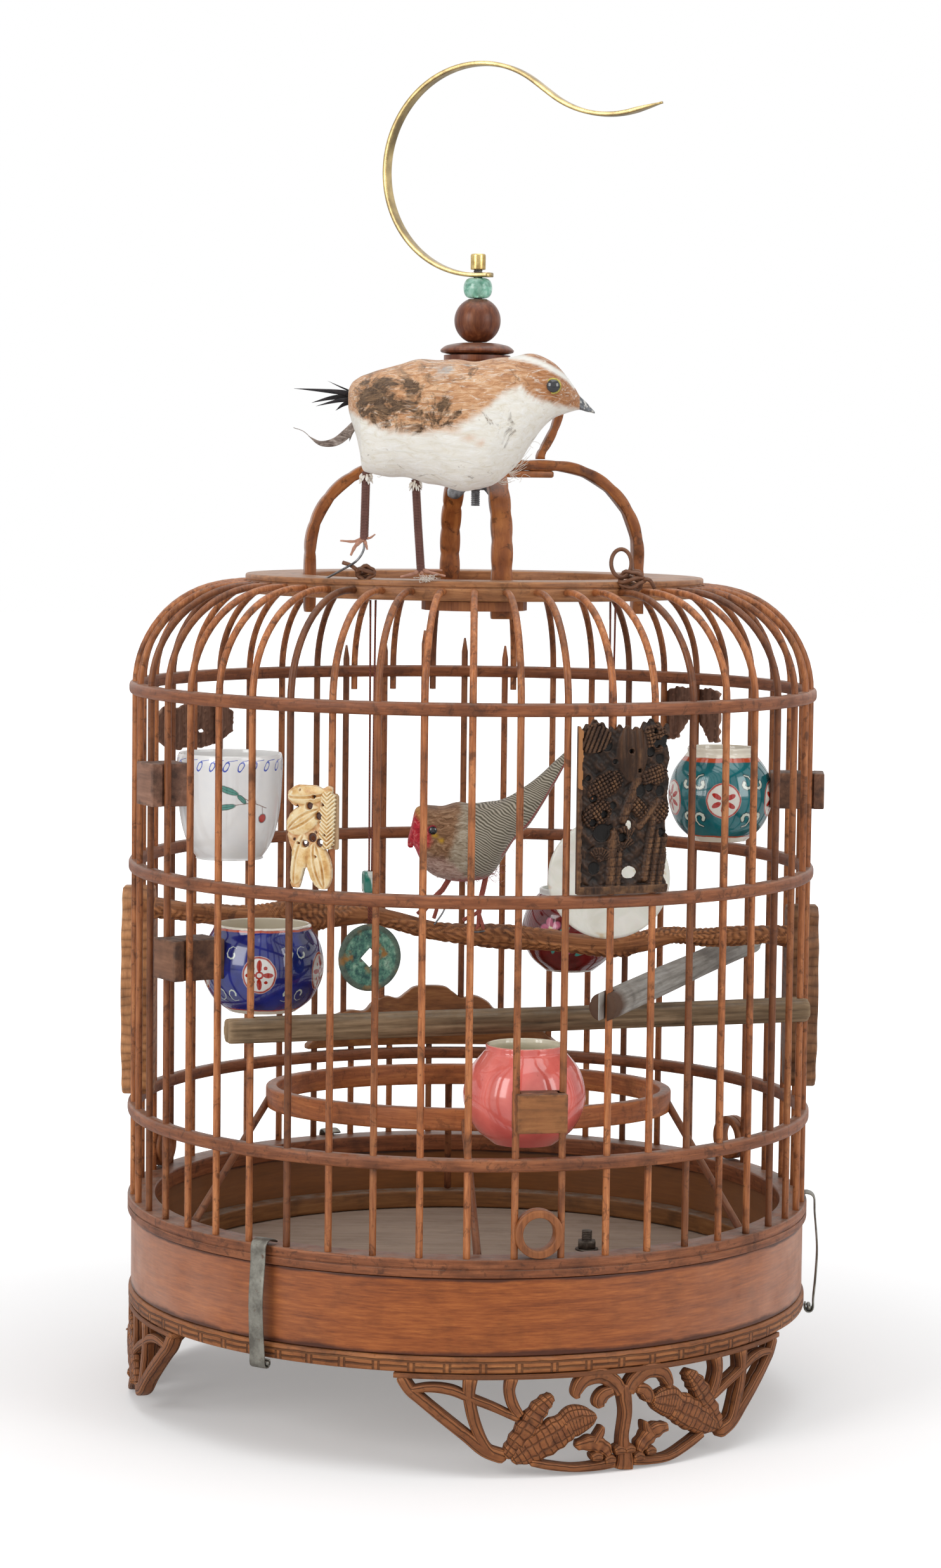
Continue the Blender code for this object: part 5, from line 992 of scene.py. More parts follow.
# Rib rings: three turned rings stand on the sill between two ribs each, to steady a feeding stick. They
# are darker inside, with a line cut round the rim.
ring_headings = {"front_rib_ring": 11.25, "left_rib_ring": -108.75, "right_rib_ring": 123.75}
small_radius, small_bore, small_thick, small_middle = 0.0100, 0.00675, 0.0070, 0.1006
small_finish = bamboo("ring_wood", (0.13, 0.037, 0.011), (0.27, 0.09, 0.028), (0.41, 0.151, 0.05),
                      run="Upward", fine=1.4, dust=0.25, rough=0.40, stain=0.5, worn=0.4)
for name, heading in ring_headings.items():
    half = small_thick / 2
    line = round_corners([(small_bore, -half), (small_radius, -half), (small_radius, -0.0004),
                          (small_radius - 0.0004, 0), (small_radius, 0.0004), (small_radius, half),
                          (small_bore, half), (small_bore - 0.0004, 0)],
                         np.array([0.0008, 0.0010, 0.0002, 0.0001, 0.0002, 0.0010, 0.0008, 0.002]))
    ring = spun(line, 72)
    turn = Matrix.Rotation(math.radians(heading), 3, "Z") @ Matrix.Rotation(math.pi / 2, 3, "X")
    away = np.array([np.sin(np.radians(heading)), -np.cos(np.radians(heading)), 0])
    grid = ring @ np.array(turn).T + rib_line * away + (0, 0, small_middle)
    fit(surface(name + "_turned", grid, closed=True), small_finish, "cage", "bamboo", name)


# Clips: springs of flat steel hooked over the sill and rolled into an eye below the rim, where each turns
# on its pin. They hold the cage down on its base and are dull, with brown spots of rust.
clip_headings = {"left_clip": -33.75, "right_clip": 86.25, "back_clip": -153.75}
clip_wide, clip_thick, clip_line, clip_height = 0.0080, 0.0009, 0.1518, 0.0418
clip_lip, clip_rise = 0.0062, 0.0510
clip_bow, clip_curl = 0.0032, 0.0019
clip_iron = metal("clip_steel", (0.30, 0.29, 0.25), (0.15, 0.14, 0.12), 0.46, 140.0, 0.4)
tree, shader, colour = base_colour(clip_iron)
spots = noise(tree, spot(tree), 340.0, 4.0, 0.6)
rust = past(tree, spots, 0.60, 9.0)
wire(shader, Base_Color=mix(tree, rust, colour, (0.10, 0.045, 0.022)),
     Metallic=calc(tree, "SUBTRACT", 1.0, rust, clamp=True))
over_sill = [(share * clip_lip - clip_lip, rise * clip_rise)
             for share, rise in ((0.0, 0.975), (0.3, 0.992), (0.8, 1.0))]
down = [(share * clip_bow, rise * clip_rise)
        for share, rise in ((0.45, 0.96), (0.60, 0.82), (1.0, 0.52), (0.85, 0.26), (0.62, 0.08))]
eye = [(clip_curl * math.cos(-0.96 * step), clip_curl * math.sin(-0.96 * step)) for step in range(5)]
clip_side = curve_through(over_sill + down + eye, 8)
for name, heading in clip_headings.items():
    angle = np.radians(heading)
    away, along = np.array([np.sin(angle), -np.cos(angle), 0]), np.array([np.cos(angle), np.sin(angle), 0])
    line, run = along_path(clip_side, 0.0007)
    points = (clip_line + line[:, :1]) * away + line[:, 1:] * (0, 0, 1) + (0, 0, clip_height)
    taper = clip_wide / 2 * (1 - 0.10 * np.sin(np.pi * run / run[-1]))
    strip = rounded_bar(points, along, taper, clip_thick / 2, 0.4, 20)
    pin = tube(clip_line * away + (0, 0, clip_height) + np.linspace(-0.0046, 0.0046, 6)[:, None] * along,
               0.0009, 14)
    fit(bundle(name + "_spring", [strip, pin]), clip_iron, name + "_body", "steel", name)


# Feet: three boards sawn and carved in openwork. Each has a forked stem with curled leaves in the middle,
# two birds that face it with crested backs, a bed of flowers below and forked twigs up to the rim.
foot_headings = {"right_foot": 26.25, "left_foot": -93.75, "back_foot": 146.25}
foot_line, foot_half, foot_tall = 0.1462, 0.0032, 0.0430


def stroke_bar(points, widths, heading, side, steps=7, half=foot_half, square=0.45, waves=0, wave=0.0):
    """A carved stroke on the foot: points are (degrees from the middle, millimetres up), widths in
    millimetres, both eased along the stroke, with a few waves along its face if asked."""
    line = curve_through([(offset, up, width) for (offset, up), width in zip(points, widths)], steps)
    angle = np.radians(heading + side * line[:, 0])
    away = np.stack([np.sin(angle), -np.cos(angle), 0 * angle], -1)
    share = np.linspace(0, 1, len(line))
    deep = half * (1 + wave * np.cos(2 * np.pi * waves * share))
    ends = np.sqrt(np.clip(np.minimum(share, 1 - share) / 0.03, 0.15, 1))
    path = foot_line * away + (line[:, 1:2] / 1000) * (0, 0, 1)
    thick = line[:, 2] / 2000 * (1 + 0.8 * wave * np.cos(2 * np.pi * waves * share))
    grid = rounded_bar(path, away, deep * ends, thick * ends, square, 20)
    return np.maximum(grid, (-1, -1, 0))


def foot_strokes(heading):
    """Every stroke of one foot; the left half is mirrored for the right, whose bird sits a little higher."""
    grids, tones = [], []
    for side, lift in ((-1, 0.0), (1, 4.0)):
        def add(points, widths, tone=0.25, **extra):
            """One stroke on this side, kept below the rim."""
            grids.append(stroke_bar([(offset, min(42.0, up)) for offset, up in points], widths, heading, side,
                                    **extra))
            tones.append(tone)
        add([(36.6, 42.4), (35.0, 36), (33.2, 32), (30, 25.5), (26, 17.5), (23, 11.5), (19.5, 8.2)],
            [5, 5, 4.6, 4.8, 5, 5.6, 6])
        add([(35.4, 35.5), (32, 37), (28.5, 36.2), (25.4, 33), (21.5, 29), (17.5, 24)],
            [3, 3.6, 4, 3.6, 3.4, 3])
        add([(25.4, 42.6), (25.6, 34), (24.8, 24), (23.2, 14), (21.4, 9.5)], [6.4, 5.2, 5, 4.6, 4.2])
        add([(18.8, 42.6), (19.2, 36), (18.6, 30), (17.4, 25)], [5.6, 4.6, 4.8, 4])
        add([(20.0, 8.5 + lift / 3), (18.2, 14 + lift), (16.0, 22 + lift), (14.0, 29 + lift),
             (12.2, 33.5 + lift)], [4, 7, 8.5, 7, 3.4], 0.1, waves=7, wave=0.10)
        add([(18.8, 7 + lift), (16.4, 10.5 + lift), (13.4, 15 + lift), (10.6, 19 + lift), (8.2, 21.6 + lift)],
            [4, 11, 14, 13, 9], 0.0, half=0.0036, square=0.75, waves=6, wave=0.05)
        add([(10.6, 20 + lift), (8.6, 22.2 + lift), (6.2, 23.4 + lift), (5.0, 24.4 + lift)],
            [10, 13.5, 9, 2.2], 0.0, half=0.0037, square=0.8)
        add([(8.4, 12 + lift), (5.6, 12.6 + lift / 2), (3.6, 10.5), (2.6, 7)], [3.4, 6.6, 6.2, 3.4], 0.2,
            waves=4, wave=0.09)
        add([(5.2, 12), (4.2, 16.5), (3.8, 19.6)], [4.2, 3.4, 1.2])
        add([(16.0, 6.4 + lift), (12.5, 4.4 + lift / 2), (8.5, 2.9), (4.4, 3.0), (1.4, 4.2)],
            [3, 3.4, 3.2, 3.8, 5])
        add([(0.5, 32), (1.8, 37), (4.2, 40.6), (7.0, 39.2), (8.3, 34.6), (8.2, 31.6)],
            [5.4, 6.6, 7, 6.2, 4.4, 2])
        add([(2.0, 34), (3.6, 32.6), (4.4, 29.6), (4.2, 27.2)], [4, 5.4, 5.6, 3])
        for offset, up, wide in ((2.6, 4.6, 6.2), (4.8, 6.6, 5), (0.9, 8.4, 5)):
            add([(offset - 0.9, up), (offset, up + 0.4), (offset + 0.9, up)], [wide * 0.6, wide, wide * 0.6],
                0.1, half=0.0040, square=0.85)
        grids.append(stroke_bar([(7.6, 23.8 + lift), (7.9, 24.1 + lift), (8.2, 23.8 + lift)], [0.8, 1.5, 0.8],
                                heading, side, half=0.0043, square=0.9))
        tones.append(1.0)
    grids.append(stroke_bar([(0, 0.15), (0.2, 5), (-0.1, 14), (0.4, 24), (0, 33), (0, 36)],
                            [9, 7.5, 4.6, 4.8, 5.6, 3], heading, 1))
    tones.append(0.2)
    angles = np.linspace(-37.5, 37.5, 60)
    grids.append(bent_plate(heading + angles, np.full(60, 0.0408), np.full(60, foot_tall),
                            foot_line - foot_half, foot_line + foot_half, 0.0005))
    tones.append(0.3)
    return grids, tones


foot_finish = bamboo("carved_foot", (0.075, 0.021, 0.007), (0.22, 0.07, 0.021), (0.38, 0.14, 0.044),
                     run="Traced", fine=1.2, dust=0.15, rough=0.50, stain=0.45, worn=0.55, toned=True,
                     bump=0.5, girth=0.016, length=0.03, specks=0.45)
# Knife lines run along every twig; the birds and their crests, which have the lowest tones, are hatched.
tree, shader, colour = base_colour(foot_finish)
uv = uv_of(tree)
waver = noise(tree, spot(tree), 130.0, 3.0)
along = calc(tree, "ABSOLUTE",
             calc(tree, "SINE", calc(tree, "MULTIPLY_ADD", waver, 2.2, times(tree, uv[0], 11 * math.pi))))
across = calc(tree, "ABSOLUTE",
              calc(tree, "SINE", calc(tree, "MULTIPLY_ADD", waver, 2.8, times(tree, uv[1], 13 * math.pi))))
along, across = (times(tree, line, 2.6, clamp=True) for line in (along, across))
plain = calc(tree, "GREATER_THAN", mask(tree, "tone"), 0.15)
carve(tree, colour, shader, least(tree, along, most(tree, across, plain)), 0.0006, 0.42)
for name, heading in foot_headings.items():
    fit(bundle(name + "_carving", *foot_strokes(heading)), foot_finish, "cage", "dark_bamboo", name)


# Two straight perches: round sticks scraped into long flutes, cut off square and forked at each end to grip
# a rib. The long one is grey-olive with age, the short one paler with a charred brown end.
def fluted(start, end, radius, flutes, deep, chance):
    """Grid of a stick: the radius dips by deep at each of its flutes, which waver along it, and the two
    end rings close in to a worn edge."""
    start, end = np.asarray(start), np.asarray(end)
    share = np.concatenate([[0, 0, 0.002, 0.006], np.linspace(0.012, 0.988, 90), [0.994, 0.998, 1, 1]])
    close = np.concatenate([[0.02, 0.90, 0.97, 1], np.ones(90), [1, 0.97, 0.90, 0.02]])
    angle = np.arange(64) / 64 * 2 * np.pi
    waver = chance + 0.25 * np.sin(7 * share + chance) + 0.12 * np.sin(19 * share + 2 * chance)
    ridge = np.abs(np.sin(flutes * angle[None] / 2 + waver[:, None])) ** 0.45
    uneven = 1 + 0.035 * np.sin(5 * share + chance)[:, None] + 0.02 * np.sin(2 * angle + 9 * share[:, None])
    r = radius * close[:, None] * np.minimum(1, (1 - deep + deep * ridge) * uneven)
    along = (end - start) / np.linalg.norm(end - start)
    second = np.cross(along, (0, 0, 1))
    return (start + share[:, None] * (end - start))[:, None] + r[..., None] * (
        np.cos(angle)[None, :, None] * np.array((0, 0, 1)) + np.sin(angle)[None, :, None] * second)


def on_rib(heading, height):
    """The point of a rib's middle line at a height."""
    angle = np.radians(heading)
    return np.array([rib_line * np.sin(angle), -rib_line * np.cos(angle), height])


def forked(item, *cutters):
    """Cuts the forks, each a flat slot as wide as a rib that opens through the end."""
    tool = bundle(item.name + "_forks", cutters)
    slotting = item.modifiers.new("forks", "BOOLEAN")
    slotting.object, slotting.operation, slotting.solver = tool, "DIFFERENCE", "EXACT"
    item.data = bpy.data.meshes.new_from_object(item.evaluated_get(bpy.context.evaluated_depsgraph_get()))
    item.modifiers.clear()
    bpy.data.objects.remove(tool)


perch_finish = bamboo("grey_perch_wood", (0.075, 0.045, 0.022), (0.170, 0.108, 0.056), (0.31, 0.21, 0.120),
                      run="Traced", fine=1.0, dust=0.35, rough=0.68, stain=0.35, worn=0.55, bump=0.4,
                      girth=0.036, length=0.24, grey=(0.34, 0.32, 0.28))
pale_finish = bamboo("pale_perch_wood", (0.16, 0.145, 0.12), (0.30, 0.28, 0.25), (0.46, 0.44, 0.41),
                     run="Traced", fine=1.0, dust=0.35, rough=0.68, stain=0.35, worn=0.45, bump=0.4,
                     girth=0.038, length=0.22, grey=(0.42, 0.41, 0.38))
tree, shader, colour = base_colour(pale_finish)
charred = past(tree, 0.10, uv_of(tree)[1], 25.0)
wire(shader, Base_Color=mix(tree, charred, colour, (0.075, 0.035, 0.018)))
slot_half, slot_reach, slot_tall = 0.0018, 0.03, 0.02
corner_turn = np.array([[1, 1], [-1, 1], [-1, -1], [1, -1]])
for name, radius, height, headings, beyond, flutes, finish, slot in (
        ("long_perch", 0.0055, 0.1780, (-37.5, 75.0), (0.0100, 0.0030), 7, perch_finish, "grey_perch"),
        ("short_perch", 0.0060, 0.1930, (22.5, 120.0), (0.0090, 0.0060), 8, pale_finish, "pale_perch")):
    near, far = on_rib(headings[0], height), on_rib(headings[1], height)
    run = (far - near) / np.linalg.norm(far - near)
    stick = surface(name + "_stick",
                    fluted(near - run * beyond[0], far + run * beyond[1], radius, flutes, 0.13, height * 40),
                    caps=True)
    square = (slot_half * corner_turn[:, :1] * np.cross(run, (0, 0, 1))
              + slot_tall * corner_turn[:, 1:] * (0, 0, 1))
    slots = [np.stack([place + shift * out + square for shift in (-slot_half, slot_reach)])
             for place, out in ((near, -run), (far, run))]
    forked(stick, *slots)
    fit(stick, finish, "cage", slot, name)


# Branch perch: a crooked root carved all over like scaly bark, with smooth knife cuts between the scales
# and a pale sawn end. Its ends stand in two thick carved side plates, wedged between the ribs.
branch_line, branch_height, branch_reach, branch_thick, branch_sway = -0.0080, 0.2060, 0.1387, 0.0055, 0.0080
branch_way = [(-1, 1.15, 1.05), (-.86, .95, 1.0), (-.72, .70, 1.0), (-.62, .75, 1.1), (-.50, .95, 1.2),
              (-.40, .90, 1.05), (-.28, .75, .85), (-.12, .15, .90), (.06, -.15, 1.05), (.24, -.40, .85),
              (.42, -.60, .95), (.54, -.40, .85), (.64, -.10, .80), (.74, -.10, .80), (.86, .05, .90),
              (1, -.10, 1.0)]


def scaly(line, radius, sides=56):
    """Grid round a crooked line. Scales stand in rows round it, each row half a scale on from the last: the
    radius falls off from the middle of each scale, and knife cuts flatten two long stretches."""
    rows = len(line)
    share, angle = np.linspace(0, 1, rows)[:, None], np.arange(sides)[None] / sides * 2 * np.pi
    row = share * 92 + 0.45 * np.sin(3 * angle + 23 * share) + 0.3 * np.sin(5 * angle + 61 * share)
    beat = np.abs(np.sin(np.pi * (row % 1)))
    scale = np.abs(np.sin(4.5 * angle + np.pi / 2 * np.floor(row) + 0.6 * np.sin(3 * np.floor(row))))
    bark = (beat * scale) ** 0.5
    smooth = np.clip(3 * np.sin(2 * np.pi * 3.2 * share + 1.3 * np.sin(angle + 9 * share)) - 0.9, 0, 1)
    relief = 0.00085 * bark * (1 - smooth) - 0.0002 * smooth
    relief = (relief + 0.00035 * np.sin(13 * share * np.pi + 2 * angle)
              + 0.0005 * np.sin(5 * share * np.pi * 2 + angle))
    along = np.gradient(line, axis=0)
    along /= np.linalg.norm(along, axis=1)[:, None]
    side = np.array([0.0, 1.0, 0.0])
    up = np.cross(along, np.broadcast_to(side, line.shape))
    r = (radius[:, None] - 0.0009) * (1 + 0.10 * np.cos(2 * angle + 14 * share)) + relief
    r[0] *= 0.02
    r[-1] *= 0.02
    return line[:, None] + r[..., None] * (np.cos(angle)[..., None] * side + np.sin(angle)[..., None] * up[
        :, None])


way = curve_through([(along * branch_reach, branch_height + rise * branch_sway, thick * branch_thick)
                     for along, rise, thick in branch_way], 36)
way = np.concatenate([way[:1], way, way[-1:]])
way_line = np.stack([way[:, 0], np.full(len(way), branch_line), way[:, 1]], -1)
way_line[0, 0] -= 1e-5
way_line[-1, 0] += 1e-5
branch = surface("crooked_branch", scaly(way_line, way[:, 2]), caps=True)
branch_finish = bamboo("carved_branch", (0.105, 0.033, 0.011), (0.265, 0.095, 0.031), (0.490, 0.205, 0.076),
                       run="Traced", fine=1.2, dust=0.25, rough=0.55, stain=0.45, worn=0.8, bump=0.55,
                       girth=0.036, length=0.30, specks=0.55)
fit(branch, branch_finish, "cage", "red_wood", "branch_perch")


def slab(name, outline, place, steps):
    """Flat or bent board: an outline drawn in two measures, carried through (depth, inset) steps. Each
    point is moved in by inset along the outline's normal, then place turns it into a point in space."""
    outline = np.asarray(outline, float)
    along = np.roll(outline, -1, 0) - np.roll(outline, 1, 0)
    normal = np.stack([along[:, 1], -along[:, 0]], -1) / np.linalg.norm(along, axis=1)[:, None]
    if np.cross(outline, np.roll(outline, -1, 0)).sum() < 0:
        normal = -normal
    return surface(name, np.stack([place(outline - inset * normal, depth) for depth, inset in steps]),
                   caps=True)


def edged(low, high, edge):
    """Depth steps of a board with both of its edges rounded."""
    turn = np.linspace(0, np.pi / 2, 4)
    return [(low + edge * (1 - np.sin(t)), edge * (1 - np.cos(t))) for t in turn[::-1]] + [
        (high - edge * (1 - np.sin(t)), edge * (1 - np.cos(t))) for t in turn]


plate_half, plate_near, plate_far = 0.0130, 0.1390, 0.1530
plate_way = [(.30, 0), (.62, .05), (.55, .12), (.92, .22), (.80, .33), (1, .44), (1, .56), (.80, .67),
             (.92, .78), (.55, .88), (.62, .95), (.30, 1)]
for name, side, low, high, tones in (("left_plate", -1, 0.1320, 0.2240,
                                      ((0.22, 0.080, 0.026), (0.47, 0.200, 0.074), (0.64, 0.32, 0.135))),
                                     ("right_plate", 1, 0.1390, 0.2190,
                                      ((0.085, 0.030, 0.012), (0.19, 0.078, 0.030), (0.33, 0.155, 0.062)))):
    edge_line = curve_through([(width * plate_half, low + rise * (high - low)) for width, rise in plate_way],
                              7)
    edge_line = np.concatenate([edge_line, edge_line[::-1] * (-1, 1)])
    board = slab(name + "_board", edge_line,
                 lambda flat, depth: np.stack([np.full(len(flat), side * depth), flat[:, 0], flat[:, 1]], -1),
                 edged(plate_near, plate_far, 0.0012))
    plate_finish = bamboo(name + "_wood", *tones, run="Upward", fine=0.8, dust=0.25, rough=0.50, stain=0.65,
                          worn=0.4, bump=0.4)
    tree, shader, colour = base_colour(plate_finish)
    level = xyz_of(tree)[2]
    wander = noise(tree, spot(tree), 60.0, 2.0)
    band = calc(tree, "SINE", calc(tree, "MULTIPLY_ADD", wander, 9.0, times(tree, level, 1500.0)))
    band = calc(tree, "MULTIPLY_ADD", band, 0.5, 0.5)
    carve(tree, colour, shader, calc(tree, "POWER", band, 0.35), 0.0004, 0.45)
    fit(board, plate_finish, "cage", "red_wood", name)


# Floor bolt: a small threaded stud with a washer and a six-sided nut, which holds the floor board down.
bolt_x, bolt_y, floor_top, nut_high, nut_radius = 0.0547, 0.0394, 0.0556, 0.0600, 0.0045
stud_radius, stud_high = 0.0024, 0.0645
stud = threaded(stud_radius, floor_top, stud_high, 0.0008, 0.00025)
angle = np.arange(48) / 48 * 2 * np.pi
flat = np.cos(np.pi / 6) / np.cos((angle % (np.pi / 3)) - np.pi / 6)
nut_steps = [(0.62, floor_top + 0.0006), (0.93, floor_top + 0.0006), (1.0, floor_top + 0.0010),
             (1.0, nut_high - 0.0005), (0.93, nut_high), (0.58, nut_high)]
nut = np.stack([np.stack([nut_radius * share * (flat if share > 0.7 else 1) * np.sin(angle),
                          -nut_radius * share * (flat if share > 0.7 else 1) * np.cos(angle), np.full(48, z)],
                         -1) for share, z in nut_steps])
washer = spun([(0.0052, floor_top), (0.0053, floor_top + 0.0003), (0.0052, floor_top + 0.0006)], 48)
floor_parts = [grid + (bolt_x, bolt_y, 0) for grid in (stud, nut, washer)]
bolt_iron = metal("brown_bolt_iron", (0.15, 0.125, 0.105), (0.060, 0.048, 0.040), 0.50, 260.0, 0.6)
fit(bundle("floor_bolt_and_nut", floor_parts), bolt_iron, "cage", "steel", "floor_bolt")


# Five glazed porcelain cups stand on the inside of the ribs for seed and water. Each is thrown on a wheel,
# glazed and hand painted, and is glued to a small hardwood block that is wedged between two ribs.
spot_group, given, result = new_group(
    "painted_spot", [("Across", 0), ("Up", 0), ("X", 0), ("Y", 0), ("Wide", 1), ("Tall", 1), ("Lean", 0),
                     ("Edge", 0.2), ("Ring", 0)], ("Mask",))
tree = spot_group
shift_x = calc(tree, "SUBTRACT", given["Across"], given["X"])
shift_y = calc(tree, "SUBTRACT", given["Up"], given["Y"])
lean_cos, lean_sin = calc(tree, "COSINE", given["Lean"]), calc(tree, "SINE", given["Lean"])
long_way = calc(tree, "MULTIPLY_ADD", shift_x, lean_cos, times(tree, shift_y, lean_sin))
cross_way = calc(tree, "SUBTRACT", times(tree, shift_y, lean_cos), times(tree, shift_x, lean_sin))
away = reach_of(tree, calc(tree, "DIVIDE", long_way, given["Wide"]),
                calc(tree, "DIVIDE", cross_way, given["Tall"]))
filled = calc(tree, "DIVIDE", calc(tree, "SUBTRACT", 1.0, away), given["Edge"], clamp=True)
hollow = calc(tree, "DIVIDE", calc(tree, "SUBTRACT", away, given["Ring"]), given["Edge"], clamp=True)
hollow = calc(tree, "MAXIMUM", hollow, calc(tree, "LESS_THAN", given["Ring"], 0.01))
wire(result, Mask=times(tree, filled, hollow))

line_group, given, result = new_group(
    "painted_line", [("Across", 0), ("Up", 0), ("X0", 0), ("Y0", 0), ("X1", 1), ("Y1", 1), ("Half", 0.3),
                     ("Edge", 0.25)], ("Mask",))
tree = line_group
run_x = calc(tree, "SUBTRACT", given["X1"], given["X0"])
run_y = calc(tree, "SUBTRACT", given["Y1"], given["Y0"])
off_x = calc(tree, "SUBTRACT", given["Across"], given["X0"])
off_y = calc(tree, "SUBTRACT", given["Up"], given["Y0"])
run_run = calc(tree, "MULTIPLY_ADD", run_x, run_x, times(tree, run_y, run_y))
off_run = calc(tree, "MULTIPLY_ADD", off_x, run_x, times(tree, off_y, run_y))
share = calc(tree, "DIVIDE", off_run, run_run, clamp=True)
gap = reach_of(tree, calc(tree, "SUBTRACT", off_x, times(tree, share, run_x)),
               calc(tree, "SUBTRACT", off_y, times(tree, share, run_y)))
wire(result, Mask=calc(tree, "DIVIDE", calc(tree, "SUBTRACT", given["Half"], gap), given["Edge"], clamp=True))


def marks(tree, across, up, spots=(), lines=(), edge=0.25):
    """The union of painted ovals (x, y, wide, tall, lean, ring) and strokes (x0, y0, x1, y1, half) in mm."""
    found = []
    for group, labels, rows in ((spot_group, ("X", "Y", "Wide", "Tall", "Lean", "Ring"), spots),
                                (line_group, ("X0", "Y0", "X1", "Y1", "Half"), lines)):
        for row in rows:
            mark = node(tree, "Group", node_tree=group, Across=across, Up=up, Edge=edge,
                        **dict(zip(labels, row)))
            found.append(mark.outputs[0])
    return most(tree, *found)


def curl(x, y, radius, start, sweep, half):
    """A scroll as eight strokes that wind out from its eye: thick at its head and thin at its tail."""
    turn = np.radians(start + sweep * np.linspace(-0.30, 1, 9))
    reach = radius * np.linspace(0.35, 1.45, 9) ** 0.8
    points = np.stack([x + reach * np.cos(turn), y + reach * np.sin(turn)], -1)
    pairs = enumerate(zip(points.tolist(), points[1:].tolist()))
    return [(*near, *far, half * (1.35 - 0.12 * place)) for place, (near, far) in pairs]


def between(tree, value, low, high, soft):
    """1 from low to high, with soft edges."""
    return times(tree, *(calc(tree, "DIVIDE", calc(tree, "SUBTRACT", *pair), soft, clamp=True)
                         for pair in ((value, low), (high, value))))


def glaze(name, light, dark, low, tall, radius, repeats, inside=0.5, rough=0.10):
    """Glossy glaze that pools darker in patches. Gives its finish, its colour, and a painter's grid: the
    tree, where the outside is, and millimetres across each of the repeats round the cup, the first of which
    has its middle at the front, and up from its foot."""
    finish = glass(name, light, rough, 0.0, 1.5, 0.6)
    tree, shader = opened(finish)
    here = spot(tree)
    pool = noise(tree, here, 90.0, 4.0, 0.6)
    uv = uv_of(tree)
    around = calc(tree, "FRACT", calc(tree, "MULTIPLY_ADD", uv[0], repeats, 0.5))
    wide = 2 * math.pi * radius * 1000 / repeats
    across = calc(tree, "MULTIPLY_ADD", calc(tree, "SUBTRACT", around, 0.5), wide,
                  times(tree, calc(tree, "SUBTRACT", noise(tree, here, 300.0, 3.0, 0.6), 0.5), 0.9))
    up = times(tree, height_in(tree, low, low + tall), tall * 1000)
    up = calc(tree, "MULTIPLY_ADD", calc(tree, "SUBTRACT", noise(tree, here, 210.0, 3.0), 0.5), 0.9, up)
    wire(shader, Roughness=calc(tree, "MULTIPLY_ADD", pool, 0.12, rough - 0.04),
         Normal=bumped(tree, noise(tree, here, 30.0, 2.0), 0.05, 0.0008))
    grid = (tree, calc(tree, "LESS_THAN", uv[1], inside), across, up)
    return finish, ramp(tree, pool, (0.35, dark), (0.62, light)), grid


def painted(grid, colour, *layers):
    """Lays pigments over the colour, one on the other, on the outside only. A layer is its pigment, then the
    height it runs from and to with the width of its edge, or its ovals, its strokes and their edge."""
    tree, outside, across, up = grid
    for pigment, *shape in layers:
        if isinstance(shape[0], (int, float)):
            drawn = between(tree, up, *shape)
        else:
            drawn = marks(tree, across, up, *shape)
        colour = mix(tree, times(tree, drawn, outside), colour, pigment)
    return colour


def finished(grid, finish, colour, inner=None):
    """Gives a finish its colour, with another one inside the cup if that is named."""
    tree, outside = grid[:2]
    wire(opened(finish)[1], Base_Color=mix(tree, outside, inner, colour) if inner else colour)
    return finish


pot_way = [(0, .03), (.40, .03), (.50, 0), (.53, .01), (.80, .15), (.96, .34), (1, .52), (.90, .74),
           (.70, .90), (.645, .94), (.645, .985), (.62, 1), (.585, .985), (.60, .90), (.82, .70), (.91, .50),
           (.70, .20), (.35, .11), (0, .10)]
bowl_way = [(0, .03), (.45, .03), (.54, 0), (.57, .01), (.80, .14), (.96, .35), (1, .55), (.94, .77),
            (.82, .93), (.80, .98), (.775, 1), (.745, .98), (.85, .77), (.90, .55), (.74, .22), (.35, .11),
            (0, .10)]
cup_way = [(0, 0), (.58, 0), (.64, .03), (.78, .14), (.90, .32), (.965, .54), (.99, .76), (1, .90),
           (.99, .97), (.965, 1), (.935, .985), (.93, .88), (.92, .74), (.88, .50), (.70, .16), (0, .08)]


def thrown(name, heading, line, radius, low, tall, way, facets=0.0):
    """A cup spun about its own axis: its side is a smooth curve through shares of its radius and height,
    kept above the foot and outside the axis; facets press six soft flats into it."""
    rows = curve_through(np.asarray(way), 7) * (radius, tall) + (0, low)
    rows = np.maximum(rows, (0, low))
    rows = rows[np.concatenate([[True], np.linalg.norm(np.diff(rows, axis=0), axis=1) > 1e-6])]
    grid = spun(rows, 112, lambda angle, r, z: (r * (1 - facets * (0.5 - 0.5 * np.cos(6 * angle)) ** 1.5), z))
    angle = np.radians(heading)
    return surface(name, grid + (line * np.sin(angle), -line * np.cos(angle), 0), closed=False)


cream, orange_line = (0.84, 0.78, 0.64), (0.55, 0.09, 0.035)

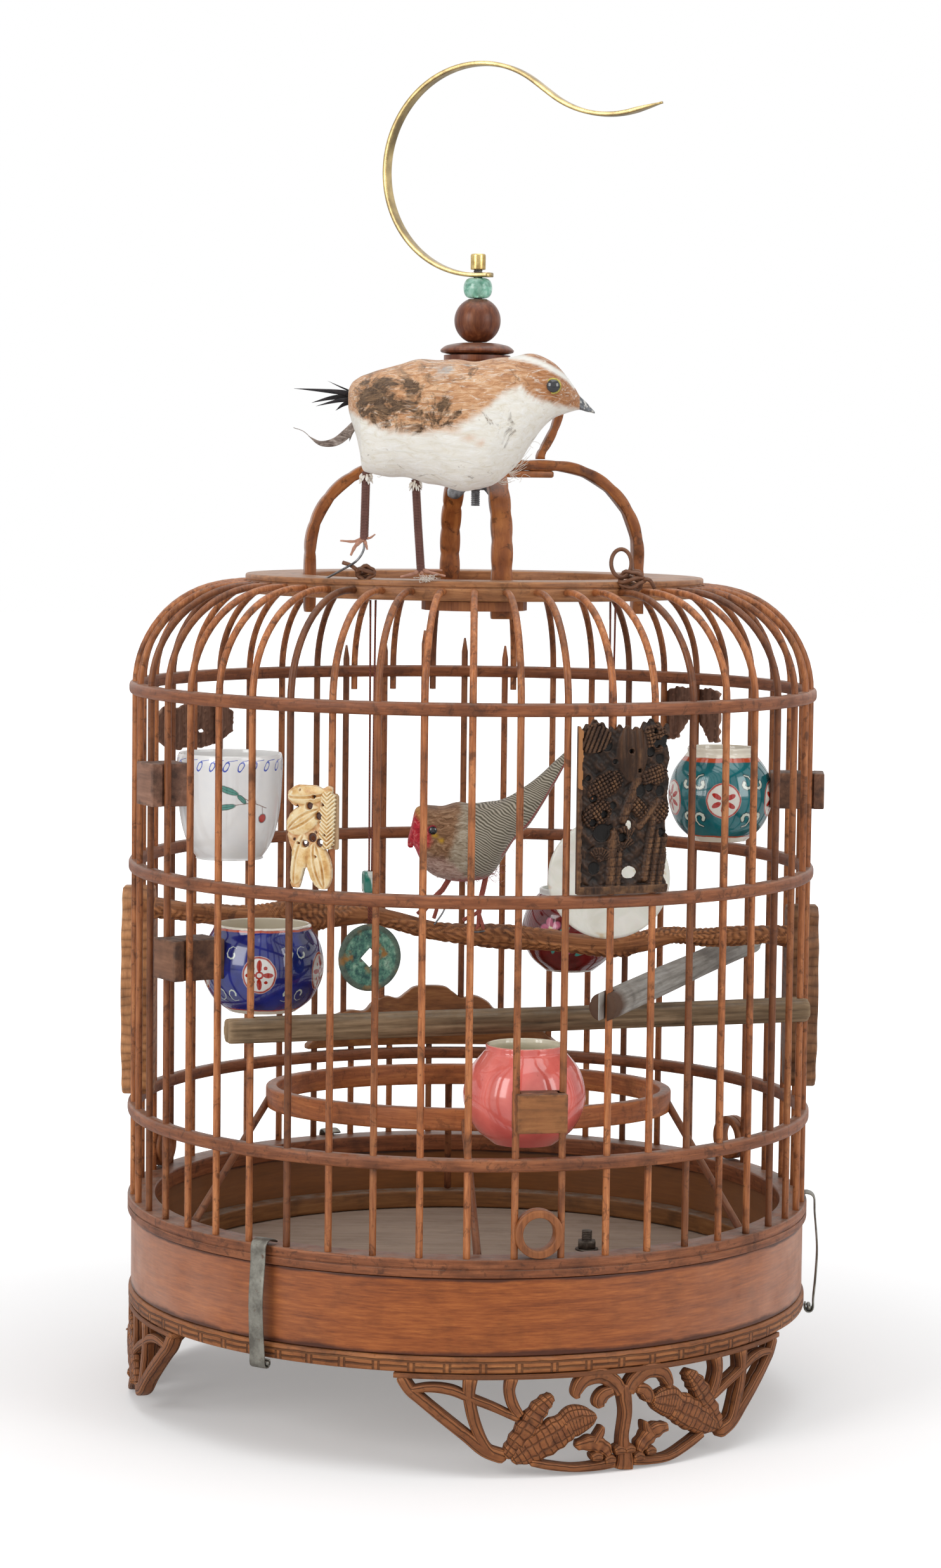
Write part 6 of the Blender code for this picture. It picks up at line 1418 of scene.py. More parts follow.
# White cup: blue loops under the lip, and a spray of leaves with one berry.
finish, colour, grid = glaze("white_glaze_sprig", (0.95, 0.95, 0.93), (0.90, 0.91, 0.91), 0.2420, 0.0450,
                             0.0215, 1, 0.58)
loops = [(step * 5.8 - 34.8, 40.6, 2.5, 1.2, 1.15, 0.60) for step in range(13)]
links = [(step * 5.8 - 34.2, 42.9, step * 5.8 - 30.4, 43.4, 0.18) for step in range(13)]
stems = [(18, 23, 11, 25.4, 0.28), (11, 25.4, 4.6, 29, 0.28), (11, 25.4, 3.4, 24.4, 0.26),
         (13, 24.8, 11.4, 31, 0.2), (16, 23.6, 16.4, 20.4, 0.24)]
leaves = [(0.8, 30.8, 4.9, 1.25, -0.39, 0), (-0.4, 23.6, 4.4, 1.1, 0.18, 0), (10.6, 33.2, 3.0, 0.8, 1.85, 0),
          (6.4, 27.0, 2.8, 0.9, -0.75, 0)]
outlines = [(x, y, wide + 0.35, tall + 0.35, lean, 0) for x, y, wide, tall, lean, _ in leaves]
veins = [(x - 0.8 * wide * math.cos(lean), y - 0.8 * wide * math.sin(lean), x + 0.8 * wide * math.cos(lean),
          y + 0.8 * wide * math.sin(lean), 0.14) for x, y, wide, tall, lean, _ in leaves]
colour = painted(grid, colour, ((0.06, 0.11, 0.55), loops, links, 0.10), ((0.20, 0.075, 0.045), (), stems),
                 ((0.03, 0.06, 0.05), outlines + [(16.4, 18.6, 2.1, 2.3, 0, 0)]),
                 ((0.10, 0.34, 0.28), leaves), ((0.02, 0.07, 0.06), (), veins, 0.12),
                 ((0.55, 0.045, 0.030), [(16.4, 18.6, 1.75, 1.95, 0, 0)]))
fit(thrown("white_cup_porcelain", -63.75, 0.115, 0.0232, 0.2420, 0.0450, cup_way, 0.035),
    finished(grid, finish, colour), "cage", "white_glaze", "white_cup")


def scrolls(across, radius, sweep, half, tilt, upper, lower):
    """Four curls, one in each corner between two ovals, that wind away from one another."""
    rows = [curl(side * across, height, radius, start, side * turn, half) for side in (-1, 1)
            for height, start, turn in ((upper, 90 + side * tilt, sweep), (lower, -90 - side * tilt, -sweep))]
    return [row for curled in rows for row in curled]


# Blue pot: cobalt with white ovals, each holding a red four-armed rosette, and pale scrolls between.
finish, colour, grid = glaze("blue_glaze_scrolls", (0.018, 0.030, 0.24), (0.008, 0.012, 0.11), 0.1780, 0.0370,
                             0.0255, 5, 0.63)
red_marks = [(0, 22.2, 1.2, 2.6, 0, 0), (0, 14.2, 1.2, 2.6, 0, 0), (3.6, 18.2, 2.4, 1.1, 0, 0),
             (-3.6, 18.2, 2.4, 1.1, 0, 0), (0, 18.2, 1.9, 1.9, 0, 0.45)] + [
                 (x, y, 0.8, 0.8, 0, 0) for y in (21.2, 15.2) for x in (2.7, -2.7)]
colour = painted(grid, colour, ((0.60, 0.66, 0.58), (), scrolls(12.4, 2.4, 250, 0.42, 150, 26.6, 9.4)),
                 ((0.80, 0.79, 0.75), [(0, 18.2, 7.4, 8.2, 0, 0)], (), 0.05),
                 ((0.40, 0.030, 0.014), [(0, 18.2, 7.3, 8.1, 0, 0.84)], (), 0.06),
                 ((0.42, 0.025, 0.012), red_marks, (), 0.12), (cream, 36.2, 40, 0.3),
                 (orange_line, 35.2, 36.4, 0.3), (cream, -1, 1.9, 0.3), (orange_line, 1.6, 2.4, 0.3))
fit(thrown("blue_pot_porcelain", -56.25, 0.106, 0.0260, 0.1780, 0.0370, bowl_way),
    finished(grid, finish, colour, cream), "cage", "blue_glaze", "blue_bowl")

# Teal pot: white ovals ringed in red on a deep teal, white commas between, cream neck and foot.
finish, colour, grid = glaze("teal_glaze_commas", (0.004, 0.165, 0.185), (0.002, 0.105, 0.125), 0.2480,
                             0.0410, 0.0220, 5, 0.62)
commas = scrolls(10.4, 2.6, 230, 0.62, 140, 26.4, 11.0)
petals = [(3.5 * math.cos(turn), 19.0 + 3.7 * math.sin(turn), 2.3, 1.15, turn, 0)
          for turn in np.arange(6) * math.pi / 3 + 0.5]
colour = painted(grid, colour, ((0.004, 0.045, 0.055), (), [(*row[:4], row[4] + 0.45) for row in commas]),
                 ((0.66, 0.72, 0.62), (), commas),
                 ((0.78, 0.76, 0.68), [(0, 19.0, 7.6, 8.0, 0, 0)], (), 0.05),
                 ((0.46, 0.03, 0.02), petals + [(0, 19, 1.0, 1.0, 0, 0)], (), 0.14),
                 ((0.46, 0.03, 0.02), [(0, 19.0, 7.6, 8.0, 0, 0.85)], (), 0.06), (cream, 36.8, 44, 0.3),
                 (orange_line, 35.0, 37.1, 0.3), (cream, -1, 2.6, 0.3), (orange_line, 2.3, 3.2, 0.3))
fit(thrown("teal_pot_porcelain", 86.25, 0.109, 0.0228, 0.2480, 0.0410, pot_way),
    finished(grid, finish, colour, cream), "cage", "teal_glaze", "teal_pot")

# Red pot: pink blossoms with dark outlines and turquoise leaves on deep red.
finish, colour, grid = glaze("red_glaze_blossoms", (0.20, 0.010, 0.012), (0.10, 0.004, 0.006), 0.1765, 0.0385,
                             0.0215, 3, 0.62)
blooms, bloom_edges, hearts = [], [], []
for x, y, size in ((-9.5, 21.5, 3.4), (2.0, 27.0, 3.0), (11.5, 16.0, 3.2), (-1.5, 13.5, 2.6)):
    for turn in np.arange(5) * 2 * math.pi / 5 + x:
        place = (x + size * 0.85 * math.cos(turn), y + size * 0.85 * math.sin(turn))
        blooms.append((*place, size * 0.80, size * 0.62, turn, 0))
        bloom_edges.append((*place, size * 0.98, size * 0.80, turn, 0))
    hearts.append((x, y, size * 0.34, size * 0.34, 0, 0))
green_leaves = [(-3.6, 20.5, 3.8, 1.5, 0.6, 0), (7.6, 22.8, 3.6, 1.4, -0.7, 0), (5.0, 10.4, 3.4, 1.3, 0.4, 0),
                (-8.4, 12.6, 3.4, 1.4, 1.3, 0)]
colour = painted(grid, colour, ((0.05, 0.006, 0.012), bloom_edges), ((0.72, 0.17, 0.30), blooms, (), 0.35),
                 ((0.06, 0.42, 0.36), green_leaves, (), 0.3), ((0.78, 0.62, 0.30), hearts),
                 ((0.74, 0.74, 0.70), 35.6, 44, 0.3), ((0.70, 0.68, 0.62), -1, 1.2, 0.3))
fit(thrown("red_pot_porcelain", 153.75, 0.105, 0.0223, 0.1765, 0.0385, pot_way),
    finished(grid, finish, colour, (0.66, 0.68, 0.60)), "cage", "red_glaze", "red_pot")

# Pink pot: plain coral glaze, deeper towards the foot, thin at the lip, over a cream body seen inside.
finish, colour, grid = glaze("coral_glaze", (0.90, 0.205, 0.165), (0.80, 0.150, 0.125), 0.1325, 0.0410,
                             0.0240, 1, 0.62, 0.12)
tree, outside, across, up = grid
low_mask = calc(tree, "DIVIDE", calc(tree, "SUBTRACT", 13.0, up), 13.0, clamp=True)
speck = calc(tree, "GREATER_THAN", noise(tree, spot(tree), 650.0, 2.0), 0.72)
for drawn, amount, pigment in ((low_mask, 0.6, (0.52, 0.065, 0.065)), (speck, 0.35, (0.50, 0.06, 0.05))):
    colour = mix(tree, times(tree, times(tree, drawn, outside), amount), colour, pigment)
colour = painted(grid, colour, ((0.74, 0.48, 0.34), 40.6, 43, 0.5))
fit(thrown("pink_pot_porcelain", 11.25, 0.118, 0.0252, 0.1325, 0.0410, pot_way),
    finished(grid, finish, colour, (0.86, 0.80, 0.62)), "cage", "pink_glaze", "pink_pot")

# The blocks: sawn from dark hardwood, grooved on both sides for the ribs, rounded by handling, and darker
# round the edges of the outer face.
brown_block = ((0.060, 0.023, 0.012), (0.150, 0.063, 0.032), (0.270, 0.128, 0.070))
pale_block = ((0.100, 0.042, 0.025), (0.240, 0.112, 0.068), (0.38, 0.205, 0.138))
orange_block = ((0.085, 0.028, 0.010), (0.230, 0.082, 0.026), (0.36, 0.150, 0.050))
rim_neck = rib_line * math.sin(math.pi / rib_count) - 0.0018
for name, heading, near, half, low, high, tones in (
        ("white_cup", -63.75, 0.1368, 0.0093, 0.2656, 0.2837, pale_block),
        ("blue_bowl", -56.25, 0.1300, 0.0093, 0.1940, 0.2110, brown_block),
        ("teal_pot", 86.25, 0.1306, 0.0093, 0.2630, 0.2785, brown_block),
        ("red_pot", 153.75, 0.1262, 0.0093, 0.1900, 0.2050, brown_block),
        ("pink_pot", 11.25, 0.1420, 0.0104, 0.1424, 0.1582, orange_block)):
    groove_near, groove_far = rib_line - 0.0018, rib_line + 0.0018
    corners = [(half, -near), (half, -groove_near), (rim_neck, -groove_near), (rim_neck, -groove_far),
               (half, -groove_far), (half, -0.1540)]
    corners += [(-x, y) for x, y in reversed(corners)]
    plan = round_corners(corners, np.array([0.0006, 0.0004, 0.0003, 0.0003, 0.0004, 0.0008] + [
        0.0008, 0.0004, 0.0003, 0.0003, 0.0004, 0.0006]), 3)
    angle = np.radians(heading)
    place = lambda flat, depth: np.stack([flat[:, 0] * np.cos(angle) - flat[:, 1] * np.sin(angle),
                                          flat[:, 0] * np.sin(angle) + flat[:, 1] * np.cos(angle),
                                          np.full(len(flat), depth)], -1)
    finish = bamboo(name + "_block_finish", *tones, run="Around", fine=0.8, dust=0.4, rough=0.55, stain=0.6,
                    worn=0.4, bump=0.4)
    tree, shader, colour = base_colour(finish)
    here = spot(tree)
    x, y, _ = xyz_of(tree, here)
    sideways = calc(tree, "MULTIPLY_ADD", x, math.cos(angle), times(tree, y, math.sin(angle)))
    border = most(tree,
                  calc(tree, "ABSOLUTE", calc(tree, "MULTIPLY_ADD", height_in(tree, low, high), 2.0, -1.0)),
                  calc(tree, "DIVIDE", calc(tree, "ABSOLUTE", sideways), half))
    border = calc(tree, "MULTIPLY_ADD", noise(tree, here, 190.0, 4.0, 0.6), 0.9,
                  calc(tree, "SUBTRACT", border, 1.28))
    border = times(tree, border, 3.2, clamp=True)
    wire(shader, Base_Color=mix(tree, times(tree, border, 0.75), colour, (0.016, 0.009, 0.007)))
    fit(slab(name + "_block_wood", plan, place, edged(low, high, 0.0006)), finish, "cage", "dark_bamboo",
        name + "_block")


# Four carved plaques are wedged or glued outside the ribs: one of yellowed ivory-coloured bone, and three
# of dark hardwood. Each was sawn to a bent board, drilled, pierced, and carved in relief.
def carved_board(name, heading, half, low, tall, cell, solid, front, back=None, inner=0.1493, outer=0.1525):
    """A bent board with its outline, piercings and relief. solid says which cells of a fine grid hold
    material, and front and back give the depth of the carving there, from 0 to 1. The outline's
    points are drawn towards their neighbours three times, so it runs smooth."""
    columns, rows = int(2 * half / cell), int(tall / cell)
    x, y = np.meshgrid(np.linspace(-half, half, columns + 1), np.linspace(0, tall, rows + 1))
    middle_x, middle_y = (x[:-1, :-1] + x[1:, 1:]) / 2, (y[:-1, :-1] + y[1:, 1:]) / 2
    cells = solid(middle_x, middle_y)
    index = np.arange(x.size).reshape(x.shape)
    walls = []
    padded = np.pad(cells, 1)
    for beside, first, second in ((padded[:-2, 1:-1], index[:-1, :-1], index[:-1, 1:]),
                                  (padded[2:, 1:-1], index[1:, 1:], index[1:, :-1]),
                                  (padded[1:-1, :-2], index[1:, :-1], index[:-1, :-1]),
                                  (padded[1:-1, 2:], index[:-1, 1:], index[1:, 1:])):
        edge = cells & ~beside
        walls.append(np.stack([first[edge], second[edge]], -1))
    walls = np.concatenate(walls)
    flat = np.stack([x.ravel(), y.ravel()], -1)
    for _ in range(3):
        total, count = np.zeros_like(flat), np.zeros(len(flat))
        for a, b in ((0, 1), (1, 0)):
            np.add.at(total, walls[:, a], flat[walls[:, b]])
            np.add.at(count, walls[:, a], 1)
        edge = count > 0
        flat[edge] = 0.5 * flat[edge] + 0.5 * total[edge] / count[edge, None]
    turn = np.radians(heading) + flat[:, 0] / 1000 / outer
    out = outer - 0.0030 * np.clip(front(flat[:, 0], flat[:, 1]), 0, 1) * (outer - inner) / 0.0032
    inn = inner + 0.0010 * (0 if back is None else np.clip(back(flat[:, 0], flat[:, 1]), 0, 1))
    inn = np.minimum(inn, out - 0.0004)
    points = np.concatenate([np.stack([r * np.sin(turn), -r * np.cos(turn), low + flat[:, 1] / 1000], -1)
                             for r in (out, np.broadcast_to(inn, out.shape))])
    quads = np.stack([index[:-1, :-1], index[:-1, 1:], index[1:, 1:], index[1:, :-1]], -1)[cells]
    below = quads[:, ::-1] + x.size
    sides = np.concatenate([walls[:, ::-1], walls + x.size], -1)
    faces = np.concatenate([quads, below, sides])
    used, faces = np.unique(faces, return_inverse=True)
    tone = np.concatenate([front(flat[:, 0], flat[:, 1]), np.full(len(flat), 0.4)])
    return mesh_from(name, points[used], faces.reshape(-1, 4).tolist(), None, tone[used])


def dome(x, y, middle_x, middle_y, wide, tall, lean=0.0):
    """1 in the middle of a leaning oval, falling to 0 at its edge and below 0 outside."""
    a, b = math.cos(lean), math.sin(lean)
    along, across = (x - middle_x) * a + (y - middle_y) * b, (y - middle_y) * a - (x - middle_x) * b
    return 1 - (along / wide) ** 2 - (across / tall) ** 2


def bar_at(x, y, x0, y0, x1, y1, half):
    """1 on the line from one point to the other, 0 at half a width from it, below 0 beyond."""
    share = np.clip(((x - x0) * (x1 - x0) + (y - y0) * (y1 - y0)) / ((x1 - x0) ** 2 + (y1 - y0) ** 2), 0, 1)
    return 1 - np.hypot(x - x0 - share * (x1 - x0), y - y0 - share * (y1 - y0)) / half


def rough(x, y, pitch, seed=0.0):
    """Uneven tool marks: three waves that cross at odd angles, from 0 to 1."""
    a = np.sin(x * 2.1 / pitch + 1.7 * np.sin(y * 1.3 / pitch + seed))
    b = np.sin(y * 2.7 / pitch + 1.9 * np.sin(x * 1.1 / pitch + 2 * seed))
    c = np.sin((x + y) * 1.9 / pitch + seed)
    return 0.5 + (a + b + c) / 6


# Ivory plaque: a leafy block above, two split pods, a pine frond and a lobed leaf, with drilled holes.
def ivory_solid(x, y):
    """Where the ivory board holds material: its leaves, pods and stems, less the drilled holes."""
    sheet = (dome(x, y, -2, 37.5, 9.2, 5.2) > 0) | (
        (np.abs(x - 0.5) < 9.0) & (y > 35.2) & (y < 41.6 + 0.6 * np.sin(x)))
    sheet |= (dome(x, y, -3.4, 28.2, 9.2, 5.8, 0.55) > 0) | (dome(x, y, 5.0, 34.0, 5.4, 4.8) > 0)
    sheet |= bar_at(x, y, 8.2, 37, 7.4, 19.5, 2.9 + 0.5 * np.sin(3.8 * y)) > 0
    sheet |= (dome(x, y, 0, 22.5, 9.0, 4.8) > 0) | (bar_at(x, y, -7.0, 21.5, -3.4, 12.5, 4.0) > 0)
    sheet |= (bar_at(x, y, -4.4, 15, -7.2, 1.8, 3.4 - 0.09 * (15 - y)) > 0) | (
        dome(x, y, 3.8, 9.6, 5.4, 9.8, 0.24) > 0)
    for hx, hy, size in ((0.4, 20.6, 1.05), (-3.0, 19.0, 0.9), (4.4, 19.4, 1.0), (2.2, 23.2, 0.7)):
        sheet &= np.hypot(x - hx, y - hy) > size
    return sheet & (y > 0.2) & (y < 42.2)


def ivory_depth(x, y):
    """How deep the ivory is cut: leaves stand up by the root of their dome, folds and pits go in."""
    deep = 0.55 + 0.25 * rough(x, y, 1.3, 0.6)
    for middle_x, middle_y, wide, tall, lean, creases in (
        (-3.4, 28.2, 8.8, 5.4, 0.55, (-1.5, 1.5)), (3.8, 9.6, 9.6, 5.2, 1.81, (-1.6, 1.4)),
        (-2, 38.2, 9.0, 3.8, 0.1, (-1.0,)), (-5.4, 12.0, 10.6, 4.0, 1.36, (1.0,))):
        height = np.clip(dome(x, y, middle_x, middle_y, wide, tall, lean), 0, 1)
        along = ((x - middle_x) * math.cos(lean) + (y - middle_y) * math.sin(lean)) / wide
        across = (y - middle_y) * math.cos(lean) - (x - middle_x) * math.sin(lean)
        fold = sum(np.exp(-((across - crease * (1 - 0.9 * along ** 2)) / 0.42) ** 2) for crease in creases)
        raised = np.minimum(deep, 0.62 - 0.60 * np.sqrt(height)) + 0.42 * fold * np.clip(3 * height, 0, 1)
        deep = np.where(height > 0, raised, deep)
    frond = bar_at(x, y, 8.2, 37, 7.4, 19.5, 3.3)
    vein = np.abs(np.sin(1.9 * (y - 0.9 * np.abs(x - 7.8))))
    deep = np.where(frond > 0, 0.10 + 0.42 * (1 - vein) ** 2 + 0.3 * np.clip(0.3 - frond, 0, 1), deep)
    for hx, hy, size in ((-0.6, 33.8, 1.7), (3.6, 29.8, 1.7), (-6.6, 33.4, 0.6), (1.6, 37.6, 0.9),
                         (-7.8, 20.0, 0.6), (-5.6, 18.6, 0.65), (0.6, 21.0, 2.0), (-2.6, 18.4, 1.7),
                         (4.2, 19.0, 1.9), (6.6, 22.4, 0.6), (5.6, 34.6, 0.8), (-4.6, 40.2, 0.5),
                         (2.6, 13.4, 0.7)):
        deep = deep + np.clip(4 * (1 - np.hypot(x - hx, y - hy) / size), 0, 1.2)
    return deep


ivory, tree, shader = new_finish("old_ivory")
here = spot(tree)
cloud = noise(tree, here, 190.0, 5.0, 0.65)
colour = ramp(tree, cloud, (0.32, (0.55, 0.27, 0.075)), (0.46, (0.74, 0.48, 0.19)),
              (0.62, (0.86, 0.68, 0.40)))
edge = node(tree, "NewGeometry").outputs["Pointiness"]
colour = mix(tree, past(tree, edge, 0.505, 16.0), colour, (0.88, 0.76, 0.52))
depth = mask(tree, "tone")
colour = mix(tree, past(tree, depth, 0.46, 2.4), colour, (0.52, 0.19, 0.045))
colour = mix(tree, past(tree, depth, 0.86, 8.0), colour, (0.075, 0.022, 0.010))
wire(shader, Base_Color=colour, Roughness=calc(tree, "MULTIPLY_ADD", cloud, 0.3, 0.22),
     Normal=bumped(tree, noise(tree, here, 420.0, 4.0), 0.3, 0.0004))
ivory_board = carved_board("ivory_openwork", -25.5, 12.1, 0.2385, 42.5, 0.26, ivory_solid, ivory_depth)
fit(ivory_board, ivory, "cage", "ivory", "ivory_plaque")


def backing_solid(x, y):
    """A strip down the right side, with a wavy top."""
    return (x > 9.9) & (y > 16.5) & (y < 39.0 + 0.4 * np.sin(3 * x))


backing = carved_board("ivory_backing", -25.5, 12.1, 0.2385, 42.5, 0.5, backing_solid,
                       lambda x, y: 0.50 + 0.06 * np.sin(9 * x), None, 0.1493, 0.1512)
fit(backing, bamboo("pale_backing", (0.26, 0.15, 0.075), (0.42, 0.27, 0.15), (0.55, 0.40, 0.25), run="Upward",
                    dust=0.3, rough=0.55), "cage", "ivory")


# Dark plaque: pine trunk and needle fans over reeds, rocks drilled full of holes, a fold of falling water,
# and a plain strip left along its foot and its left side.
pits = [(-12.5, 59.2, 1.9), (-8.2, 59.8, 1.8), (14.5, 60.3, 1.6), (18.2, 61.3, 2.1), (11.7, 57.1, 1.7),
        (16.4, 54.2, 1.6), (-14.1, 38.6, 1.3), (7.0, 41.4, 2.1), (11.4, 42.7, 1.4), (16.6, 41.0, 1.7),
        (-9.5, 32.3, 1.4), (-5.4, 35.7, 1.2), (-14.1, 29.0, 1.4), (-10.0, 24.8, 3.1), (-1.0, 22.7, 1.6),
        (17.0, 24.0, 1.5), (-13.4, 10.5, 2.0), (13.4, 65.4, 0.9), (-4.6, 53.4, 0.8), (2.2, 57.6, 0.8),
        (-6.4, 27.0, 0.9), (6.4, 49.6, 0.7), (-16.4, 47.0, 0.9)]
scale_fans = [(-9, 44, 8.5, 5.0, 0.5), (-12.5, 32.5, 7.0, 5.0, 0.6), (13.6, 47.5, 6.4, 4.2, 0.3),
              (15.5, 33, 5.2, 5.0, 0.9), (6, 34.6, 6.2, 3.4, -0.8), (13.2, 62.5, 6.4, 5.8, 0.2),
              (-14, 64.6, 5.6, 4.8, 0.3)]


def dark_solid(x, y):
    """The dark board's uneven outline, less four holes that go right through."""
    top = 68.6 + 1.5 * np.sin(0.50 * x + 2.0) + 0.9 * np.sin(1.7 * x) - 2.6 * np.exp(-((x + 0.5) / 4.5) ** 2)
    right = 20.4 + 0.5 * np.sin(0.6 * y) - 1.1 * (y < 30)
    sheet = (y < top) & (x < right)
    for hx, hy, wide, tall in ((2.4, 8.4, 3.6, 2.5), (2.0, 27.6, 1.5, 2.0), (8.0, 32.8, 0.6, 1.2),
                               (-14.1, 38.6, 0.5, 0.5)):
        sheet &= ((x - hx) / wide) ** 2 + ((y - hy) / tall) ** 2 * (1 + 0.15 * np.sin(6 * x)) > 1
    return sheet


def dark_depth(x, y):
    """How deep the dark board is cut, laid motif by motif: scales, water, canes, needles, pits."""
    deep = 0.62 + 0.34 * rough(x, y, 2.6, 0.3) - 0.12 * rough(x, y, 0.9, 1.1)
    for fan in scale_fans:
        height = np.clip(dome(x, y, *fan), 0, 1)
        lean = fan[4]
        along, across = x * math.cos(lean) + y * math.sin(lean), y * math.cos(lean) - x * math.sin(lean)
        net = np.minimum(np.abs(np.sin(2.1 * along)), np.abs(np.sin(2.1 * across)))
        deep = np.where(height > 0, np.minimum(deep, 0.46 - 0.36 * np.sqrt(height) + 0.40 * (net < 0.30)),
                        deep)
    fold = np.clip(dome(x, y, 3.0, 57.0, 7.2, 12.0), 0, 1)
    deep = np.where(fold > 0,
                    0.62 - 0.5 * np.sqrt(fold) * (0.45 + 0.55 * np.abs(np.sin(0.78 * x + 0.05 * y))), deep)
    for x0, y0, x1, y1, half, beat in ((-6.2, 3.5, -5.4, 24.5, 2.2, 0.85), (-3.0, 3.5, -2.4, 16.0, 1.4, 0.85),
                                       (16.2, 4, 18.8, 22.0, 1.8, 1.4), (12.6, 4, 15.6, 24.0, 1.6, 1.4),
                                       (9.4, 6, 13.0, 30.0, 1.6, 1.4), (-1, 30, 5.5, 46, 2.0, 0.6),
                                       (6.6, 27, 15, 37, 1.5, 0.8)):
        cane = np.clip(bar_at(x, y, x0, y0, x1, y1, half), 0, 1)
        joint = 0.12 * (np.abs(np.sin(beat * y)) < 0.18) + 0.10 * (np.abs(np.sin(3.4 * x - 0.5 * y)) < 0.25)
        deep = np.where(cane > 0, np.minimum(deep, 0.50 - 0.42 * np.sqrt(cane) + joint), deep)
    for middle_x, middle_y, reach, start, stop in (
        (-2.0, 16.6, 7.5, 0.6, 2.5), (0.8, 20.5, 7.0, 0.9, 2.2), (-11.5, 13.0, 6.0, 0.3, 2.4)):
        angle, away = np.arctan2(y - middle_y, x - middle_x), np.hypot(x - middle_x, y - middle_y)
        needle = (away < reach) & (angle > start) & (angle < stop)
        deep = np.where(needle, np.minimum(deep, 0.25 + 0.28 * (np.abs(np.sin(13 * angle)) < 0.45)), deep)
    for hx, hy, size in pits:
        deep = deep + np.clip(5 * (1.25 - np.hypot(x - hx, y - hy) / size), 0, 1)
    deep = np.where(y < 3.4, 0.10 + 0.04 * rough(x, y, 1.2), deep)
    slant = dome(x, y, -14, 62.5, 7.5, 5.4, 0.3)
    deep = np.where(slant > 0, 0.22 + 0.34 * (np.sin(3.2 * x - 1.3 * y) > 0.45), deep)
    return np.where(x < -19.0 - 0.8 * rough(x, y, 3.0),
                    np.where(y > 40 + 5 * rough(x, y, 2.0), -0.6, 0.12 + 0.03 * np.sin(2 * y)), deep)


dark_finish = bamboo("blackened_carving", (0.018, 0.008, 0.005), (0.054, 0.025, 0.013), (0.125, 0.058, 0.028),
                     run="Upward", fine=1.0, dust=0.06, rough=0.36, stain=0.6, worn=0.35, bump=0.5,
                     grey=(0.16, 0.12, 0.09))
tree, shader, colour = base_colour(dark_finish)
depth = mask(tree, "tone")
tan = past(tree, 0.30, depth, 3.2)
wear_and_sheen = past(tree, noise(tree, spot(tree), 170.0, 5.0, 0.65), 0.42, 4.0)
colour = mix(tree, times(tree, tan, times(tree, wear_and_sheen, 0.75)), colour, (0.38, 0.185, 0.078))
colour = mix(tree, past(tree, depth, 0.52, 2.6), colour, (0.006, 0.004, 0.003))
colour = mix(tree, past(tree, -0.1, depth, 4.0), colour, (0.40, 0.175, 0.065))
wire(shader, Specular_IOR_Level=0.20, Base_Color=colour)
dark_board = carved_board("dark_pierced_carving", 24.2, 21.1, 0.2385, 70.5, 0.34, dark_solid, dark_depth)
fit(dark_board, dark_finish, "cage", "red_wood", "dark_plaque")


# Back plaques: shown from inside the cage, their rough sawn backs face the front. The left one is a bank of
# scrolling cloud, the right one two thick stems that bend together at the top.
def shares_edge(x, half, shares):
    """Lowest and highest edge at x, eased between the shares of the source's outline."""
    at, low, high = np.array(shares).T
    ease = lambda level: np.interp(x / half, at, level)
    return ease(low), ease(high)


left_way = [(-1, .30, .70), (-.7, .08, .95), (-.3, 0, .85), (0, .05, 1), (.3, 0, .85), (.7, .08, .95),
            (1, .30, .70)]
right_way = [(-1, 0, .92), (-.6, .02, 1), (-.2, .38, .96), (.2, .40, .97), (.6, .04, 1), (1, 0, .90)]


def cloud_solid(x, y):
    """A bank of cloud between its two edges, both scalloped by a sine, with two slits."""
    low, high = shares_edge(x, 31.9, left_way)
    scallop = 0.5 + 0.5 * np.abs(np.sin(0.55 * x))
    sheet = (y > low * 23 + 0.9 * (1 - scallop)) & (y < high * 23 - 1.2 * (1 - scallop))
    for hx, hy in ((-9, 8), (19, 12)):
        sheet &= ((x - hx) / 2.2) ** 2 + ((y - hy) / 0.8) ** 2 > 1
    return sheet


def stems_solid(x, y):
    """Two stems that meet above, with waves along their edges and four holes."""
    low, high = shares_edge(x, 16.5, right_way)
    sheet = (y > low * 26 + 0.5 * np.sin(1.9 * x)) & (y < high * 26 - 0.8 * np.abs(np.sin(0.9 * x)))
    for hx, hy, size in ((-7.4, 15.5, 0.8), (-9.2, 6.4, 0.7), (2.2, 19.6, 0.7), (9.8, 13.5, 0.8)):
        sheet &= np.hypot(x - hx, y - hy) > size
    return sheet


def sawn_back(x, y):
    """Upright ridges with deep grooves between them, as a gouge leaves them."""
    ridge = np.abs(np.sin(0.52 * x + 0.5 * np.sin(0.23 * y) + 0.4))
    return np.clip(1.15 - 1.1 * ridge ** 0.7 + 0.35 * rough(x, y, 1.5, 0.4), 0, 1)


def scroll_depth(x, y):
    """Rings round a row of middles, roughened by the tool."""
    curls = 0.5 + 0.5 * np.sin(1.5 * np.hypot((x % 9) - 4.5, y - 12))
    return 0.25 + 0.45 * curls + 0.12 * rough(x, y, 1.4)


back_finish = bamboo("rough_back_wood", (0.070, 0.033, 0.020), (0.175, 0.086, 0.054), (0.33, 0.185, 0.125),
                     run="Upward", fine=0.9, dust=0.5, rough=0.62, stain=0.55, worn=0.45, bump=0.6)
for name, heading, half, low, tall, solid in (("left_plaque", -120.0, 31.9, 0.2790, 23.0, cloud_solid),
                                              ("right_plaque", 136.4, 16.5, 0.2830, 26.0, stems_solid)):
    board = carved_board(name + "_carving", heading, half, low, tall, 0.42, solid, scroll_depth, sawn_back)
    fit(board, back_finish, "cage", "red_wood", name)


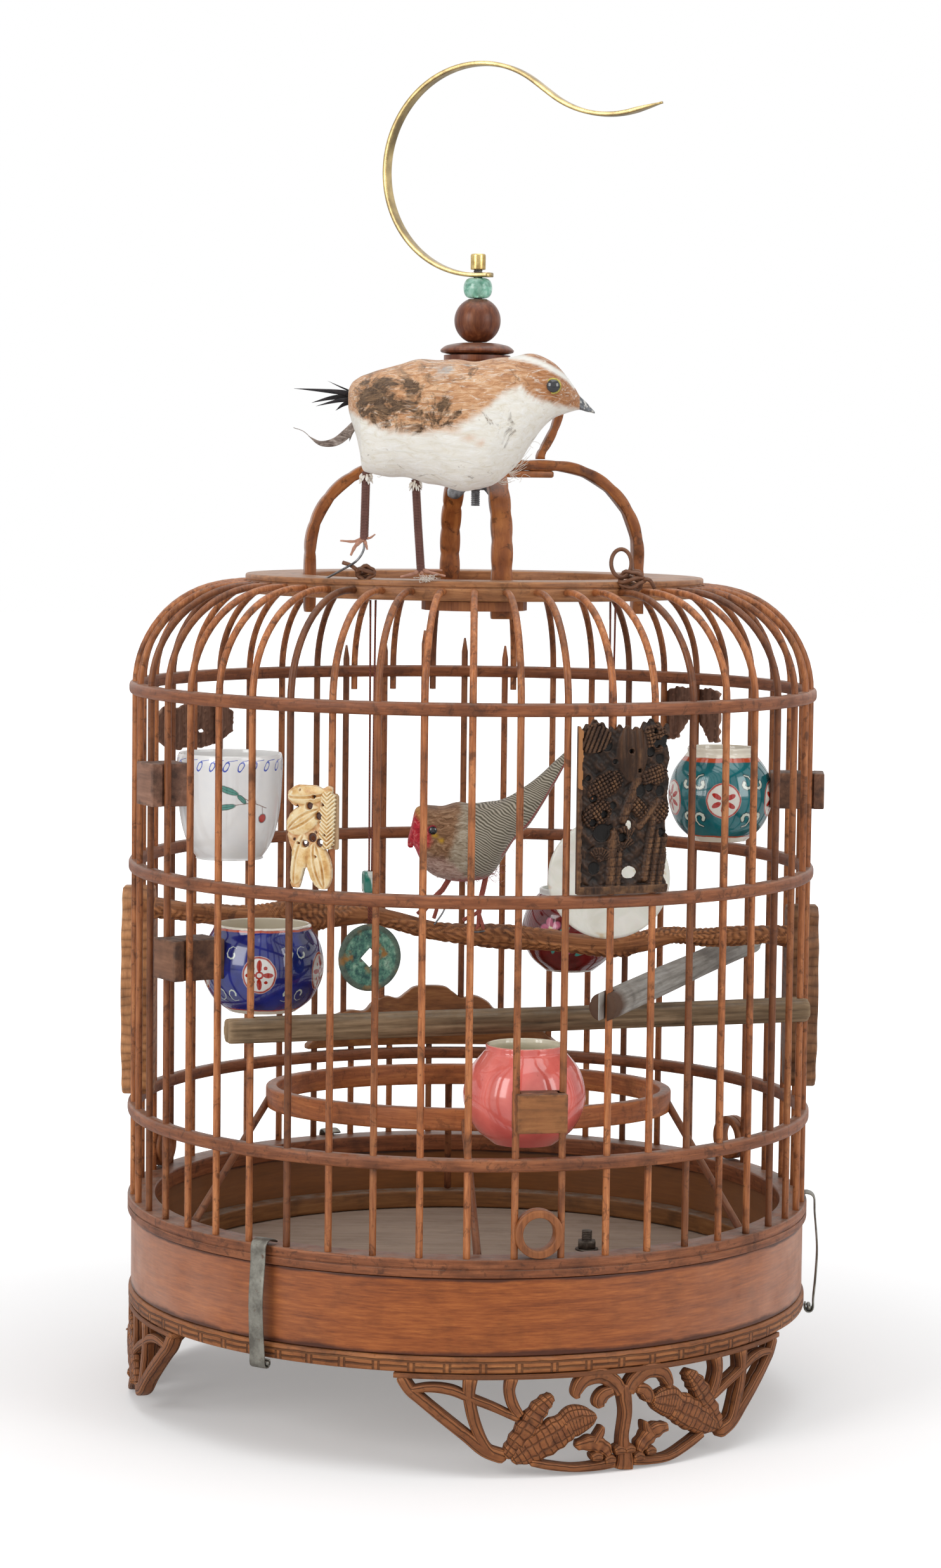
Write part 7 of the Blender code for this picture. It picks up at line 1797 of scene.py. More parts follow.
# Two pendants hang from the top ring, each on a thin red-brown thread that is doubled: a cast coin with
# a square hole under a glass bead, and a round plate of polished shell. Both turn a little on their thread.
hang_height, thread_radius = 0.3539, 0.00045


def thread(name, x, y, low, apart, closing, body, *nodes):
    """One strand of a doubled thread: it leaves the ring half a gap to the side and closes in on its
    fellow on the way down. The path is a list of heights, and the tube stands round it."""
    share = np.linspace(0, 1, 24)
    path = np.stack([x + apart + (closing - apart) * share ** 0.8, np.full(24, y),
                     hang_height - (hang_height - low) * share], -1)
    strand = surface(name, tube(path, thread_radius, 10, (0, 1, 0)), caps=True)
    fit(strand, thread_finish, body, "cord", *nodes)
    return strand, path


thread_finish, tree, shader = new_finish("red_brown_thread")
uv = uv_of(tree)
ply = calc(tree, "FRACT", calc(tree, "ADD", times(tree, uv[1], 110.0), times(tree, uv[0], 2.0)))
ply = calc(tree, "SINE", times(tree, ply, math.pi))
wire(shader, Base_Color=mix(tree, ply, (0.050, 0.010, 0.005), (0.22, 0.050, 0.024)),
     Roughness=calc(tree, "MULTIPLY_ADD", ply, 0.2, 0.6), Normal=bumped(tree, ply, 0.6, 0.0002))

coin_x, coin_y, coin_middle, coin_turn = -0.0420, -0.0850, 0.2044, 26
coin_radius, coin_half, coin_hole = 0.0141, 0.0010, 0.0030


def coin_grid():
    """Rings from the square hole out to the round rim and back behind: each point lies a share of the way
    from the square, half over the larger of cosine and sine, to the circle. Rim and hole have raised lips."""
    angle = np.arange(128) / 128 * 2 * np.pi
    square = coin_hole / np.maximum(np.abs(np.cos(angle - np.pi / 4)), np.abs(np.sin(angle - np.pi / 4)))
    side = [(0, 0.5), (0.01, 0.80), (0.03, 0.88), (0.10, 0.88), (0.14, 0.62), (0.18, 0.56), (0.30, 0.56),
            (0.45, 0.55), (0.60, 0.56), (0.74, 0.56), (0.79, 0.62), (0.83, 0.94), (0.86, 1.0), (0.96, 1.0),
            (0.99, 0.85), (1.0, 0.5)]
    rows = side + [(share, -deep) for share, deep in side[::-1]]
    grid = []
    for share, deep in rows:
        r = square + (coin_radius - square) * share
        grid.append(np.stack([r * np.sin(angle), np.full(128, -coin_half * deep), r * np.cos(angle)], -1))
    return np.stack(grid)


def stood(grid, degrees, place):
    """A grid turned about Z by so many degrees, then moved to its place."""
    angle = np.radians(degrees)
    return np.stack([grid[..., 0] * np.cos(angle) - grid[..., 1] * np.sin(angle),
                     grid[..., 0] * np.sin(angle) + grid[..., 1] * np.cos(angle), grid[..., 2]], -1) + place


coin = surface("square_holed_coin", stood(coin_grid(), coin_turn, (coin_x, coin_y, coin_middle)), closed=True)
patina, tree, shader = new_finish("green_patina")
here = spot(tree)
crust, grain = noise(tree, here, 240.0, 6.0, 0.7), noise(tree, here, 700.0, 4.0, 0.65)
colour = ramp(tree, crust, (0.36, (0.030, 0.085, 0.085)), (0.47, (0.070, 0.200, 0.150)),
              (0.56, (0.150, 0.330, 0.235)), (0.68, (0.36, 0.54, 0.41)))
from_middle = node(tree, "VectorMath", operation="DISTANCE", Vector=here)
plug((coin_x, coin_y, coin_middle), from_middle.inputs[1])
rim_share = times(tree, calc(tree, "SUBTRACT", from_middle.outputs["Value"], 0.0114), 1500.0, clamp=True)
colour = mix(tree, times(tree, rim_share, 0.75), colour, (0.085, 0.110, 0.080))
rust = past(tree, noise(tree, here, 150.0, 3.0, 0.5), 0.57, 8.0)
colour = mix(tree, rust, colour, (0.33, 0.16, 0.035))
edge = node(tree, "NewGeometry").outputs["Pointiness"]
colour = mix(tree, past(tree, edge, 0.51, 12.0), colour, (0.12, 0.125, 0.105))
wire(shader, Base_Color=mix(tree, past(tree, 0.46, grain, 5.0), colour, (0.03, 0.045, 0.06)),
     Roughness=calc(tree, "MULTIPLY_ADD", crust, 0.5, 0.42), Metallic=past(tree, 0.52, crust, 3.5))
relief = calc(tree, "MULTIPLY_ADD", crust, 0.7, times(tree, grain, 0.3))
wire(shader, Normal=bumped(tree, relief, 0.9, 0.0009))
fit(coin, patina, "coin_body", "patina", "coin")

# The bead is a short four-sided tube of green and white streaked glass.
bead_rise = [(0.0007, 0.2318), (0.0030, 0.2316), (0.0039, 0.2321), (0.0041, 0.2332), (0.0041, 0.2393),
             (0.0039, 0.2404), (0.0030, 0.2409), (0.0007, 0.2407)]
angle = np.arange(64) / 64 * 2 * np.pi
boxy = 0.78 / (np.abs(np.cos(angle)) ** 5 + np.abs(np.sin(angle)) ** 5) ** 0.2
bead_grid = np.stack([np.stack([r * boxy * np.cos(angle), r * boxy * np.sin(angle), np.full(64, z)], -1)
                      for r, z in bead_rise])
bead = surface("streaked_bead", stood(bead_grid, 20, (coin_x, coin_y, 0)), closed=True)
streaked = glass("streaked_glass", (0.1, 0.4, 0.35), 0.08, 0.15, 1.5, 0.6)
tree, shader = opened(streaked)
here = spot(tree)
bands = xyz_of(tree, here)
phase = calc(tree, "MULTIPLY_ADD", noise(tree, here, 260.0, 2.0), 2.2,
             times(tree, calc(tree, "ADD", bands[0], times(tree, bands[2], 0.35)), 900.0))
wire(shader, Base_Color=ramp(tree, calc(tree, "MULTIPLY_ADD", calc(tree, "SINE", phase), 0.5, 0.5),
                             (0.40, (0.020, 0.22, 0.16)), (0.62, (0.14, 0.36, 0.29)),
                             (0.80, (0.74, 0.80, 0.74))))
fit(bead, streaked, "coin_body", "green_glass", "coin_bead")
for name, side, nodes in (("coin_thread_left", -1, ("coin_cord",)), ("coin_thread_right", 1, ())):
    strand, path = thread(name, coin_x, coin_y, 0.2189, side * 0.0011, side * 0.00048, "coin_body", *nodes)

disc_x, disc_y, disc_middle, disc_radius, disc_half = 0.0580, -0.0735, 0.2377, 0.02575, 0.0015
turn = np.linspace(-np.pi / 2, np.pi / 2, 9)
face = [(0.0004, disc_half * 0.72)] + [
    (disc_radius * share, disc_half * (0.72 + 0.28 * share ** 2)) for share in (0.3, 0.6, 0.85)]
rim_arc = [(disc_radius - disc_half + disc_half * np.cos(t), disc_half * np.sin(t)) for t in turn]
disc_rows = [(r, -deep) for r, deep in face] + rim_arc + face[::-1]
angle = np.arange(128) / 128 * 2 * np.pi
disc_grid = np.stack([np.stack([r * np.sin(angle), np.full(128, deep), r * np.cos(angle)], -1)
                      for r, deep in disc_rows])
disc = surface("shell_plate", stood(disc_grid, 0, (disc_x, disc_y, disc_middle)), caps=True)
shell = glass("polished_shell", (0.74, 0.72, 0.63), 0.16, 0.0, 1.5, 0.35)
tree, shader = opened(shell)
here = spot(tree)
cloud = noise(tree, here, 55.0, 4.0, 0.6, None, 1.2)
colour = ramp(tree, cloud, (0.35, (0.82, 0.82, 0.72)), (0.55, (0.91, 0.90, 0.82)), (0.70, (0.95, 0.95, 0.90)))
spots = past(tree, noise(tree, here, 170.0, 2.0), 0.66, 9.0)
colour = mix(tree, times(tree, spots, 0.7), colour, (0.66, 0.50, 0.26))
wire(shader, Base_Color=colour, Subsurface_Weight=0.12, Subsurface_Scale=0.004,
     Roughness=calc(tree, "MULTIPLY_ADD", cloud, 0.14, 0.12), Normal=bumped(tree, cloud, 0.15, 0.0006))
fit(disc, shell, "disc_body", "shell", "shell_disc")
for name, side, nodes in (("disc_thread_left", -1, ("disc_cord",)), ("disc_thread_right", 1, ())):
    strand, path = thread(name, disc_x, disc_y, 0.2639, side * 0.0011, side * 0.00048, "disc_body", *nodes)


# Two model birds are tied to the cage. The large one stands on the top ring: a pulp body covered in felted
# cotton, buff above and white below, with glass eyes, a horn beak, real feathers and thread-wound wire legs.
def bird_body(name, stations, y, square=0.92, sides=72, steps=9, soft=0.0):
    """Loft along the bird: at each place its lowest and highest point and half width are eased between
    the stations, and the section is an oval whose cosine and sine are raised to a power. Low swells keep
    the surface from being even."""
    line = curve_through(np.asarray(stations), steps)
    x, low, high, half = line.T
    low = np.minimum(low, high - 0.0002)
    angle = np.arange(sides)[None] / sides * 2 * np.pi
    swell = 1 + soft * (rough(x[:, None] * 1000, angle * 8, 5.0, 0.7) - 0.5)
    across = np.sign(np.cos(angle)) * np.abs(np.cos(angle)) ** square * np.maximum(half, 0.0001)[
        :, None] * swell
    rise = np.sign(np.sin(angle)) * np.abs(np.sin(angle)) ** square * ((high - low) / 2)[:, None] * swell
    grid = np.stack([np.broadcast_to(x[:, None], across.shape), y - across, (low + high)[:, None] / 2 + rise],
                    -1)
    return surface(name, grid, caps=True), grid


def mark_points(item, **masks):
    """Point attributes worked out from each point's place, as shares from 0 to 1."""
    flat = np.empty(3 * len(item.data.vertices), dtype=np.float32)
    item.data.vertices.foreach_get("co", flat)
    place = flat.reshape(-1, 3) * 1000
    for label, share in masks.items():
        values = np.clip(share(*place.T), 0, 1).astype(np.float32)
        item.data.attributes.new(label, "FLOAT", "POINT").data.foreach_set("value", values)


def below(at, level, places, levels, soft):
    """How far a level lies below the line through the places and levels, counted in soft edges."""
    return (np.interp(at, places, levels) - level) / soft


def frayed(x, z, pitch, seed, amount=0.5):
    """Uneven marks about zero, to fray an edge with."""
    return amount * (rough(x, z, pitch, seed) - 0.5)


def skin_at(grid, x, z, side, lift=0.0):
    """The point of a body's skin nearest to a place seen from the side, in metres, pushed out by lift."""
    half = grid[:, grid.shape[1] // 4 + 1: 3 * grid.shape[1] // 4] if side < 0 else np.concatenate(
        [grid[:, 3 * grid.shape[1] // 4:], grid[:, :grid.shape[1] // 4]], 1)
    flat = half.reshape(-1, 3)
    near = flat[np.argmin((flat[:, 0] - x) ** 2 + (flat[:, 2] - z) ** 2)]
    return np.array([x, near[1] + side * lift, z])


def wisp(grid, start, end, lift, chance, count=9):
    """A loose fibre that lies on the skin between two places, wandering and standing off it a little."""
    share = np.linspace(0, 1, count)
    x = start[0] + (end[0] - start[0]) * share + 0.0012 * np.sin(4 * share + chance)
    z = start[1] + (end[1] - start[1]) * share + 0.0014 * np.sin(5 * share + 2.3 * chance)
    line = np.stack([skin_at(grid, a, b, 1 if start[2] > 0 else -1, lift * (0.4 + 0.9 * np.sin(np.pi * s)))
                     for a, b, s in zip(x, z, share)])
    line[1:-1] = (line[:-2] + 2 * line[1:-1] + line[2:]) / 4
    return curve_through(line, 2)


def stray(grid, x, z, side, reach, swing, lift, thick):
    """A hair that starts at a place, in millimetres, and runs back by a random reach, up or down by a random
    swing."""
    end = ((x + chance.uniform(*reach)) / 1000, (z + chance.uniform(*swing)) / 1000, side)
    return tube(wisp(grid, (x / 1000, z / 1000, side), end, lift, chance.uniform(0, 6)), thick, 5, (0, 1, 0))


def blade(points, wide, thin=0.00022, tip=0.75):
    """A feather or claw: a flat bar, widest a third of the way along, that runs out to a point."""
    line = curve_through(points, 6)
    share = np.linspace(0, 1, len(line))
    shape = np.sin(np.pi * np.clip(share * 0.94 + 0.04, 0, 1) ** tip)
    return rounded_bar(line, (0, 1, 0), thin * np.maximum(shape, 0.2), wide / 2 * np.maximum(shape, 0.04),
                       0.9, 10)


def wound(points, radius, pitch, deep):
    """A leg bound with thread: its radius dips between each two turns."""
    line, run = along_path(points, 0.00012)
    return tube(line, radius * (1 - deep * (0.5 + 0.5 * np.cos(2 * np.pi * run / pitch))), 14, (0, 1, 0))


def cloth(name, rough_at, bump, grain=420.0):
    """A soft matt finish with a short nap; gives the material, tree, shader and a fibre value."""
    finish, tree, shader = new_finish(name)
    wire(shader, Roughness=rough_at, Specular_IOR_Level=0.2, Sheen_Weight=0.35)
    here = spot(tree)
    combed = node(tree, "Mapping", Vector=here, Scale=(0.35, 1.0, 1.0), Rotation=(0, 0.35, 0))
    fibre = noise(tree, combed.outputs[0], grain, 6.0, 0.7, None, 1.0)
    wire(shader, Normal=bumped(tree, fibre, bump, 0.0012))
    return finish, tree, shader, fibre


top_y = -0.0905
top_way = [(-52.9, 435.4, 437.6, 1.0), (-52.6, 432.0, 440.6, 4.0), (-51.2, 427.0, 443.4, 7.5),
           (-49.4, 421.5, 444.9, 10.0), (-47.8, 414.5, 446.0, 12.0), (-46.6, 407.6, 446.6, 13.2),
           (-43.0, 405.9, 447.8, 15.0), (-36.0, 405.3, 449.9, 17.4), (-27.3, 404.3, 452.2, 19.2),
           (-18.6, 402.4, 453.4, 20.4), (-9.9, 400.2, 453.2, 21.0), (-2.2, 399.7, 452.8, 20.8),
           (5.5, 401.5, 453.2, 19.6), (11.3, 405.2, 454.7, 17.8), (17.1, 410.6, 455.6, 15.6),
           (22.0, 418.2, 455.8, 13.6), (26.8, 425.0, 454.9, 12.2), (31.6, 429.6, 452.4, 11.0),
           (36.0, 431.6, 448.0, 8.8), (40.0, 432.8, 442.8, 5.4), (42.4, 433.4, 439.0, 2.6)]
top_body, top_grid = bird_body("cotton_bird", np.array(top_way) / 1000, top_y, soft=0.045)
buff_x = [-55, -49, -38, -27, -14, -4, 4, 10, 18, 21, 27, 35, 45]
buff_z = [432, 428.5, 423, 421.6, 422.4, 426.5, 432, 438, 441.5, 438, 435.5, 433.5, 432]
wing_x = [-53, -48, -40, -30, -20, -12, -6]
wing_low, wing_high = [438, 429, 423.4, 421.6, 422.0, 424.5, 429], [440, 445, 447, 447, 444, 439, 433]
crown_x, crown_z = [12, 19, 25, 31, 37, 41], [455.0, 454.2, 452.4, 449.6, 446.2, 441.6]
mark_points(top_body,
            buff=lambda x, y, z: frayed(x, z, 1.5, 0.2, 0.4) - below(x, z, buff_x, buff_z, 2.2),
            wing=lambda x, y, z: np.minimum(-below(x, z, wing_x, wing_low, 2.4),
                                            below(x, z, wing_x, wing_high, 2.4)) * (x < -6),
            crown=lambda x, y, z: (1.5 - np.abs(below(x, z, crown_x, crown_z, 1.25))
                                   - 9 * ((x < 13) | (x > 40))),
            back=lambda x, y, z: (-6 - x) / 14 * (z > 430),
            smear=lambda x, y, z: (0.55 * np.clip(bar_at(x, z, -10.4, 424.0, 2.6, 418.7, 1.6), 0, 1)
                                   * (y < -90)),
            lint=lambda x, y, z: (1.6 * np.clip(dome(x, z, -13.0, 448.6, 4.6, 2.2, 0.15), 0, 1)
                                  * rough(x, z, 0.9) * (y < -90)),
            cheek=lambda x, y, z: np.clip((x - 17) / 8, 0, 1))
cotton, tree, shader, fibre = cloth("felted_cotton", 0.92, 0.55)
cream_white = ramp(tree, fibre, (0.26, (0.74, 0.67, 0.53)), (0.46, (0.88, 0.84, 0.75)),
                   (0.66, (0.94, 0.92, 0.87)))
buff = ramp(tree, fibre, (0.34, (0.36, 0.155, 0.065)), (0.50, (0.60, 0.315, 0.155)),
            (0.64, (0.76, 0.50, 0.31)))
deep_buff = ramp(tree, fibre, (0.34, (0.30, 0.115, 0.040)), (0.52, (0.46, 0.205, 0.085)),
                 (0.66, (0.60, 0.31, 0.15)))
here = spot(tree)
streaks = node(tree, "Mapping", Vector=here, Scale=(0.18, 0.6, 1.0), Rotation=(0, 0.25, 0)).outputs[0]
streak = noise(tree, streaks, 520.0, 5.0, 0.75, None, 2.2)
dark_wing = ramp(tree, streak, (0.38, (0.045, 0.025, 0.015)), (0.51, (0.115, 0.066, 0.036)),
                 (0.61, (0.26, 0.150, 0.075)), (0.73, (0.56, 0.37, 0.20)))
colour = mix(tree, mask(tree, "buff"), cream_white, mix(tree, mask(tree, "cheek"), buff, deep_buff))
wisps = past(tree, noise(tree, streaks, 330.0, 5.0, 0.7, None, 3.0), 0.53, 9.0)
colour = mix(tree, times(tree, wisps, 0.65), colour, (0.88, 0.84, 0.76))
patch = noise(tree, here, 95.0, 5.0, 0.7, None, 0.8)
torn = past(tree, calc(tree, "MULTIPLY_ADD", mask(tree, "wing"), 0.22, patch), 0.600, 8.0)
colour = mix(tree, torn, colour, dark_wing)
back_patch = times(tree, past(tree, patch, 0.50, 7.0), mask(tree, "back"))
colour = mix(tree, times(tree, back_patch, 0.8), colour, (0.20, 0.125, 0.075))
for label, pigment in (("smear", (0.72, 0.40, 0.22)), ("lint", (0.42, 0.40, 0.38)),
                       ("crown", (0.88, 0.86, 0.80))):
    colour = mix(tree, mask(tree, label), colour, pigment)
wire(shader, Base_Color=colour)
fit(top_body, cotton, "cage", "buff_feather", "top_bird")

chance = np.random.default_rng(5)
pale_hairs, brown_hairs = [], []
for _ in range(420):
    x = chance.uniform(-28, 16)
    z = chance.uniform(425, 447) + 0.12 * x
    pale_hairs.append(stray(top_grid, x, z, -1, (3, 11), (-5, 6), 0.0011, 0.00011))
for _ in range(110):
    x, z = chance.uniform(-51, -14), chance.uniform(426, 445)
    brown_hairs.append(stray(top_grid, x, z, -1, (3, 9), (-3, 3), 0.0011, 0.00010))
loose_fibres = [((-0.0264, 0.4285, -1), (-0.0119, 0.4046, -1), 0.0008, 1.2, 14, 0.00014),
                ((-0.0250, 0.4260, -1), (-0.0140, 0.4140, -1), 0.0012, 3.2, 12, 0.00012)]
for *strand, thick in loose_fibres:
    brown_hairs.append(tube(wisp(top_grid, *strand), thick, 5, (0, 1, 0)))
for _ in range(40):
    side = chance.choice([-1, 1])
    x, z = chance.uniform(-44, 20), chance.uniform(404, 424)
    pale_hairs.append(stray(top_grid, x, z, side, (3, 8), (-3, 3), 0.0007, 0.00008))
for (x0, z0), (x1, z1) in (((14, 409), (21, 414)), ((12, 407), (19, 410)), ((15, 411), (20.5, 418)),
                           ((13, 408), (17, 405.6)), ((8, 404), (14, 403.5))):
    for spread in range(7):
        start = skin_at(top_grid, x0 / 1000, z0 / 1000, -1)
        tip = np.array([(x1 + 0.7 * spread - 2) / 1000, start[1] + chance.uniform(-0.002, 0.006),
                        (z1 + chance.uniform(-1.5, 1.5)) / 1000])
        middle = (start + tip) / 2 + (0.0006, -0.0004, -0.0008)
        pale_hairs.append(tube(curve_through([start, middle, tip], 4), 0.00008, 5, (0, 1, 0)))
pale_hair, tree, shader, fibre = cloth("white_cotton_hair", 0.9, 0.1)
wire(shader, Base_Color=ramp(tree, fibre, (0.35, (0.72, 0.62, 0.50)), (0.6, (0.90, 0.87, 0.81))))
brown_hair, tree, shader, fibre = cloth("brown_fibre", 0.8, 0.1)
wire(shader, Base_Color=ramp(tree, fibre, (0.38, (0.10, 0.050, 0.020)), (0.5, (0.30, 0.17, 0.075)),
                             (0.62, (0.60, 0.42, 0.22))))
fit(bundle("cotton_hairs", pale_hairs), pale_hair, "cage", "buff_feather")
fit(bundle("wing_fibres", brown_hairs), brown_hair, "cage", "buff_feather")
tuft_grids = []
for (x, z), size in (((-45.2, 403.6), 3.0), ((-24.8, 401.0), 2.8)):
    for _ in range(46):
        angle = chance.uniform(0, 2 * np.pi)
        root = np.array([x + 1.2 * math.cos(angle), -90.5 + 1.2 * math.sin(angle),
                         z + chance.uniform(0, 2.4)]) / 1000
        tip = root + np.array([size * 0.55 * math.cos(angle), size * 0.55 * math.sin(angle),
                               -chance.uniform(0.5, 2.4)]) / 1000
        tuft_grids.append(tube(curve_through([root, (root + tip) / 2 + (0, 0, 0.0004), tip], 3),
                               np.linspace(0.0007, 0.00016, 7), 6, (0, 1, 0)))
fit(bundle("leg_tufts", tuft_grids), pale_hair, "cage", "buff_feather")

# Tail: three black pointed quills, a smaller one, and a curled grey-brown plume below them.
quills = [blade([(-0.0500, top_y, 0.4385), (-0.0590, top_y - 0.0008, 0.4396),
                 (-0.0752, top_y - 0.0010, 0.4407)], 0.0024, 0.0004, 0.55),
          blade([(-0.0500, top_y + 0.002, 0.4375), (-0.0590, top_y + 0.002, 0.4372),
                 (-0.0680, top_y + 0.002, 0.4350)], 0.0022, 0.0003, 0.6),
          blade([(-0.0500, top_y - 0.002, 0.4365), (-0.0570, top_y - 0.003, 0.4358),
                 (-0.0660, top_y - 0.003, 0.4335)], 0.0018, 0.0003, 0.6),
          blade([(-0.0500, top_y, 0.4360), (-0.0545, top_y, 0.4345), (-0.0580, top_y - 0.001, 0.4318)],
                0.0020, 0.0003, 0.6),
          blade([(-0.0510, top_y + 0.001, 0.4395), (-0.0560, top_y + 0.001, 0.4415),
                 (-0.0615, top_y + 0.001, 0.4440)], 0.0007, 0.0002, 0.6)]
quill, tree, shader, fibre = cloth("black_quill", 0.45, 0.35, 700.0)
wire(shader, Sheen_Weight=0.0,
     Base_Color=ramp(tree, fibre, (0.40, (0.008, 0.007, 0.009)), (0.62, (0.040, 0.032, 0.034))))
fit(bundle("tail_quills", quills), quill, "cage", "grey_feather")
plume = [blade([(-0.0495, top_y, 0.4275), (-0.0530, top_y - 0.001, 0.4228), (-0.0580, top_y - 0.002, 0.4190),
                (-0.0640, top_y - 0.002, 0.4183), (-0.0690, top_y - 0.002, 0.4212)], 0.0042, 0.0003, 0.62),
         tube(curve_through([(-0.0680, top_y - 0.002, 0.4205), (-0.0712, top_y - 0.002, 0.4232),
                             (-0.0752, top_y - 0.002, 0.4246)], 6), 0.00016, 6, (0, 1, 0)),
         blade([(-0.0500, top_y, 0.4262), (-0.0515, top_y, 0.4225), (-0.0522, top_y, 0.4192)], 0.0016, 0.0003,
               0.6)]
plume_finish, tree, shader, fibre = cloth("grey_plume", 0.75, 0.35, 600.0)
wire(shader, Base_Color=ramp(tree, fibre, (0.36, (0.10, 0.070, 0.055)), (0.52, (0.30, 0.235, 0.20)),
                             (0.66, (0.52, 0.45, 0.40))))
fit(bundle("curled_plume", plume), plume_finish, "cage", "grey_feather")


def eye(name, middle, side, radius, ring, ring_colour):
    """Half a glass ball on the skin, and a ring of painted cord round it."""
    turn = np.linspace(0.02, np.pi / 2 + 0.35, 12)
    angle = np.arange(32) / 32 * 2 * np.pi
    ball = np.stack([np.stack([middle[0] + radius * np.sin(t) * np.cos(angle),
                               np.full(32, middle[1] + side * (radius * 0.75 * np.cos(t) - 0.0002)),
                               middle[2] + radius * np.sin(t) * np.sin(angle)], -1) for t in turn])
    black = glass(name + "_glass", (0.010, 0.011, 0.014), 0.06, 0.0, 1.5, 0.7)
    fit(surface(name, ball, caps=True), black, "cage", "grey_feather")
    loop = np.stack([middle[0] + radius * 1.08 * np.cos(angle), np.full(32, middle[1] + side * 0.0003),
                     middle[2] + radius * 1.08 * np.sin(angle)], -1)
    out = loop - middle
    out /= np.linalg.norm(out, axis=1)[:, None]
    section = np.arange(10) / 10 * 2 * np.pi
    circle = loop[:, None] + ring * (np.cos(section)[None, :, None] * out[:, None] + np.sin(section)[
        None, :, None] * np.array((0, side, 0)))
    paint = metal(name + "_ring_paint", ring_colour, tuple(0.4 * part for part in ring_colour), 0.55, 900.0,
                  0.3)
    wire(opened(paint)[1], Metallic=0.0)
    fit(surface(name + "_ring", circle, closed=True), paint, "cage", "buff_feather")


for label, side in (("front", -1), ("back", 1)):
    eye("cotton_bird_eye_" + label, skin_at(top_grid, 0.0312, 0.4427, side), side, 0.0027, 0.00042,
        (0.62, 0.52, 0.10))

beak_way = np.array([(39.6, 434.2, 440.4, 3.0), (41.6, 433.5, 439.7, 2.7), (43.2, 433.2, 438.2, 2.1),
                     (45.2, 432.6, 436.4, 1.45), (47.2, 432.2, 434.2, 0.8),
                     (48.7, 431.9, 432.6, 0.25)]) / 1000
horn = metal("grey_horn", (0.22, 0.235, 0.25), (0.035, 0.037, 0.042), 0.42, 520.0, 0.3)
tree, shader, colour = base_colour(horn)
chipped = past(tree, noise(tree, spot(tree), 560.0, 3.0), 0.55, 12.0)
wire(shader, Metallic=0.0, Base_Color=mix(tree, chipped, colour, (0.62, 0.60, 0.55)))
beak, _ = bird_body("cotton_bird_beak", beak_way, top_y, 0.95, 28, 6)
fit(beak, horn, "cage", "grey_feather")

# Legs: wire wound with brown thread. The standing one ends in clay toes on the ring, the other hangs over
# it with a broken clay foot, and its bare grey wire is hooked to the ring.
bound = [wound([(-0.0248, top_y, 0.4040), (-0.0236, top_y, 0.3850), (-0.0222, top_y, 0.3662)], 0.0019,
               0.00062, 0.16), wound([(-0.0452, top_y, 0.4070), (-0.0455, top_y, 0.3920),
                                      (-0.0458, top_y, 0.3790)], 0.0019, 0.00062, 0.13)]
thread_brown = bamboo("leg_thread", (0.055, 0.020, 0.015), (0.125, 0.052, 0.040), (0.21, 0.10, 0.080),
                      run="Traced", fine=1.6, dust=0.1, rough=0.66, stain=0.4, worn=0.4, girth=0.012,
                      length=0.04)
fit(bundle("bound_legs", bound), thread_brown, "cage", "buff_feather")
toe_way = [([(-22.2, 0, 367.0), (-25.0, -1.0, 365.2), (-30.6, -2.0, 363.8)], 1.8),
           ([(-22.2, 0, 367.0), (-18.6, -2.4, 365.8), (-12.0, -3.8, 364.4)], 1.7),
           ([(-22.2, 0, 367.0), (-19.0, 1.5, 366.4), (-13.4, 2.4, 366.6)], 1.5),
           ([(-22.2, 0, 367.4), (-21.5, -2.2, 364.8), (-20.4, -4.4, 363.7)], 1.5),
           ([(-45.8, 0, 380.2), (-49.5, -1.0, 378.2), (-55.6, -1.6, 378.4)], 1.5),
           ([(-45.8, 0, 380.2), (-43.6, -0.8, 379.6), (-41.2, -0.6, 381.2)], 1.2),
           ([(-45.8, 0, 379.4), (-49.2, -1.6, 376.4), (-51.2, -2.4, 372.4)], 1.9),
           ([(-45.8, 0, 379.4), (-45.0, -1.0, 377.0), (-44.4, -1.2, 374.8)], 1.5)]
toes = []
for points, wide in toe_way:
    line = curve_through(np.array(points) / 1000 + (0, top_y, 0), 6)
    share = np.linspace(0, 1, len(line))
    toes.append(tube(line, wide / 2000 * (1 - 0.55 * share ** 2) * (1 + 0.12 * np.sin(21 * share)), 10,
                     (0, 1, 0)))
clay = bamboo("painted_clay", (0.16, 0.060, 0.040), (0.33, 0.145, 0.095), (0.56, 0.31, 0.22), run="Traced",
              fine=2.0, dust=0.15, rough=0.75, stain=0.5, worn=0.6, girth=0.006, length=0.01)
fit(bundle("clay_toes", toes), clay, "cage", "buff_feather")
grey_wire = tube(curve_through([(-0.0457, top_y, 0.3790), (-0.0460, top_y - 0.0012, 0.3745),
                                (-0.0490, top_y - 0.0004, 0.3700), (-0.0550, top_y + 0.006, 0.3662),
                                (-0.0600, -0.0770, 0.3634), (-0.0622, -0.0742, 0.3622)], 8), 0.0005, 10,
                 (0, 1, 0))
fit(bundle("leg_wire", [grey_wire]), iron, "cage", "steel")
fluff = []
for _ in range(70):
    start = np.array([-19.6 + chance.normal(0, 0.9), -98.0 + chance.normal(0, 0.8),
                      361.4 + abs(chance.normal(0, 1.0))])
    steps_out = np.cumsum(chance.normal(0, 0.75, (5, 3)), 0)
    steps_out[:, 2] = np.abs(steps_out[:, 2]) * 0.7
    fluff.append(tube(curve_through((start + steps_out) / 1000, 3), 0.00007, 4, (0.1, 0.2, 1)))
fit(bundle("grey_fluff", fluff), pale_hair, "cage", "grey_feather")


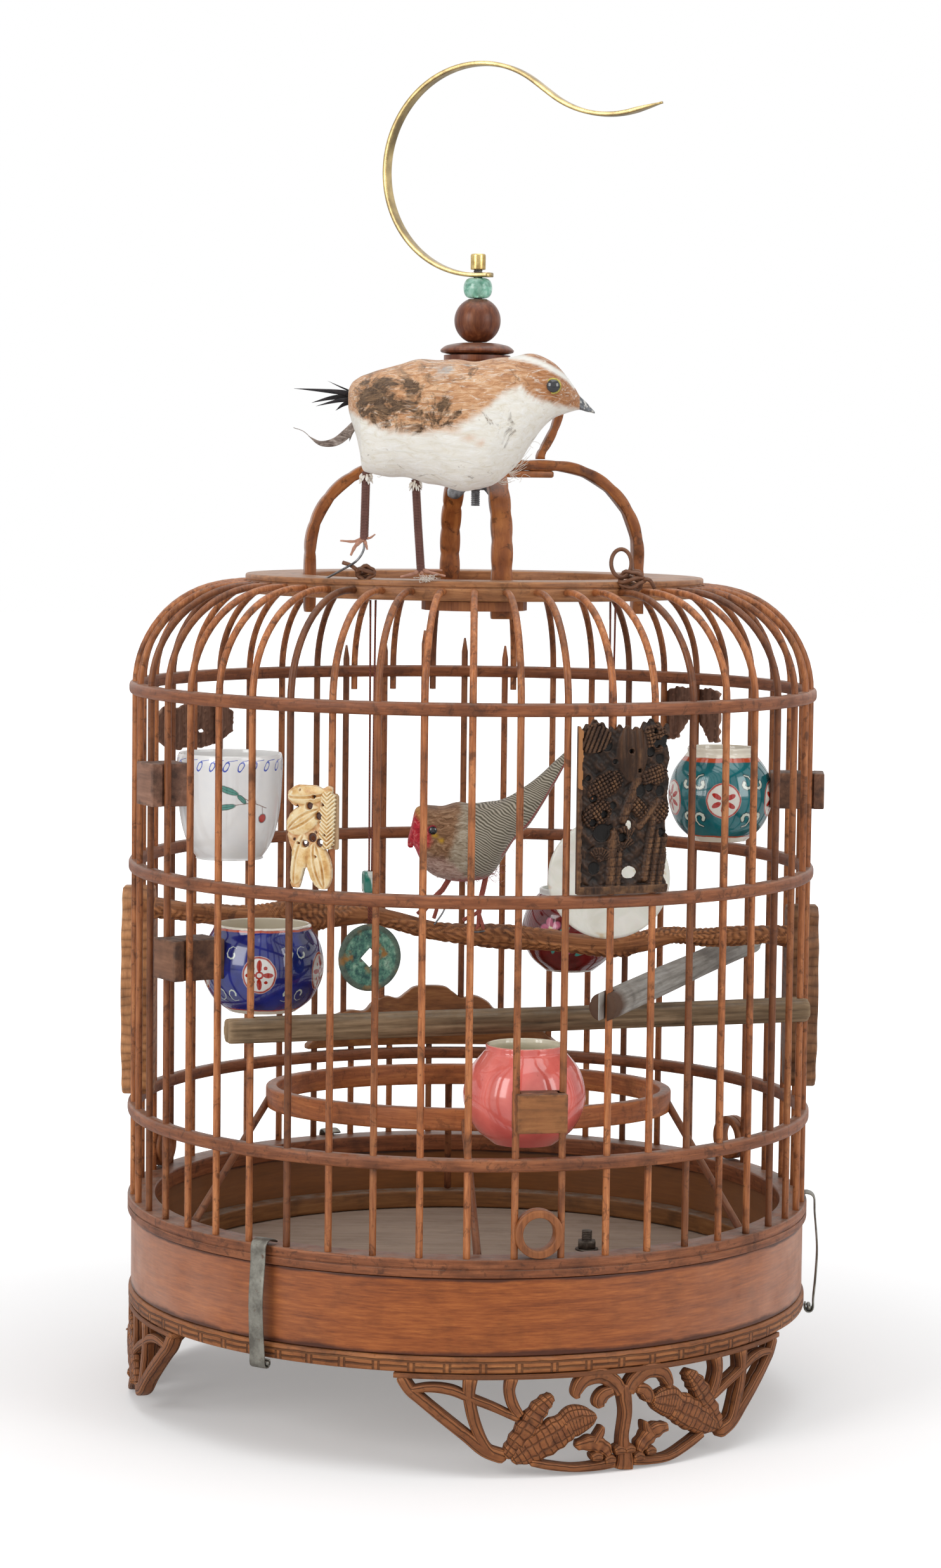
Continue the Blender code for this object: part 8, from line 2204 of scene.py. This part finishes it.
# The small bird stands inside on the carved branch: the same pulp body with its cotton worn flat, barred
# grey-green over the back and tail, pink below, with a crimson face and dyed string legs on steel pins.
perch_y = -0.0080
perch_way = [(-27.9, 245.2, 246.6, 1.2), (-27.2, 244.7, 249.4, 3.0), (-26.2, 244.4, 253.6, 4.6),
             (-24.8, 243.2, 259.6, 6.2), (-22.6, 238.6, 261.4, 8.0), (-20.0, 234.2, 262.0, 9.4),
             (-16.0, 230.8, 262.0, 10.8), (-12.0, 229.4, 261.8, 11.8), (-6.0, 228.8, 263.2, 13.0),
             (0.0, 228.6, 263.0, 13.6), (5.9, 229.8, 263.2, 13.2), (10.5, 233.8, 264.2, 12.2),
             (14.4, 239.7, 265.6, 10.6), (18.4, 246.4, 267.4, 8.6), (22.0, 250.4, 269.6, 6.8),
             (25.6, 254.0, 272.3, 5.6), (31.0, 262.6, 277.0, 5.0), (37.0, 273.4, 282.6, 4.6),
             (41.0, 281.0, 286.4, 4.0), (42.8, 284.6, 287.9, 3.2)]
small_body, small_grid = bird_body("barred_bird", np.array(perch_way) / 1000, perch_y, 0.96, 64, 8, 0.05)
belly_x = [-28, -22, -12, -7, -3, 8, 13, 18, 24, 43]
belly_z = [243, 242, 241, 238, 232.5, 232.5, 237, 247, 251, 250]
face_z, face_x = [240, 246, 252, 257, 262], [-21, -16.5, -17.2, -22.5, -27]
edge_x, edge_z = [12, 18.4, 25.6, 31, 37, 43], [238.5, 247.6, 255.6, 264.2, 274.8, 286]
mark_points(small_body,
            belly=lambda x, y, z: below(x, z, belly_x, belly_z, 3.0) + frayed(x, z, 1.6, 0.4),
            under=lambda x, y, z: ((231.0 + 0.10 * x - z) / 1.6 + 0.7 * (rough(x, z, 1.0, 1.7) - 0.4)
                                   - 2 * (x < -16)),
            crest=lambda x, y, z: below(z, x, [250, 255, 262], [-28, -20.5, -18.5], 2.5),
            streak=lambda x, y, z: 1.3 * np.clip(bar_at(x, z, -16.6, 250.0, -12.6, 247.2, 0.9), 0, 1),
            face=lambda x, y, z: below(z, x, face_z, face_x, 2.4) + frayed(x, z, 1.2, 1.1),
            hood=lambda x, y, z: (below(z, x, [238, 250, 262], [-9.0, -5.0, -3.0], 3.0)
                                  + frayed(x, z, 1.8, 2.1)),
            edge=lambda x, y, z: 1.4 - np.abs(below(x, z, edge_x, edge_z, 0.7)) - 9 * (x < 13),
            bars=lambda x, y, z: (x + 3) / 4)
barred, tree, shader, fibre = cloth("barred_cotton", 0.86, 0.45, 520.0)
here = spot(tree)
warped = node(tree, "VectorMath", operation="ADD", Vector=here)
cloud = node(tree, "TexNoise", Vector=here, Scale=85.0, Detail=2.0).outputs["Color"]
swirl = node(tree, "VectorMath", operation="SCALE", Vector=cloud, Scale=0.006)
plug(swirl.outputs[0], warped.inputs[1])
x, _, z = xyz_of(tree, warped.outputs[0])
along = calc(tree, "ADD", times(tree, x, 420.0), times(tree, z, 800.0))
bar = calc(tree, "PINGPONG", along, 0.5)
green = ramp(tree, bar, (0.14, (0.085, 0.078, 0.055)), (0.25, (0.30, 0.275, 0.21)),
             (0.40, (0.60, 0.56, 0.46)))
plain = ramp(tree, fibre, (0.36, (0.20, 0.15, 0.095)), (0.50, (0.42, 0.34, 0.24)), (0.64, (0.60, 0.54, 0.43)))
colour = mix(tree, times(tree, mask(tree, "bars"), 0.85), plain, green)
brown = ramp(tree, fibre, (0.36, (0.13, 0.060, 0.028)), (0.52, (0.31, 0.165, 0.085)),
             (0.66, (0.50, 0.32, 0.19)))
pink = ramp(tree, fibre, (0.36, (0.22, 0.115, 0.085)), (0.50, (0.46, 0.29, 0.23)), (0.64, (0.66, 0.49, 0.41)))
orange = ramp(tree, fibre, (0.38, (0.42, 0.16, 0.03)), (0.62, (0.72, 0.38, 0.12)))
crimson = ramp(tree, fibre, (0.38, (0.36, 0.008, 0.020)), (0.54, (0.68, 0.022, 0.045)),
               (0.70, (0.80, 0.26, 0.24)))
for label, pigment in (("hood", brown), ("belly", pink), ("crest", orange), ("under", (0.42, 0.045, 0.040)),
                       ("face", crimson), ("streak", (0.60, 0.34, 0.03)), ("edge", (0.40, 0.045, 0.045))):
    colour = mix(tree, mask(tree, label), colour, pigment)
wire(shader, Base_Color=colour)
fit(small_body, barred, "cage", "grey_feather", "perch_bird")

crimson_hairs, green_hairs = [], []
for _ in range(110):
    side, x, z = chance.choice([-1, 1]), chance.uniform(-16, 9), chance.uniform(229.5, 233.5)
    crimson_hairs.append(stray(small_grid, x, z, side, (3, 7), (-2, 2), 0.0007, 0.00009))
for _ in range(90):
    side, x, z = chance.choice([-1, 1]), chance.uniform(-14, 18), chance.uniform(243, 261)
    green_hairs.append(stray(small_grid, x, z, side, (3, 7), (-1, 4), 0.0006, 0.00008))
crimson_hair, tree, shader, fibre = cloth("crimson_fibre", 0.85, 0.1)
wire(shader, Base_Color=ramp(tree, fibre, (0.36, (0.26, 0.012, 0.026)), (0.52, (0.50, 0.10, 0.10)),
                             (0.66, (0.66, 0.44, 0.36))))
fit(bundle("belly_fibres", crimson_hairs), crimson_hair, "cage", "grey_feather")
fit(bundle("back_fibres", green_hairs), brown_hair, "cage", "grey_feather")
for label, side in (("front", -1), ("back", 1)):
    eye("barred_bird_eye_" + label, skin_at(small_grid, -0.0168, 0.2517, side), side, 0.0018, 0.00034,
        (0.42, 0.012, 0.030))
beak_way = [(-27.95, 244.0, 245.6, 1.0), (-27.4, 243.2, 247.6, 2.2), (-26.6, 243.0, 249.4, 3.0),
            (-25.5, 243.2, 251.2, 3.6)]
small_beak, _ = bird_body("barred_bird_beak", np.array(beak_way) / 1000, perch_y, 0.9, 26, 5)
beak_red, tree, shader, fibre = cloth("beak_lacquer", 0.5, 0.2)
wire(shader, Sheen_Weight=0.0, Base_Color=ramp(
    tree, fibre, (0.36, (0.36, 0.008, 0.020)), (0.54, (0.66, 0.022, 0.045)), (0.72, (0.80, 0.36, 0.32))))
fit(small_beak, beak_red, "cage", "grey_feather")

# Its legs and toes are string over wire; two steel pins hold them to the branch.
string_legs = []
for points, thick in (([(-8.6, 0, 231.0), (-12.4, -0.8, 224.8), (-16.4, -1.4, 220.8), (-21.4, -2.0, 214.6)],
                       1.35), ([(-16.4, -1.4, 220.8), (-14.8, -3.0, 216.4), (-16.0, -4.6, 212.6)], 0.95),
                      ([(-16.4, -1.4, 220.8), (-19.8, 1.0, 217.0), (-23.4, 1.8, 213.8)], 0.85),
                      ([(6.6, 0, 230.8), (5.4, -0.4, 225.0), (4.3, -0.8, 220.4), (3.6, -1.4, 214.6)], 1.35),
                      ([(3.6, -1.4, 215.2), (0.2, -2.8, 213.4), (-3.3, -3.6, 211.8)], 0.95),
                      ([(3.6, -1.4, 215.0), (3.4, -4.8, 209.6), (1.8, -5.0, 204.0)], 0.85),
                      ([(3.6, -1.4, 215.0), (5.2, -4.6, 210.4), (5.9, -5.0, 206.4)], 0.85)):
    string_legs.append(wound(np.array(points) / 1000 + (0, perch_y, 0), thick / 1000, 0.00055, 0.14))
leg_string = bamboo("dyed_leg_string", (0.14, 0.020, 0.014), (0.33, 0.070, 0.048), (0.50, 0.17, 0.12),
                    run="Traced", fine=1.8, dust=0.1, rough=0.6, stain=0.4, worn=0.4, girth=0.01, length=0.02)
fit(bundle("string_legs", string_legs), leg_string, "cage", "grey_feather")
pin_ways = [[(-10.9, -2.0, 217.4), (-12.6, -3.6, 214.2), (-15.8, -5.4, 209.8)],
            [(-1.3, -5.6, 207.2), (3.0, -5.9, 206.9), (7.6, -5.6, 207.6)]]
pins = [tube(curve_through(np.array(points) / 1000 + (0, perch_y, 0), 6), 0.00042, 10, (0, 1, 0))
        for points in pin_ways]
fit(bundle("steel_pins", pins), iron, "cage", "steel")
